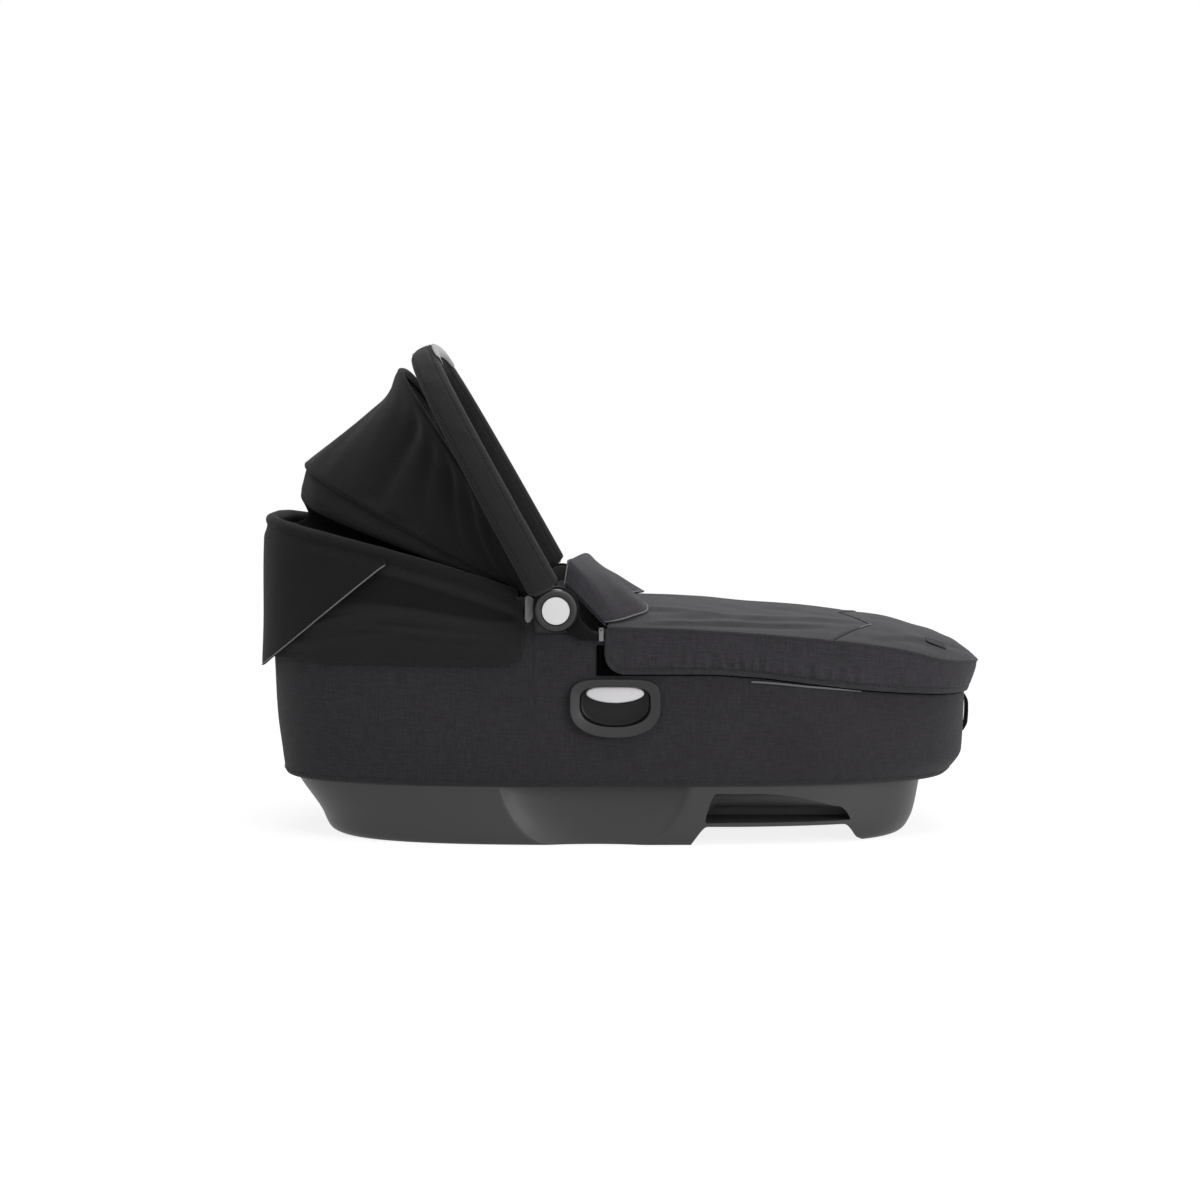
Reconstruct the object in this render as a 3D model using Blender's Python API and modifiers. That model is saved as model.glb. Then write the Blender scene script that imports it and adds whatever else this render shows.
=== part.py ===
"""Carrycot with a folding hood, a carry handle, a boot cover and a moulded base.

Metres, +Z up. +X runs to the foot end, the hood is at -X, and Y = 0 is the middle plane.
The right side is at -Y and the left side at +Y. The origin is on the floor, under the middle.
"""

import math

import bmesh
import bpy
import numpy as np
from mathutils import Matrix, Vector

# Clearances and mesh settings
GAP = 0.0003
LOOSE_GAP = 0.0008
OVERRUN = 0.02
MERGE_DISTANCE = 0.00005
PLAN_POINTS = 34
ROUND_STEPS = 20
SMALL_STEPS = 10
TINY_STEPS = 8
OUTLINE_STEPS = 28
DENSE_POINTS = 4001
RIM_STATIONS = 27
CURTAIN_COLUMNS = 21
BOOT_SKIRT_COLUMNS = 31
CORNER_COLUMNS = 1.5

# Soft body: its plan, its section and its rim
BODY_LENGTH = 0.8406
BODY_WIDTH = 0.3766
PLAN_POWER = 3.2
HEM_HEIGHT = 0.070
SHOULDER_HEIGHT = 0.210
RIM_HEAD_ABOVE_HUB = 0.096
RIM_FOOT_BELOW_HUB = 0.070
COVER_THICKNESS = 0.002
# Shares of the way up the wall from the tub's floor to the rim
WALL_SHARES = (0.0, 0.12, 0.4, 1.0)
# Height between hem and shoulder, then reach to the head, reach to the foot and half width
BODY_SECTION_SHARES = (
    (0.00, 0.972, 0.947, 0.903),
    (0.21, 0.981, 0.993, 0.955),
    (0.50, 0.992, 0.997, 0.985),
    (1.00, 1.000, 1.000, 1.000),
)
# Place along the half length, then height between the rim's foot end and its head end
RIM_SHARES = (
    (-1.00, 1.00),
    (-0.63, 0.78),
    (-0.45, 0.65),
    (-0.26, 0.49),
    (-0.177, 0.40),
    (-0.05, 0.29),
    (0.20, 0.265),
    (0.57, 0.19),
    (0.76, 0.12),
    (0.975, 0.00),
    (1.00, 0.00),
)

# Moulded base
BASE_HEIGHT = 0.085
BASE_HEAD_INSET = 0.0203
BASE_FOOT_INSET = 0.0483
BASE_SIDE_INSET = 0.0208
BASE_WALL = 0.003
# Height, then reach to the head, reach to the foot and half width
BASE_SECTION_SHARES = (
    (0.00, 0.868, 0.921, 0.971),
    (0.05, 0.886, 0.938, 0.981),
    (0.13, 0.897, 0.951, 0.988),
    (0.28, 0.911, 0.966, 0.9915),
    (0.85, 0.990, 0.992, 0.999),
    (1.00, 1.000, 1.000, 1.000),
)
CHANNEL_LENGTH = 0.207
CHANNEL_FROM_FOOT = 0.083
CHANNEL_HEIGHT = 0.022
CHANNEL_SHARES = (
    (0.0, 0.0),
    (0.058, 0.73),
    (0.085, 1.0),
    (0.889, 1.0),
    (0.918, 0.73),
    (0.952, 0.23),
    (1.0, 0.0),
)
POCKET_LENGTH = 0.173
POCKET_FROM_FOOT = 0.100
POCKET_FLOOR = 0.0266
POCKET_HEIGHT = 0.0344
POCKET_DEPTH = 0.060
POCKET_OUTLINE_SHARES = (
    (0.0, 0.0),
    (0.012, 0.30),
    (0.035, 0.68),
    (0.068, 1.0),
    (0.935, 1.0),
    (0.970, 0.68),
    (0.990, 0.30),
    (1.0, 0.0),
)
# Depth into the pocket, then the height left there
POCKET_ROOF_SHARES = ((-0.5, 1.0), (0.06, 1.0), (0.30, 0.86), (0.62, 0.55), (1.0, 0.38))
SCOOP_HEIGHT = 0.080
SCOOP_HALF_LENGTH = 0.113
SCOOP_HALF_HEIGHT = 0.070
SCOOP_DEPTH = 0.026
SCOOP_OUTSET = 0.004
SCREW_FROM_HEAD = 0.150
SCREW_FROM_POCKET = 0.049
SCREW_FROM_SIDE = 0.0675
SCREW_BOSS_RADIUS = 0.0075
SCREW_SEAT_HEIGHT = 0.072
SCREW_HEAD_RADIUS = 0.0045
SCREW_HEAD_DEPTH = 0.0028
SCREW_SHANK_RADIUS = 0.0020

# Stiff tub, lining and mattress inside the fabric
WALL_THICKNESS = 0.003
LINER_THICKNESS = 0.002
LINER_PADDING = 0.0300
LINER_TOP_DROP = 0.008
# Height between the lining's floor and its top, then its distance from the outer fabric
LINER_PADDING_SHARES = ((0.0, 0.80), (0.3, 1.0), (0.72, 0.74), (0.88, 0.38), (1.0, 0.29))
MATTRESS_CLEARANCE = 0.0030
MATTRESS_THICKNESS = 0.034
MATTRESS_DRAW_IN = 0.004
# Height, then inset over the mattress's half width
MATTRESS_SHARES = (
    (0.00, 0.045),
    (0.10, 0.012),
    (0.38, 0.000),
    (0.66, 0.014),
    (0.84, 0.075),
    (0.94, 0.28),
    (1.00, 0.62),
)

# Rolled rim, skirts and curtain
ROLL_RADIUS = 0.0075
ROLL_OUTSET = 0.0012
ROLL_FROM_HUB = 0.0437
FOOT_RIM_RADIUS = 0.0035
FOOT_RIM_INSET = 0.0028
FOOT_RIM_FROM_HUB = 0.0763
SKIRT_THICKNESS = 0.0025
SKIRT_COLUMNS = 23
HOOD_SKIRT_FROM_HUB = 0.0372
HOOD_SKIRT_HEM_BELOW_HUB = 0.0655
HOOD_SKIRT_OUTSET = 0.0022
HOOD_SKIRT_FOLD = 0.0010
HOOD_SKIRT_CORNER = 0.014
CURTAIN_FROM_HEAD = 0.1533
CURTAIN_TIP_BELOW_HUB = 0.081
CURTAIN_FLARE = 0.0042
CURTAIN_THICKNESS = 0.002
CURTAIN_END_HEIGHT = 0.006

# Hub on each side: its axis, and its stack outwards from the body
HUB_X = -0.0743
HUB_HEIGHT = 0.281
EAR_RADIUS = 0.024
EAR_THICKNESS = 0.0038
BRACKET_RADIUS = 0.0265
BRACKET_BOSS_RADIUS = 0.022
BRACKET_STANDOFF = 0.0007
BRACKET_THICKNESS = 0.011
BRACKET_FLOOR = 0.0022
WING_REACH = 0.0503
WING_DROP = 0.0364
WING_THICKNESS = 0.004
WING_SHARES = ((0.30, 0.0), (0.54, 0.30), (1.0, 1.0), (0.54, 1.0), (0.0, 0.55))
BOLT_RADIUS = 0.0038
BOLT_HEAD_RADIUS = 0.0070
BOLT_HEAD_DEPTH = 0.0025
BOLT_FLANGE_RADIUS = 0.0062
BOLT_FLANGE_DEPTH = 0.0015
BOLT_HEAD_LIFT = 0.0002
RING_RADIUS = 0.024
RING_THICKNESS = 0.022
RING_FLOOR = 0.0035
RING_CHAMFER = 0.0015
GEAR_RADIUS = 0.0122
GEAR_TOOTH_DEPTH = 0.0012
GEAR_TEETH = 12
GEAR_THICKNESS = 0.007
WASHER_RADIUS = 0.015
WASHER_THICKNESS = 0.0015
PRONG_CIRCLE_RADIUS = 0.009
PRONG_RADIUS = 0.0015
PRONG_COUNT = 3
BUTTON_RADIUS = 0.0157
BUTTON_THICKNESS = 0.0078
BUTTON_PROUD = 0.0005
SPRING_RADIUS = 0.0085
SPRING_WIRE_RADIUS = 0.0006
SPRING_TURNS = 3

# Handle: an oval tube in a padded sleeve, leaning back from the hubs
HANDLE_REACH = 0.3336
HANDLE_LEAN_DEG = 28.7
HANDLE_POWER = 3.2
TUBE_HALF_WIDTH = 0.0120
TUBE_HALF_DEPTH = 0.0072
TUBE_WALL = 0.0016
TUBE_START = 0.0245
SLEEVE_START = 0.036
SLEEVE_LEG_HALF_WIDTH = 0.0190
SLEEVE_CROWN_HALF_WIDTH = 0.0152
SLEEVE_HALF_DEPTH = 0.0110
SLEEVE_POWER = 2.5
SPIGOT_START = 0.0195
SPIGOT_END = 0.045
SPIGOT_GAP = 0.0005
GRIP_HALF_ANGLE_DEG = 40.0
GRIP_THICKNESS = 0.0015
GRIP_STATIONS = 3
HANDLE_STATIONS = 23
SECTION_POINTS = 8

# Hood bows and fabric
FRONT_BOW_REACH = 0.3338
FRONT_BOW_LEAN_DEG = 34.8
FRONT_BOW_POWER = 2.9
FRONT_BOW_RADIUS = 0.0030
FRONT_BOW_START = 0.060
MID_BOW_REACH = 0.3444
MID_BOW_LEAN_DEG = 62.0
MID_BOW_POWER = 2.6
MID_BOW_RADIUS = 0.0035
MID_BOW_INSET = 0.0108
MID_BOW_START = 0.0055
EYELET_RADIUS = 0.008
EYELET_PROUD = 0.0002
BOW_STATIONS = 21
HOOD_THICKNESS = 0.002
HOOD_START = 0.034
HOOD_SAG = 0.007
HOOD_FOLD = 0.0022
HOOD_COLUMNS = 21
HOOD_ROWS = 7
REAR_FABRIC_INSET = 0.0095
REAR_FABRIC_HEAD_INSET = 0.032
REAR_FABRIC_DROP = 0.004
REAR_FABRIC_FROM_HUB = 0.0507

# Boot cover over the foot half
BOOT_FROM_HUB = 0.0593
BOOT_OVERHANG = 0.0147
BOOT_OUTSET = 0.0052
BOOT_THICKNESS = 0.0025
BOOT_WALL = 0.0030
BOOT_LIFT = 0.002
BOOT_CROWN = 0.0266
BOOT_POWER = 2.6
BOOT_SKIRT_FROM_HUB = 0.0558
BOOT_HEM_HEAD_DROP = 0.006
BOOT_HEM_FOOT_DROP = 0.039
BOOT_SKIRT_CORNER = 0.012
BOOT_GATHER = 0.0007
BOOT_GATHERS = 7
SEAM_FROM_END = 0.165
SEAM_POINT = 0.030
SEAM_SIDE_FROM_END = 0.190
# Place along the boot's reach, then the crown there
CROWN_SHARES = (
    (-0.05, 0.78),
    (0.20, 1.00),
    (0.46, 0.90),
    (0.63, 0.88),
    (0.79, 0.68),
    (0.93, 0.30),
    (1.00, 0.00),
)
# Place along the boot's reach, then height between the hem's foot end and its head end
HEM_SHARES = (
    (0.00, 1.00),
    (0.21, 1.00),
    (0.35, 0.90),
    (0.52, 0.61),
    (0.67, 0.36),
    (0.83, 0.17),
    (1.00, 0.00),
)
# Shares of the way from seam to end, where the foot panel's rows lie
FOOT_PANEL_SHARES = (0, 0.25, 0.5, 0.7, 0.84, 0.93, 0.98, 1.0)
PANEL_ACROSS = 11
COLLAR_THICKNESS = 0.0025
COLLAR_RIDGE_BACK = 0.023
COLLAR_SIDE_RIDGE_BACK = 0.043
COLLAR_RIDGE_ABOVE_HUB = 0.050
COLLAR_LAPEL_LENGTH = 0.039
COLLAR_SIDE_INSET = 0.0075
TAB_LENGTH = 0.024
TAB_FROM_END = 0.060
TAB_WIDTH = 0.020
TAB_FROM_SIDE = 0.0935
TAB_THICKNESS = 0.0015
PIPING_LENGTH = 0.131
PIPING_FROM_END = 0.154
PIPING_DROP_SHARES = ((0.0, 1.0), (1.0, 0.25))
PIPING_DROP = 0.0060
PIPING_RADIUS = 0.0012
PIPING_POINTS = 8
STRAP_WIDTH = 0.025
STRAP_THICKNESS = 0.0015
STRAP_BELOW_HEM = 0.009
STRAP_HEIGHT = 0.050
STRAP_BOW = 0.008
STRAP_SHARES = (
    (0.00, 0.00),
    (0.10, 0.55),
    (0.27, 0.95),
    (0.50, 1.00),
    (0.73, 0.95),
    (0.90, 0.55),
    (1.00, 0.00),
)
SLIDER_LENGTH = 0.0065
SLIDER_HEIGHT = 0.006
SLIDER_THICKNESS = 0.004
SLIDER_BELOW_HUB = 0.0245
PULL_WIDTH = 0.005
PULL_LENGTH = 0.015
PULL_THICKNESS = 0.0012
PULL_PIN_RADIUS = 0.0010

# Release handle and carrier socket on each side
RELEASE_FROM_HUB = 0.0678
BEZEL_BELOW_HUB = 0.1157
BEZEL_HALF_LENGTH = 0.0523
BEZEL_HALF_HEIGHT = 0.0338
BEZEL_THICKNESS = 0.0039
BEZEL_STANDOFF = 0.0003
OPENING_RAISE = 0.0012
OPENING_HALF_LENGTH = 0.0410
OPENING_HALF_HEIGHT = 0.0232
CUP_RAISE = 0.0037
CUP_HALF_HEIGHT = 0.0270
CUP_WALL = 0.0015
CUP_DEPTH = 0.0177
TRIGGER_RAISE = 0.0162
TRIGGER_HALF_LENGTH = 0.0335
TRIGGER_HALF_HEIGHT = 0.0103
TRIGGER_RECESS = 0.0017
LENS_POWER = 1.2
TRIGGER_SPRING_DEPTH = 0.009
TRIGGER_SPRING_RADIUS = 0.0026
TRIGGER_WIRE_RADIUS = 0.0004
TRIGGER_TURNS = 3
SOCKET_FROM_HUB = 0.0443
SOCKET_HALF_LENGTH = 0.036
SOCKET_DEPTH = 0.0112
SOCKET_INSET = 0.0193
SOCKET_WALL = 0.0016
SOCKET_HEIGHT = 0.065
SOCKET_BELOW_FLOOR = 0.0003
LATCH_RAISE = 0.039
LATCH_HEIGHT = 0.012
LATCH_LENGTH = 0.032
LATCH_REACH_IN = 0.008
LATCH_THICKNESS = 0.0066
NOTCH_HEAD_REACH = 0.0262
NOTCH_FOOT_REACH = 0.0410
NOTCH_BELOW_HUB = 0.0294

# Places and half widths that follow from the sizes above
HALF_LENGTH = BODY_LENGTH / 2
HALF_WIDTH = BODY_WIDTH / 2
RIM_HEAD_HEIGHT = HUB_HEIGHT + RIM_HEAD_ABOVE_HUB
RIM_FOOT_HEIGHT = HUB_HEIGHT - RIM_FOOT_BELOW_HUB
BASE_HEAD_REACH = HALF_LENGTH - BASE_HEAD_INSET
BASE_FOOT_REACH = HALF_LENGTH - BASE_FOOT_INSET
BASE_HALF_WIDTH = HALF_WIDTH - BASE_SIDE_INSET
CHANNEL_FOOT_X = BASE_FOOT_REACH - CHANNEL_FROM_FOOT
CHANNEL_HEAD_X = CHANNEL_FOOT_X - CHANNEL_LENGTH
POCKET_FOOT_X = BASE_FOOT_REACH - POCKET_FROM_FOOT
POCKET_HEAD_X = POCKET_FOOT_X - POCKET_LENGTH
SCREW_HEAD_SIDE_X = SCREW_FROM_HEAD - BASE_HEAD_REACH
SCREW_FOOT_SIDE_X = POCKET_HEAD_X - SCREW_FROM_POCKET
SCREW_Y = BASE_HALF_WIDTH - SCREW_FROM_SIDE
ROLL_FRONT_X = HUB_X - ROLL_FROM_HUB
FOOT_RIM_FRONT_X = HUB_X + FOOT_RIM_FROM_HUB
HOOD_SKIRT_FRONT_X = HUB_X - HOOD_SKIRT_FROM_HUB
HOOD_SKIRT_HEM_HEIGHT = HUB_HEIGHT - HOOD_SKIRT_HEM_BELOW_HUB
CURTAIN_FRONT_X = CURTAIN_FROM_HEAD - HALF_LENGTH
CURTAIN_TIP_HEIGHT = HUB_HEIGHT - CURTAIN_TIP_BELOW_HUB
REAR_FABRIC_FRONT_X = HUB_X - REAR_FABRIC_FROM_HUB
NOTCH_HEAD_X = HUB_X - NOTCH_HEAD_REACH
NOTCH_FOOT_X = HUB_X + NOTCH_FOOT_REACH
NOTCH_HEIGHT = HUB_HEIGHT - NOTCH_BELOW_HUB
BOOT_HEAD_X = HUB_X + BOOT_FROM_HUB
BOOT_REACH = HALF_LENGTH + BOOT_OVERHANG
BOOT_HALF_WIDTH = HALF_WIDTH + BOOT_OUTSET
BOOT_SKIRT_FRONT_X = HUB_X + BOOT_SKIRT_FROM_HUB
BOOT_HEM_HEAD_HEIGHT = RIM_FOOT_HEIGHT - BOOT_HEM_HEAD_DROP
BOOT_HEM_FOOT_HEIGHT = RIM_FOOT_HEIGHT - BOOT_HEM_FOOT_DROP
SEAM_X = BOOT_REACH - SEAM_FROM_END
SEAM_SIDE_X = BOOT_REACH - SEAM_SIDE_FROM_END
COLLAR_RIDGE_X = BOOT_HEAD_X - COLLAR_RIDGE_BACK
COLLAR_SIDE_RIDGE_X = BOOT_HEAD_X - COLLAR_SIDE_RIDGE_BACK
COLLAR_RIDGE_HEIGHT = HUB_HEIGHT + COLLAR_RIDGE_ABOVE_HUB
COLLAR_LAPEL_X = BOOT_HEAD_X + COLLAR_LAPEL_LENGTH
COLLAR_HALF_WIDTH = BOOT_HALF_WIDTH - COLLAR_SIDE_INSET
TAB_X = BOOT_REACH - TAB_FROM_END
TAB_Y = TAB_FROM_SIDE - BOOT_HALF_WIDTH
PIPING_FOOT_X = BOOT_REACH - PIPING_FROM_END
PIPING_HEAD_X = PIPING_FOOT_X - PIPING_LENGTH
STRAP_TOP = BOOT_HEM_FOOT_HEIGHT - STRAP_BELOW_HEM
SLIDER_Z = HUB_HEIGHT - SLIDER_BELOW_HUB
RELEASE_X = HUB_X + RELEASE_FROM_HUB
BEZEL_Z = HUB_HEIGHT - BEZEL_BELOW_HUB
OPENING_Z = BEZEL_Z + OPENING_RAISE
CUP_Z = BEZEL_Z + CUP_RAISE
TRIGGER_Z = BEZEL_Z + TRIGGER_RAISE
SOCKET_X = HUB_X + SOCKET_FROM_HUB
SOCKET_OUTER_Y = HALF_WIDTH - SOCKET_INSET
SOCKET_INNER_Y = SOCKET_OUTER_Y - SOCKET_DEPTH
SOCKET_BOTTOM = BASE_HEIGHT + GAP - SOCKET_BELOW_FLOOR
LATCH_Z = SOCKET_BOTTOM + LATCH_RAISE
TUB_INSET = COVER_THICKNESS + LOOSE_GAP
TUB_INNER_INSET = TUB_INSET + WALL_THICKNESS
TUB_FLOOR = BASE_HEIGHT + GAP
TUB_FLOOR_TOP = TUB_FLOOR + WALL_THICKNESS
RIM_DROP = ROLL_RADIUS + LOOSE_GAP
LINER_FLOOR = TUB_FLOOR_TOP + GAP
MATTRESS_BOTTOM = LINER_FLOOR + LINER_THICKNESS + GAP
BRACKET_IN = HALF_WIDTH + BRACKET_STANDOFF
BRACKET_OUT = BRACKET_IN + BRACKET_THICKNESS
BOSS_IN = HALF_WIDTH - COVER_THICKNESS
RECESS_FLOOR = BOSS_IN + BRACKET_FLOOR
RING_IN = BRACKET_OUT + GAP
RING_OUT = RING_IN + RING_THICKNESS
RING_SEAT = RING_IN + RING_FLOOR
HANDLE_HALF_WIDTH = RING_IN + RING_THICKNESS / 2
WASHER_IN = RING_SEAT + GAP
WASHER_OUT = WASHER_IN + WASHER_THICKNESS
BOLT_HEAD_IN = WASHER_OUT + BOLT_HEAD_LIFT
BUTTON_OUT = RING_OUT + BUTTON_PROUD
BUTTON_IN = BUTTON_OUT - BUTTON_THICKNESS
CAVITY_RADIUS = BUTTON_RADIUS + LOOSE_GAP
RECESS_RADIUS = GEAR_RADIUS + GAP
RING_HOLE_RADIUS = GEAR_RADIUS + 2 * GAP
BOLT_HOLE_RADIUS = BOLT_RADIUS + GAP
MID_BOW_HALF_WIDTH = HALF_WIDTH - MID_BOW_INSET
FRONT_BOW_HALF_WIDTH = RING_IN - GAP - FRONT_BOW_RADIUS
BEZEL_IN = HALF_WIDTH + BEZEL_STANDOFF
CUP_OUT = BEZEL_IN - GAP
CUP_IN = CUP_OUT - CUP_DEPTH
FRONT_ARCH = (FRONT_BOW_HALF_WIDTH, FRONT_BOW_REACH, FRONT_BOW_POWER, FRONT_BOW_LEAN_DEG)
MID_ARCH = (MID_BOW_HALF_WIDTH, MID_BOW_REACH, MID_BOW_POWER, MID_BOW_LEAN_DEG)
SLIDER_IN = BOOT_HALF_WIDTH - SLIDER_THICKNESS + GAP
SIDES = (("right", -1), ("left", 1))

# Looks: sRGB colour, roughness and metallic value
LOOKS = {
    "outer_fabric": (0x2F2D30, 0.92, 0.0),
    "cover_fabric": (0x38363A, 0.92, 0.0),
    "hood_fabric": (0x212122, 0.90, 0.0),
    "lining": (0x3C3B3D, 0.95, 0.0),
    "mattress_cloth": (0xC9C7C3, 0.95, 0.0),
    "base_plastic": (0x484848, 0.55, 0.0),
    "tub_board": (0x303032, 0.70, 0.0),
    "hub_plastic": (0x3D4040, 0.45, 0.0),
    "button_plastic": (0xE6E6E6, 0.35, 0.0),
    "trigger_metal": (0xD9D7DA, 0.30, 0.9),
    "steel": (0x8C8F92, 0.35, 1.0),
    "alloy": (0xA9ABAE, 0.40, 1.0),
    "sleeve": (0x333334, 0.85, 0.0),
    "grip": (0x9A9A9A, 0.60, 0.0),
    "piping": (0xB8B8BA, 0.60, 0.0),
    "webbing": (0x1C1C1D, 0.90, 0.0),
}


def linear(channel):
    """One sRGB channel, 0 to 255, as linear light."""
    value = channel / 255
    return value / 12.92 if value <= 0.04045 else ((value + 0.055) / 1.055) ** 2.4


def new_collection(name):
    made = bpy.data.collections.new(name)
    bpy.context.scene.collection.children.link(made)
    return made


def finished(obj, look):
    """Give the object its own Principled material."""
    colour, roughness, metallic = LOOKS[look]
    material = bpy.data.materials.new(obj.name)
    material.use_nodes = True
    shader = material.node_tree.nodes["Principled BSDF"]
    channels = [linear((colour >> shift) & 255) for shift in (16, 8, 0)]
    shader.inputs["Base Color"].default_value = (*channels, 1.0)
    shader.inputs["Roughness"].default_value = roughness
    shader.inputs["Metallic"].default_value = metallic
    obj.data.materials.clear()
    obj.data.materials.append(material)
    PARTS.objects.link(obj)
    return obj


def smooth(obj):
    """Shade round faces smooth and keep the corners sharp. A curve is smooth already."""
    if obj.type == "MESH":
        obj.data.shade_smooth()
        obj.data.set_sharp_from_angle(angle=math.radians(35))
    return obj


def as_cutter(obj):
    CUTTERS.objects.link(obj)
    obj.hide_render = True
    obj.display_type = "WIRE"
    return obj


def faced_mesh(name, points, faces):
    """A closed mesh whose faces point out."""
    mesh = bpy.data.meshes.new(name)
    mesh.from_pydata([tuple(point) for point in np.asarray(points, float)], [], faces)
    edit = bmesh.new()
    edit.from_mesh(mesh)
    bmesh.ops.recalc_face_normals(edit, faces=edit.faces)
    edit.to_mesh(mesh)
    edit.free()
    return bpy.data.objects.new(name, mesh)


def lofted(name, rings, closed=False):
    """Skin rings of equal point counts, with flat ends, or closed back on to the first ring."""
    rings = np.asarray(rings, float)
    count, around = rings.shape[:2]
    faces = []
    for ring in range(count if closed else count - 1):
        here = ring * around
        there = (ring + 1) % count * around
        for spot in range(around):
            after = (spot + 1) % around
            faces.append((here + spot, here + after, there + after, there + spot))
    if not closed:
        faces.append(tuple(range(around - 1, -1, -1)))
        faces.append(tuple(range((count - 1) * around, count * around)))
    return faced_mesh(name, rings.reshape(-1, 3), faces)


def slab(name, outer, inner):
    """A sheet with thickness: two grids of points, joined around their edge."""
    rows, columns = outer.shape[:2]
    size = rows * columns
    faces = []
    for row in range(rows - 1):
        for column in range(columns - 1):
            corner = row * columns + column
            quad = (corner, corner + 1, corner + columns + 1, corner + columns)
            faces.append(quad)
            faces.append(tuple(size + index for index in reversed(quad)))
    edge = list(range(columns))
    edge += [row * columns + columns - 1 for row in range(1, rows)]
    edge += [(rows - 1) * columns + column for column in range(columns - 2, -1, -1)]
    edge += [row * columns for row in range(rows - 2, 0, -1)]
    for here, there in zip(edge, edge[1:] + edge[:1]):
        faces.append((here, size + here, size + there, there))
    return faced_mesh(name, np.concatenate([outer.reshape(-1, 3), inner.reshape(-1, 3)]), faces)


def grid_normals(grid):
    """Unit normals of a grid of points, from the cross product of its two directions."""
    down, across = np.gradient(grid, axis=0), np.gradient(grid, axis=1)
    normals = np.cross(down, across)
    return normals / np.linalg.norm(normals, axis=2, keepdims=True)


def thickened(name, grid, thickness):
    normals = grid_normals(grid)
    return slab(name, grid + normals * thickness / 2, grid - normals * thickness / 2)


def turned(name, profile, x, z, side, steps=ROUND_STEPS):
    """Turn a profile of (radius, distance from the middle plane) about an axis along Y."""
    mesh = bpy.data.meshes.new(name)
    points = [(radius, 0.0, depth) for radius, depth in profile]
    edges = [(index, index + 1) for index in range(len(points) - 1)]
    if points[0][0] > 0:
        edges.append((len(points) - 1, 0))
    mesh.from_pydata(points, edges, [])
    obj = bpy.data.objects.new(name, mesh)
    screw = obj.modifiers.new("Turn", "SCREW")
    screw.steps = steps
    screw.render_steps = steps
    screw.use_merge_vertices = True
    screw.merge_threshold = MERGE_DISTANCE
    obj.location = (x, 0.0, z)
    obj.rotation_euler = (-side * math.pi / 2, 0.0, 0.0)
    return obj


def poly_curve(name, dimensions, outlines, cyclic):
    curve = bpy.data.curves.new(name, "CURVE")
    curve.dimensions = dimensions
    for outline in outlines:
        spline = curve.splines.new("POLY")
        spline.points.add(len(outline) - 1)
        for spot, point in zip(spline.points, outline):
            spot.co = (*point, *[0.0] * (3 - len(point)), 1.0)
        spline.use_cyclic_u = cyclic
    return curve


def plate(name, outlines, middle_y, thickness):
    """A flat plate in the XZ plane from an outline, and holes in it."""
    curve = poly_curve(name, "2D", outlines, True)
    curve.fill_mode = "BOTH"
    curve.extrude = thickness / 2
    obj = bpy.data.objects.new(name, curve)
    obj.location = (0.0, middle_y, 0.0)
    obj.rotation_euler = (math.pi / 2, 0.0, 0.0)
    return obj


def tube(name, path, radius, resolution=2):
    """A round tube along a list of points."""
    curve = poly_curve(name, "3D", [path], False)
    curve.bevel_depth = radius
    curve.bevel_resolution = resolution
    curve.use_fill_caps = True
    return bpy.data.objects.new(name, curve)


def meshed(obj):
    """The evaluated object as a plain mesh object with its caps welded."""
    name = obj.name
    CUTTERS.objects.link(obj)
    bpy.context.view_layer.update()
    evaluated = obj.evaluated_get(bpy.context.evaluated_depsgraph_get())
    mesh = bpy.data.meshes.new_from_object(evaluated)
    matrix = obj.matrix_world.copy()
    bpy.data.objects.remove(obj, do_unlink=True)
    edit = bmesh.new()
    edit.from_mesh(mesh)
    bmesh.ops.remove_doubles(edit, verts=edit.verts, dist=MERGE_DISTANCE)
    bmesh.ops.recalc_face_normals(edit, faces=edit.faces)
    edit.to_mesh(mesh)
    edit.free()
    mesh.name = name
    solid = bpy.data.objects.new(name, mesh)
    solid.matrix_world = matrix
    return solid


def boolean(target, other, operation):
    modifier = target.modifiers.new(operation.title(), "BOOLEAN")
    modifier.operation = operation
    modifier.solver = "EXACT"
    modifier.object = as_cutter(other)
    return target


def block(name, low, high):
    """A box between two corners, from a cube."""
    edit = bmesh.new()
    bmesh.ops.create_cube(edit, size=1.0)
    mesh = bpy.data.meshes.new(name)
    edit.to_mesh(mesh)
    edit.free()
    low, high = Vector(low), Vector(high)
    mesh.transform(Matrix.Translation((low + high) / 2) @ Matrix.Diagonal((*(high - low), 1.0)))
    return bpy.data.objects.new(name, mesh)


def rod(name, radius, start, end, steps=SMALL_STEPS):
    """A cylinder between two points."""
    start, end = Vector(start), Vector(end)
    edit = bmesh.new()
    bmesh.ops.create_cone(
        edit, cap_ends=True, segments=steps, radius1=radius, radius2=radius, depth=(end - start).length
    )
    mesh = bpy.data.meshes.new(name)
    edit.to_mesh(mesh)
    edit.free()
    obj = bpy.data.objects.new(name, mesh)
    obj.location = (start + end) / 2
    obj.rotation_euler = (end - start).to_track_quat("Z", "Y").to_euler()
    return obj


def ellipsoid(name, centre, radii):
    edit = bmesh.new()
    bmesh.ops.create_uvsphere(edit, u_segments=16, v_segments=10, radius=1.0)
    mesh = bpy.data.meshes.new(name)
    edit.to_mesh(mesh)
    edit.free()
    mesh.transform(Matrix.Translation(centre) @ Matrix.Diagonal((*radii, 1.0)))
    return bpy.data.objects.new(name, mesh)


def circle(x, z, radius, steps=SMALL_STEPS, start=0.0):
    angles = start + np.arange(steps) * 2 * math.pi / steps
    return [(x + radius * math.cos(angle), z + radius * math.sin(angle)) for angle in angles]


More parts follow.
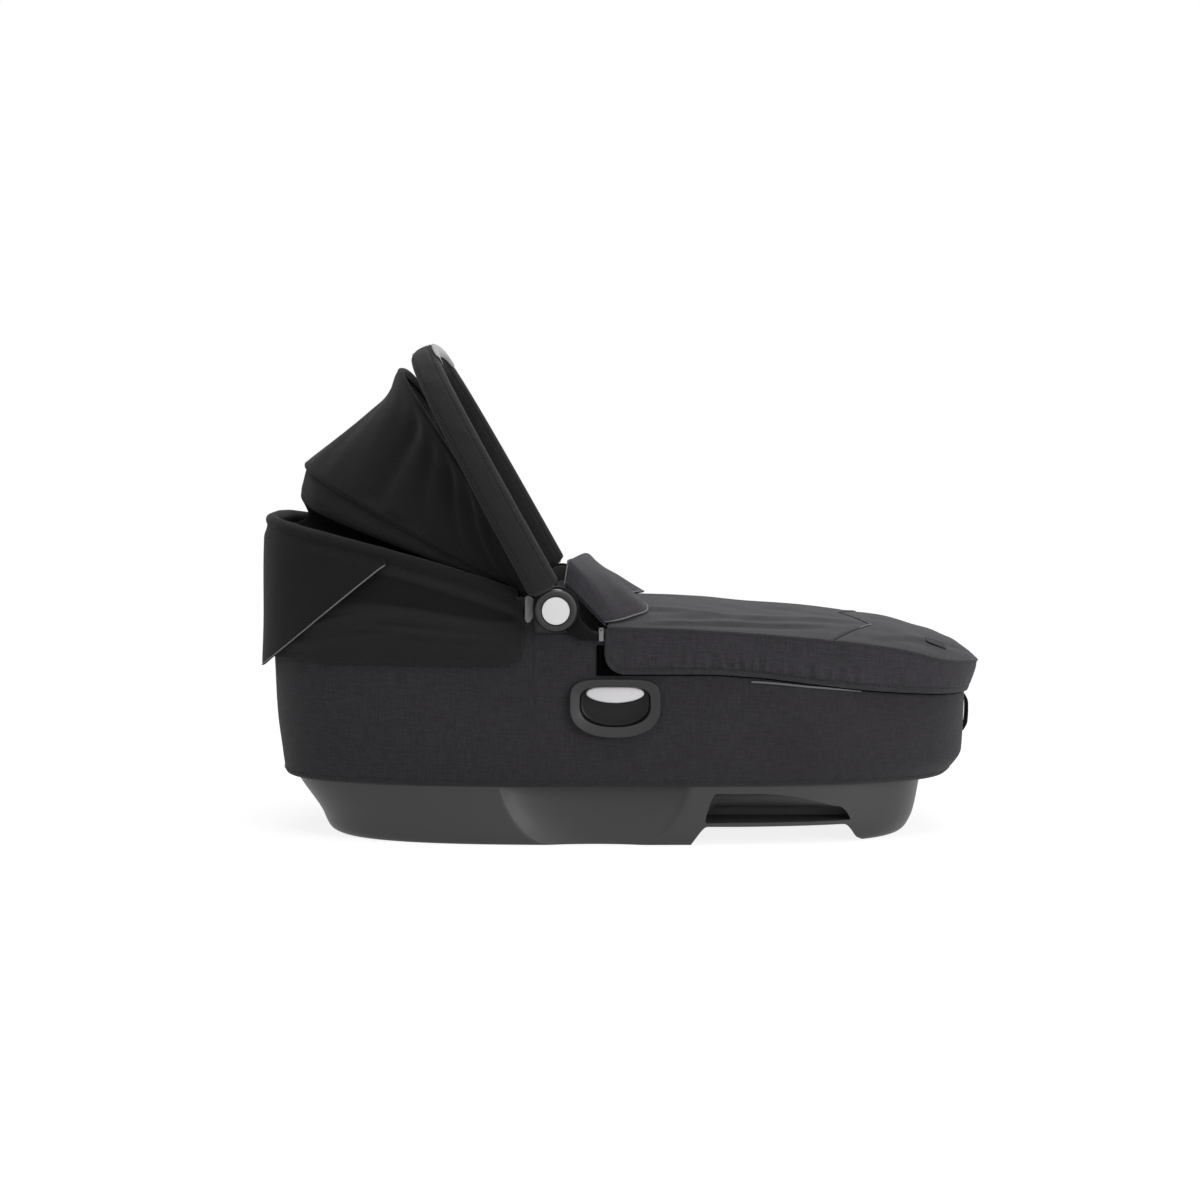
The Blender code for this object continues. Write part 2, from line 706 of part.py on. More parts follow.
def rounded_outline(x, z, half_length, half_height, steps=OUTLINE_STEPS):
    """An oval opening with a flatter, squarer top and a rounder bottom."""
    angles = np.arange(steps) * 2 * math.pi / steps
    power = np.where(np.sin(angles) > 0, 2 / 4.5, 2 / 2.6)
    across = np.sign(np.cos(angles)) * np.abs(np.cos(angles)) ** power
    up = np.sign(np.sin(angles)) * np.abs(np.sin(angles)) ** power
    return list(zip(x + half_length * across, z + half_height * up))


def helix(centre, axis, radius, height, turns, points_per_turn=8):
    """Points of a coil that climbs along Y or Z from its centre point."""
    steps = np.arange(turns * points_per_turn + 1)
    angles = steps * 2 * math.pi / points_per_turn
    climb = steps / steps[-1] * height
    first, second = radius * np.cos(angles), radius * np.sin(angles)
    columns = (first, climb, second) if axis == "Y" else (first, second, climb)
    return np.column_stack(columns) + np.asarray(centre)


def plan_unit(angles):
    """Unit superellipse of the plan: x towards the foot and y to the left."""
    exponent = 2 / PLAN_POWER
    along, across = np.cos(angles), np.sin(angles)
    return np.sign(along) * np.abs(along) ** exponent, np.sign(across) * np.abs(across) ** exponent


def even_angles(count, first_x=None, last_end="head"):
    """Plan angles at equal distances along the outline.

    With first_x they cover only the stretch from there, on the right side, round the head or the
    foot end to the same place on the left side.
    """
    dense = np.linspace(0, 2 * math.pi, DENSE_POINTS)
    along, across = plan_unit(dense)
    x, y = HALF_LENGTH * along, HALF_WIDTH * across
    if first_x is None:
        distance = np.concatenate([[0], np.cumsum(np.hypot(np.diff(x), np.diff(y)))])
        return np.interp(np.linspace(0, distance[-1], count + 1)[:-1], distance, dense)
    share = abs(first_x) / HALF_LENGTH
    corner = math.acos(share ** (PLAN_POWER / 2))
    if last_end == "head":
        start = math.pi + corner if first_x < 0 else 2 * math.pi - corner
        dense = np.linspace(start, 2 * math.pi - start, DENSE_POINTS)
    else:
        start = -corner if first_x > 0 else -(math.pi - corner)
        dense = np.linspace(start, -start, DENSE_POINTS)
    along, across = plan_unit(dense)
    x, y = HALF_LENGTH * along, HALF_WIDTH * across
    distance = np.concatenate([[0], np.cumsum(np.hypot(np.diff(x), np.diff(y)))])
    return np.interp(np.linspace(0, distance[-1], count), distance, dense)


def rim_height(x):
    shares = np.asarray(RIM_SHARES)
    rise = RIM_HEAD_HEIGHT - RIM_FOOT_HEIGHT
    return RIM_FOOT_HEIGHT + rise * np.interp(np.asarray(x) / HALF_LENGTH, shares[:, 0], shares[:, 1])


def body_section(height):
    """Reach to the head, reach to the foot and half width of the fabric body at a height."""
    shares = np.asarray(BODY_SECTION_SHARES)
    share = (np.asarray(height) - HEM_HEIGHT) / (SHOULDER_HEIGHT - HEM_HEIGHT)
    columns = [np.interp(share, shares[:, 0], shares[:, column]) for column in (1, 2, 3)]
    return HALF_LENGTH * columns[0], HALF_LENGTH * columns[1], HALF_WIDTH * columns[2]


def base_section(height):
    shares = np.asarray(BASE_SECTION_SHARES)
    share = np.asarray(height) / BASE_HEIGHT
    columns = [np.interp(share, shares[:, 0], shares[:, column]) for column in (1, 2, 3)]
    return BASE_HEAD_REACH * columns[0], BASE_FOOT_REACH * columns[1], BASE_HALF_WIDTH * columns[2]


def section_points(angles, height, section, inset):
    """Points of the plan outline at a height, moved inwards by an inset."""
    head, foot, half = section(height)
    along, across = plan_unit(angles)
    x = (foot - head) / 2 + ((foot + head) / 2 - inset) * along
    y = (half - inset) * across
    return np.column_stack([x, y, np.broadcast_to(height, x.shape)])


def body_points(angles, bottom, drop, share, inset):
    """Points of the body's surface at a share of the way from a height to the rim less a drop."""
    along, _ = plan_unit(angles)
    top = rim_height(HALF_LENGTH * along) - drop
    return section_points(angles, bottom + share * (top - bottom), body_section, inset)


def wall_rings(angles, inset):
    """Rings up the body's wall at the heights that the cover and the tub share."""
    return [body_points(angles, TUB_FLOOR, RIM_DROP, share, inset) for share in WALL_SHARES]


def arch(half_width, reach, power, lean_deg, start, count):
    """A superellipse arch on the hub axis, from the right leg over the crown to the left leg.

    Returns its points, its outward directions in the arch's plane, and the plane's forward normal.
    """
    lowest = math.asin((start / reach) ** (power / 2))
    dense = np.linspace(math.pi - lowest, lowest, DENSE_POINTS)
    across = half_width * np.sign(np.cos(dense)) * np.abs(np.cos(dense)) ** (2 / power)
    up = reach * np.sin(dense) ** (2 / power)
    distance = np.concatenate([[0], np.cumsum(np.hypot(np.diff(across), np.diff(up)))])
    even = np.linspace(0, distance[-1], count)
    across, up = np.interp(even, distance, across), np.interp(even, distance, up)
    lean = math.radians(lean_deg)
    rise = np.array([-math.sin(lean), 0.0, math.cos(lean)])
    forward = np.array([math.cos(lean), 0.0, math.sin(lean)])
    points = np.array([HUB_X, 0.0, HUB_HEIGHT]) + np.outer(up, rise) + np.outer(across, [0.0, 1.0, 0.0])
    slope = np.gradient(np.column_stack([across, up]), axis=0)
    slope /= np.linalg.norm(slope, axis=1, keepdims=True)
    outward = np.outer(-slope[:, 1], [0.0, 1.0, 0.0]) + np.outer(slope[:, 0], rise)
    return points, outward, forward


def oval_ring(point, outward, forward, half_depth, half_width, angles):
    exponent = 2 / SLEEVE_POWER
    deep = half_depth * np.sign(np.cos(angles)) * np.abs(np.cos(angles)) ** exponent
    wide = half_width * np.sign(np.sin(angles)) * np.abs(np.sin(angles)) ** exponent
    return point + np.outer(deep, outward) + np.outer(wide, forward)


def cut_across(target, outline, name):
    """Cut an outline in the XZ plane right through from side to side."""
    width = 2 * (HALF_WIDTH + OVERRUN)
    return boolean(target, meshed(plate(name, [outline], 0.0, width)), "DIFFERENCE")


def base_form(name, inset):
    """The base's outer form, or the hollow inside it when it is moved in by the wall."""
    bottom = inset
    top = BASE_HEIGHT + (OVERRUN if inset else 0.0)
    middle = [share * BASE_HEIGHT for share, *_ in BASE_SECTION_SHARES[1:-1]]
    heights = [bottom, *[height for height in middle if height > bottom], top]
    angles = even_angles(PLAN_POINTS)
    form = lofted(name, [section_points(angles, height, base_section, inset) for height in heights])
    channel_length = CHANNEL_FOOT_X - CHANNEL_HEAD_X + 2 * inset
    channel = [
        (CHANNEL_HEAD_X - inset + across * channel_length, up * (CHANNEL_HEIGHT + inset))
        for across, up in CHANNEL_SHARES
    ]
    channel = [(channel[0][0], -OVERRUN), *channel, (channel[-1][0], -OVERRUN)]
    cut_across(form, channel, name + "_channel")
    pocket_length = POCKET_FOOT_X - POCKET_HEAD_X + 2 * inset
    for word, side in SIDES:
        rings = []
        for depth, left in POCKET_ROOF_SHARES:
            y = side * (BASE_HALF_WIDTH - depth * (POCKET_DEPTH + (inset if depth == 1.0 else 0.0)))
            ring = [
                (
                    POCKET_HEAD_X - inset + across * pocket_length,
                    y,
                    POCKET_FLOOR - inset + up * (POCKET_HEIGHT * left + 2 * inset),
                )
                for across, up in POCKET_OUTLINE_SHARES
            ]
            rings.append(ring)
        boolean(form, lofted(f"{name}_pocket_{word}", rings), "DIFFERENCE")
        scoop = ellipsoid(
            f"{name}_scoop_{word}",
            (SOCKET_X, side * (BASE_HALF_WIDTH + SCOOP_OUTSET), SCOOP_HEIGHT),
            (SCOOP_HALF_LENGTH + inset, SCOOP_DEPTH + SCOOP_OUTSET + inset, SCOOP_HALF_HEIGHT + inset),
        )
        boolean(form, scoop, "DIFFERENCE")
    return form


def screw_places():
    return [(x, y) for x in (SCREW_HEAD_SIDE_X, SCREW_FOOT_SIDE_X) for y in (-SCREW_Y, SCREW_Y)]


def base_shell():
    """A hollow moulding open at the top, with pockets, a channel, scoops and screw bosses."""
    shell = base_form("base_shell", 0.0)
    boolean(shell, base_form("base_hollow", BASE_WALL), "DIFFERENCE")
    for index, (x, y) in enumerate(screw_places()):
        boss = rod(f"boss_{index}", SCREW_BOSS_RADIUS, (x, y, BASE_WALL / 2), (x, y, BASE_HEIGHT))
        boolean(shell, boss, "UNION")
        seat = (x, y, SCREW_SEAT_HEIGHT)
        bore = rod(f"counterbore_{index}", SCREW_HEAD_RADIUS + GAP, (x, y, -OVERRUN), seat)
        boolean(shell, bore, "DIFFERENCE")
        above = (x, y, BASE_HEIGHT + OVERRUN)
        hole = rod(f"screw_hole_{index}", SCREW_SHANK_RADIUS + GAP, (x, y, 0.0), above)
        boolean(shell, hole, "DIFFERENCE")
    finished(shell, "base_plastic")


def base_screws():
    """Screws from below into the tub's floor."""
    for index, (x, y) in enumerate(screw_places(), 1):
        seat = SCREW_SEAT_HEIGHT - GAP
        profile = [
            (0.0, TUB_FLOOR_TOP - GAP),
            (SCREW_SHANK_RADIUS, TUB_FLOOR_TOP - GAP),
            (SCREW_SHANK_RADIUS, seat),
            (SCREW_HEAD_RADIUS, seat),
            (SCREW_HEAD_RADIUS, seat - SCREW_HEAD_DEPTH),
            (0.0, seat - SCREW_HEAD_DEPTH),
        ]
        screw = turned(f"base_screw_{index}", profile, x, 0.0, 1, SMALL_STEPS)
        screw.rotation_euler = (0.0, 0.0, 0.0)
        screw.location = (x, y, 0.0)
        finished(smooth(screw), "steel")


def socket_box(name, side, grow, bottom, top):
    """The carrier socket's outer box, grown or shrunk on its four sides."""
    near, far = SOCKET_INNER_Y - grow, SOCKET_OUTER_Y + grow
    low_y, high_y = sorted((side * near, side * far))
    low = (SOCKET_X - SOCKET_HALF_LENGTH - grow, low_y, bottom)
    high = (SOCKET_X + SOCKET_HALF_LENGTH + grow, high_y, top)
    return block(name, low, high)


def inner_tub():
    """A stiff tray with a side ear at each hub, and openings for the cups and sockets."""
    angles = even_angles(PLAN_POINTS)
    floor = section_points(angles, TUB_FLOOR_TOP, body_section, TUB_INNER_INSET)
    inner = [floor, *wall_rings(angles, TUB_INNER_INSET)[1:]]
    tub = lofted("inner_tub", wall_rings(angles, TUB_INSET) + inner[::-1])
    ear_out = HALF_WIDTH - TUB_INSET - GAP / 3
    for word, side in SIDES:
        start = (HUB_X, side * (ear_out - EAR_THICKNESS), HUB_HEIGHT)
        ear = rod(f"ear_{word}", EAR_RADIUS, start, (HUB_X, side * ear_out, HUB_HEIGHT), ROUND_STEPS)
        boolean(tub, ear, "UNION")
        low, high = TUB_FLOOR - OVERRUN, TUB_FLOOR_TOP + OVERRUN / 4
        hole = socket_box(f"socket_hole_{word}", side, GAP, low, high)
        boolean(tub, hole, "DIFFERENCE")
    cut_across(tub, circle(HUB_X, HUB_HEIGHT, BOLT_HOLE_RADIUS), "tub_bolt_hole")
    cut_across(tub, cup_outline(CUP_WALL + GAP), "tub_cup_hole")
    for index, (x, y) in enumerate(screw_places()):
        below, above = (x, y, BASE_HEIGHT - OVERRUN), (x, y, TUB_FLOOR_TOP + OVERRUN)
        hole = rod(f"tub_screw_hole_{index}", SCREW_SHANK_RADIUS + GAP, below, above)
        boolean(tub, hole, "DIFFERENCE")
    finished(tub, "tub_board")


def cup_outline(grow):
    return rounded_outline(RELEASE_X, CUP_Z, OPENING_HALF_LENGTH + grow, CUP_HALF_HEIGHT + grow)


def body_cover():
    """The outer fabric, turned in under its hem to the base, with a notch at each hub."""
    angles = even_angles(PLAN_POINTS)
    hem_top = HEM_HEIGHT + COVER_THICKNESS
    outside = [
        section_points(angles, HEM_HEIGHT, base_section, -GAP),
        section_points(angles, HEM_HEIGHT, body_section, 0.0),
        *wall_rings(angles, 0.0),
    ]
    inside = [
        section_points(angles, hem_top, base_section, -GAP),
        section_points(angles, hem_top, body_section, COVER_THICKNESS),
        *wall_rings(angles, COVER_THICKNESS),
    ]
    cover = lofted("body_cover", outside + inside[::-1], closed=True)
    corners = [(x, z) for x in (NOTCH_HEAD_X, NOTCH_FOOT_X) for z in (NOTCH_HEIGHT, RIM_HEAD_HEIGHT)]
    cut_across(cover, [corners[index] for index in (0, 2, 3, 1)], "hub_notch")
    cut_across(cover, cup_outline(CUP_WALL + GAP), "cover_cup_hole")
    finished(cover, "outer_fabric")


def inner_liner():
    """The padded lining: a soft tray inside the tub."""
    angles = even_angles(PLAN_POINTS)
    drop = RIM_DROP + LINER_TOP_DROP

    def rings(offset):
        return [
            body_points(angles, LINER_FLOOR + offset, drop, share, LINER_PADDING * inset + offset)
            for share, inset in LINER_PADDING_SHARES
        ]

    finished(lofted("inner_liner", rings(0.0) + rings(LINER_THICKNESS)[::-1]), "lining")


def mattress():
    """A crowned pad whose sides draw in between its corners."""
    angles = even_angles(PLAN_POINTS)
    padding = LINER_PADDING * LINER_PADDING_SHARES[0][1] + LINER_THICKNESS + MATTRESS_CLEARANCE
    head, foot, half = body_section(LINER_FLOOR)
    half -= padding
    reach = min(head, foot) - padding
    along, across = plan_unit(angles)
    rings = []
    for up, inset_share in MATTRESS_SHARES:
        inset = inset_share * half
        draw_in = MATTRESS_DRAW_IN * (1 - along**2)
        x = (reach - inset) * along
        y = (half - inset - draw_in * (inset_share < 0.5)) * across
        z = MATTRESS_BOTTOM + up * MATTRESS_THICKNESS
        rings.append(np.column_stack([x, y, np.full_like(x, z)]))
    finished(smooth(lofted("mattress", rings)), "mattress_cloth")


def rim_path(angles, inset, drop):
    along, across = plan_unit(angles)
    x = (HALF_LENGTH - inset) * along
    y = (HALF_WIDTH - inset) * across
    return np.column_stack([x, y, rim_height(HALF_LENGTH * along) - drop])


def rims():
    """The rolled rim round the head end, and a slim rim under the boot cover."""
    roll = rim_path(even_angles(RIM_STATIONS, ROLL_FRONT_X, "head"), -ROLL_OUTSET, 0.0)
    finished(smooth(tube("rim_roll", roll, ROLL_RADIUS)), "outer_fabric")
    drop = RIM_DROP - 2 * LOOSE_GAP - FOOT_RIM_RADIUS
    foot = rim_path(even_angles(RIM_STATIONS, FOOT_RIM_FRONT_X, "foot"), FOOT_RIM_INSET, drop)
    finished(smooth(tube("foot_rim", foot, FOOT_RIM_RADIUS)), "outer_fabric")


def end_corners(columns):
    """How far a skirt's hem rises at each column: rounded corners at both ends."""
    steps = np.arange(columns)
    return np.clip(1 - np.minimum(steps, steps[::-1]) / CORNER_COLUMNS, 0, 1) ** 2


def hood_skirt():
    """The fabric that hangs from the rolled rim, with soft folds along it."""
    angles = even_angles(SKIRT_COLUMNS, HOOD_SKIRT_FRONT_X, "head")
    corner = end_corners(SKIRT_COLUMNS)
    hem = HOOD_SKIRT_HEM_HEIGHT + HOOD_SKIRT_CORNER * corner
    along, _ = plan_unit(angles)
    top = rim_height(HALF_LENGTH * along) - RIM_DROP
    surfaces = []
    for outset in (HOOD_SKIRT_OUTSET + SKIRT_THICKNESS, HOOD_SKIRT_OUTSET):
        rows = []
        for share in np.linspace(0, 1, 6):
            fold = HOOD_SKIRT_FOLD * math.sin(share * 3 * math.pi) * (1 - corner)
            height = top + share * (hem - top)
            rows.append(section_points(angles, height, body_section, -(outset + fold)))
        surfaces.append(np.array(rows))
    finished(slab("hood_skirt", *surfaces), "hood_fabric")


def rear_curtain():
    """A pointed flap round the head end, which hangs outside the rolled rim."""
    angles = even_angles(CURTAIN_COLUMNS, CURTAIN_FRONT_X, "head")
    along, _ = plan_unit(angles)
    x = HALF_LENGTH * along
    top = rim_height(x)
    front = (x + HALF_LENGTH) / (CURTAIN_FRONT_X + HALF_LENGTH)
    end_height = rim_height(CURTAIN_FRONT_X) - CURTAIN_END_HEIGHT
    hem = CURTAIN_TIP_HEIGHT + front * (end_height - CURTAIN_TIP_HEIGHT)
    near = ROLL_OUTSET + ROLL_RADIUS + GAP
    surfaces = []
    for outset in (near + CURTAIN_THICKNESS, near):
        rows = []
        for share in np.linspace(0, 1, 4):
            flare = CURTAIN_FLARE * share * (1 - front)
            height = top + share * (hem - top)
            rows.append(section_points(angles, height, body_section, -(outset + flare)))
        surfaces.append(np.array(rows))
    finished(slab("rear_curtain", *surfaces), "hood_fabric")


def hub_stack(word, side):
    """Bracket, bolt, washer, ring, gear, spring and button of one hub."""
    bracket = turned(
        f"hub_bracket_{word}",
        [
            (RECESS_RADIUS, BRACKET_OUT),
            (BRACKET_RADIUS, BRACKET_OUT),
            (BRACKET_RADIUS, BRACKET_IN),
            (BRACKET_BOSS_RADIUS, BRACKET_IN),
            (BRACKET_BOSS_RADIUS, BOSS_IN),
            (BOLT_HOLE_RADIUS, BOSS_IN),
            (BOLT_HOLE_RADIUS, RECESS_FLOOR),
            (RECESS_RADIUS, RECESS_FLOOR),
        ],
        HUB_X,
        HUB_HEIGHT,
        side,
    )
    outline = [
        (HUB_X + across * WING_REACH, HUB_HEIGHT - down * WING_DROP) for across, down in WING_SHARES
    ]
    wing_middle = side * (BRACKET_IN + GAP + WING_THICKNESS / 2)
    wing = meshed(plate(f"wing_{word}", [outline], wing_middle, WING_THICKNESS))
    keep_out = rod(
        f"wing_relief_{word}",
        RECESS_RADIUS + GAP,
        (HUB_X, side * (BRACKET_IN - OVERRUN), HUB_HEIGHT),
        (HUB_X, side * (BRACKET_OUT + OVERRUN), HUB_HEIGHT),
        ROUND_STEPS,
    )
    boolean(wing, keep_out, "DIFFERENCE")
    boolean(bracket, wing, "UNION")
    finished(smooth(bracket), "hub_plastic")

    bow_in = MID_BOW_HALF_WIDTH - MID_BOW_RADIUS - EYELET_PROUD
    flange = bow_in - GAP
    bolt = turned(
        f"hub_bolt_{word}",
        [
            (0.0, BOLT_HEAD_IN + BOLT_HEAD_DEPTH),
            (BOLT_HEAD_RADIUS, BOLT_HEAD_IN + BOLT_HEAD_DEPTH),
            (BOLT_HEAD_RADIUS, BOLT_HEAD_IN),
            (BOLT_RADIUS, BOLT_HEAD_IN),
            (BOLT_RADIUS, flange),
            (BOLT_FLANGE_RADIUS, flange),
            (BOLT_FLANGE_RADIUS, flange - BOLT_FLANGE_DEPTH),
            (0.0, flange - BOLT_FLANGE_DEPTH),
        ],
        HUB_X,
        HUB_HEIGHT,
        side,
        SMALL_STEPS,
    )
    finished(smooth(bolt), "steel")

    lean = math.radians(HANDLE_LEAN_DEG)
    prongs = circle(HUB_X, HUB_HEIGHT, PRONG_CIRCLE_RADIUS, PRONG_COUNT, lean)
    outlines = [circle(HUB_X, HUB_HEIGHT, WASHER_RADIUS, ROUND_STEPS)]
    outlines.append(circle(HUB_X, HUB_HEIGHT, BOLT_HOLE_RADIUS))
    outlines += [circle(x, z, PRONG_RADIUS + 2 * GAP, TINY_STEPS) for x, z in prongs]
    washer_middle = side * (WASHER_IN + WASHER_OUT) / 2
    finished(plate(f"hub_washer_{word}", outlines, washer_middle, WASHER_THICKNESS), "steel")

    ring = turned(
        f"hub_ring_{word}",
        [
            (CAVITY_RADIUS, RING_OUT),
            (RING_RADIUS - RING_CHAMFER, RING_OUT),
            (RING_RADIUS, RING_OUT - RING_CHAMFER),
            (RING_RADIUS, RING_IN + RING_CHAMFER),
            (RING_RADIUS - RING_CHAMFER, RING_IN),
            (RING_HOLE_RADIUS, RING_IN),
            (RING_HOLE_RADIUS, RING_SEAT),
            (CAVITY_RADIUS, RING_SEAT),
        ],
        HUB_X,
        HUB_HEIGHT,
        side,
    )
    rise = np.array([-math.sin(lean), 0.0, math.cos(lean)])
    forward = np.array([math.cos(lean), 0.0, math.sin(lean)])
    angles = np.arange(SECTION_POINTS) * 2 * math.pi / SECTION_POINTS
    foot = np.array([HUB_X, side * HANDLE_HALF_WIDTH, HUB_HEIGHT])
    deep = TUBE_HALF_DEPTH - TUBE_WALL - SPIGOT_GAP
    wide = TUBE_HALF_WIDTH - TUBE_WALL - SPIGOT_GAP
    rings = [
        oval_ring(foot + rise * distance, np.array([0.0, 1.0, 0.0]), forward, deep, wide, angles)
        for distance in (SPIGOT_START, SPIGOT_END)
    ]
    boolean(ring, lofted(f"spigot_{word}", rings), "UNION")
    finished(smooth(ring), "hub_plastic")

    teeth = []
    for index in range(2 * GEAR_TEETH):
        radius = GEAR_RADIUS - (GEAR_TOOTH_DEPTH if index % 2 else 0.0)
        turn = index * math.pi / GEAR_TEETH
        teeth.append((HUB_X + radius * math.cos(turn), HUB_HEIGHT + radius * math.sin(turn)))
    gear_middle = RING_SEAT - GEAR_THICKNESS / 2
    bore = circle(HUB_X, HUB_HEIGHT, BOLT_RADIUS + LOOSE_GAP)
    gear = plate(f"lock_gear_{word}", [teeth, bore], side * gear_middle, GEAR_THICKNESS)
    finished(gear, "steel")

    wire = SPRING_WIRE_RADIUS
    height = RING_SEAT - GEAR_THICKNESS - RECESS_FLOOR - 2 * (wire + GAP)
    start = (HUB_X, RECESS_FLOOR + wire + GAP, HUB_HEIGHT)
    path = helix(start, "Y", SPRING_RADIUS, height, SPRING_TURNS)
    path[:, 1] *= side
    finished(smooth(tube(f"gear_spring_{word}", path, wire, 0)), "steel")

    button = turned(
        f"hub_button_{word}",
        [
            (0.0, BUTTON_OUT),
            (BUTTON_RADIUS - RING_CHAMFER, BUTTON_OUT),
            (BUTTON_RADIUS, BUTTON_OUT - RING_CHAMFER / 2),
            (BUTTON_RADIUS, BUTTON_IN),
            (0.0, BUTTON_IN),
        ],
        HUB_X,
        HUB_HEIGHT,
        side,
    )
    for index, (x, z) in enumerate(prongs):
        inner, outer = (x, side * (RING_SEAT + GAP), z), (x, side * (BUTTON_IN + RING_CHAMFER), z)
        prong = rod(f"prong_{word}_{index}", PRONG_RADIUS, inner, outer, TINY_STEPS)
        boolean(button, prong, "UNION")
    finished(smooth(button), "button_plastic")


def handle():
    """The oval tube, its padded sleeve and the grip panel on the crown."""
    arch_sizes = (HANDLE_HALF_WIDTH, HANDLE_REACH, HANDLE_POWER, HANDLE_LEAN_DEG)
    points, outward, forward = arch(*arch_sizes, SLEEVE_START, HANDLE_STATIONS)
    ends, end_outward, _ = arch(*arch_sizes, TUBE_START, DENSE_POINTS)
    tube_points = np.concatenate([ends[:1], points, ends[-1:]])
    tube_outward = np.concatenate([end_outward[:1], outward, end_outward[-1:]])
    angles = np.arange(SECTION_POINTS) * 2 * math.pi / SECTION_POINTS

    def rings(places, directions, half_depth, half_widths):
        return [
            oval_ring(place, direction, forward, half_depth, half_width, angles)
            for place, direction, half_width in zip(places, directions, half_widths)
        ]

    same = np.ones(len(tube_points))
    bore_depth, bore_width = TUBE_HALF_DEPTH - TUBE_WALL, TUBE_HALF_WIDTH - TUBE_WALL
    outer = rings(tube_points, tube_outward, TUBE_HALF_DEPTH, TUBE_HALF_WIDTH * same)
    inner = rings(tube_points, tube_outward, bore_depth, bore_width * same)
    finished(smooth(lofted("handle_tube", outer + inner[::-1], closed=True)), "alloy")

    crown = 1 - np.abs(np.linspace(-1, 1, HANDLE_STATIONS))
    widths = SLEEVE_LEG_HALF_WIDTH + (SLEEVE_CROWN_HALF_WIDTH - SLEEVE_LEG_HALF_WIDTH) * crown
    outer = rings(points, outward, SLEEVE_HALF_DEPTH, widths)
    inner = rings(points, outward, TUBE_HALF_DEPTH + GAP, (TUBE_HALF_WIDTH + GAP) * np.ones(len(points)))
    finished(smooth(lofted("handle_sleeve", outer + inner[::-1], closed=True)), "sleeve")

    middle = HANDLE_STATIONS // 2
    span = math.radians(GRIP_HALF_ANGLE_DEG)
    arc = np.linspace(math.pi / 2 - span, math.pi / 2 + span, 7)
    surfaces = []
    for offset in (LOOSE_GAP + GRIP_THICKNESS, LOOSE_GAP):
        rows = []
        for station in range(middle - GRIP_STATIONS, middle + GRIP_STATIONS + 1):
            depth, width = SLEEVE_HALF_DEPTH + offset, widths[station] + offset
            rows.append(oval_ring(points[station], outward[station], forward, depth, width, arc))
        surfaces.append(np.array(rows))
    finished(smooth(slab("handle_grip", *surfaces)), "grip")


def bows():
    """The hood's front bow on the handle, and its middle bow on the hub bolts."""
    front, _, _ = arch(*FRONT_ARCH, FRONT_BOW_START, BOW_STATIONS)
    finished(smooth(tube("front_bow", front, FRONT_BOW_RADIUS, 1)), "steel")
    middle, _, _ = arch(*MID_ARCH, MID_BOW_START, BOW_STATIONS + 4)
    bow = meshed(tube("mid_bow", middle, MID_BOW_RADIUS, 1))
    for word, side in SIDES:
        inner = MID_BOW_HALF_WIDTH - MID_BOW_RADIUS - EYELET_PROUD
        outer = MID_BOW_HALF_WIDTH + MID_BOW_RADIUS + EYELET_PROUD
        ends = ((HUB_X, side * inner, HUB_HEIGHT), (HUB_X, side * outer, HUB_HEIGHT))
        boolean(bow, rod(f"eyelet_{word}", EYELET_RADIUS, *ends, ROUND_STEPS), "UNION")
    cut_across(bow, circle(HUB_X, HUB_HEIGHT, BOLT_HOLE_RADIUS), "eyelet_bore")
    finished(smooth(bow), "steel")


def hood_sheet(name, near_edge, far_edge, sag, pulls):
    """Fabric between two arches, sagging between them, with folds that fan out from the hubs."""
    across = np.linspace(-1, 1, HOOD_COLUMNS)
    along = np.linspace(0, 1, HOOD_ROWS)
    grid = near_edge[None] + along[:, None, None] * (far_edge - near_edge)[None]
    normals = grid_normals(grid)
    middle = normals[HOOD_ROWS // 2, HOOD_COLUMNS // 2]
    inward = -normals if middle[2] > 0 else normals
    spread = np.abs(across)
    dip = np.outer(np.sin(math.pi * along), 1 - spread**3) * sag
    folds = np.outer(np.sin(2 * math.pi * pulls * along), spread * (1 - spread**6)) * HOOD_FOLD
    grid = grid + inward * (dip + folds)[..., None]
    finished(thickened(name, grid, HOOD_THICKNESS), "hood_fabric")


def hood_fabrics():
    front, _, front_normal = arch(*FRONT_ARCH, FRONT_BOW_START, HOOD_COLUMNS)
    middle, _, middle_normal = arch(*MID_ARCH, HOOD_START, HOOD_COLUMNS)
    first = front - front_normal * (FRONT_BOW_RADIUS + LOOSE_GAP)
    last = middle + middle_normal * (MID_BOW_RADIUS + LOOSE_GAP)
    hood_sheet("hood_front_fabric", first, last, HOOD_SAG, 2)
    angles = even_angles(HOOD_COLUMNS, REAR_FABRIC_FRONT_X, "head")
    along, across = plan_unit(angles)
    inset = REAR_FABRIC_INSET + (REAR_FABRIC_HEAD_INSET - REAR_FABRIC_INSET) * (1 - np.abs(across)) ** 0.5
    x = (HALF_LENGTH - inset) * along
    y = (HALF_WIDTH - REAR_FABRIC_INSET) * across
    rim = np.column_stack([x, y, rim_height(HALF_LENGTH * along) - REAR_FABRIC_DROP])
    rear = middle - middle_normal * (MID_BOW_RADIUS + LOOSE_GAP)
    hood_sheet("hood_rear_fabric", rear, rim, HOOD_SAG / 2, 1)


def boot_half_width(x):
    """Half width of the boot cover's outline at a place along it."""
    share = np.clip(np.abs(x) / BOOT_REACH, 0, 1)
    return BOOT_HALF_WIDTH * (1 - share**PLAN_POWER) ** (1 / PLAN_POWER)


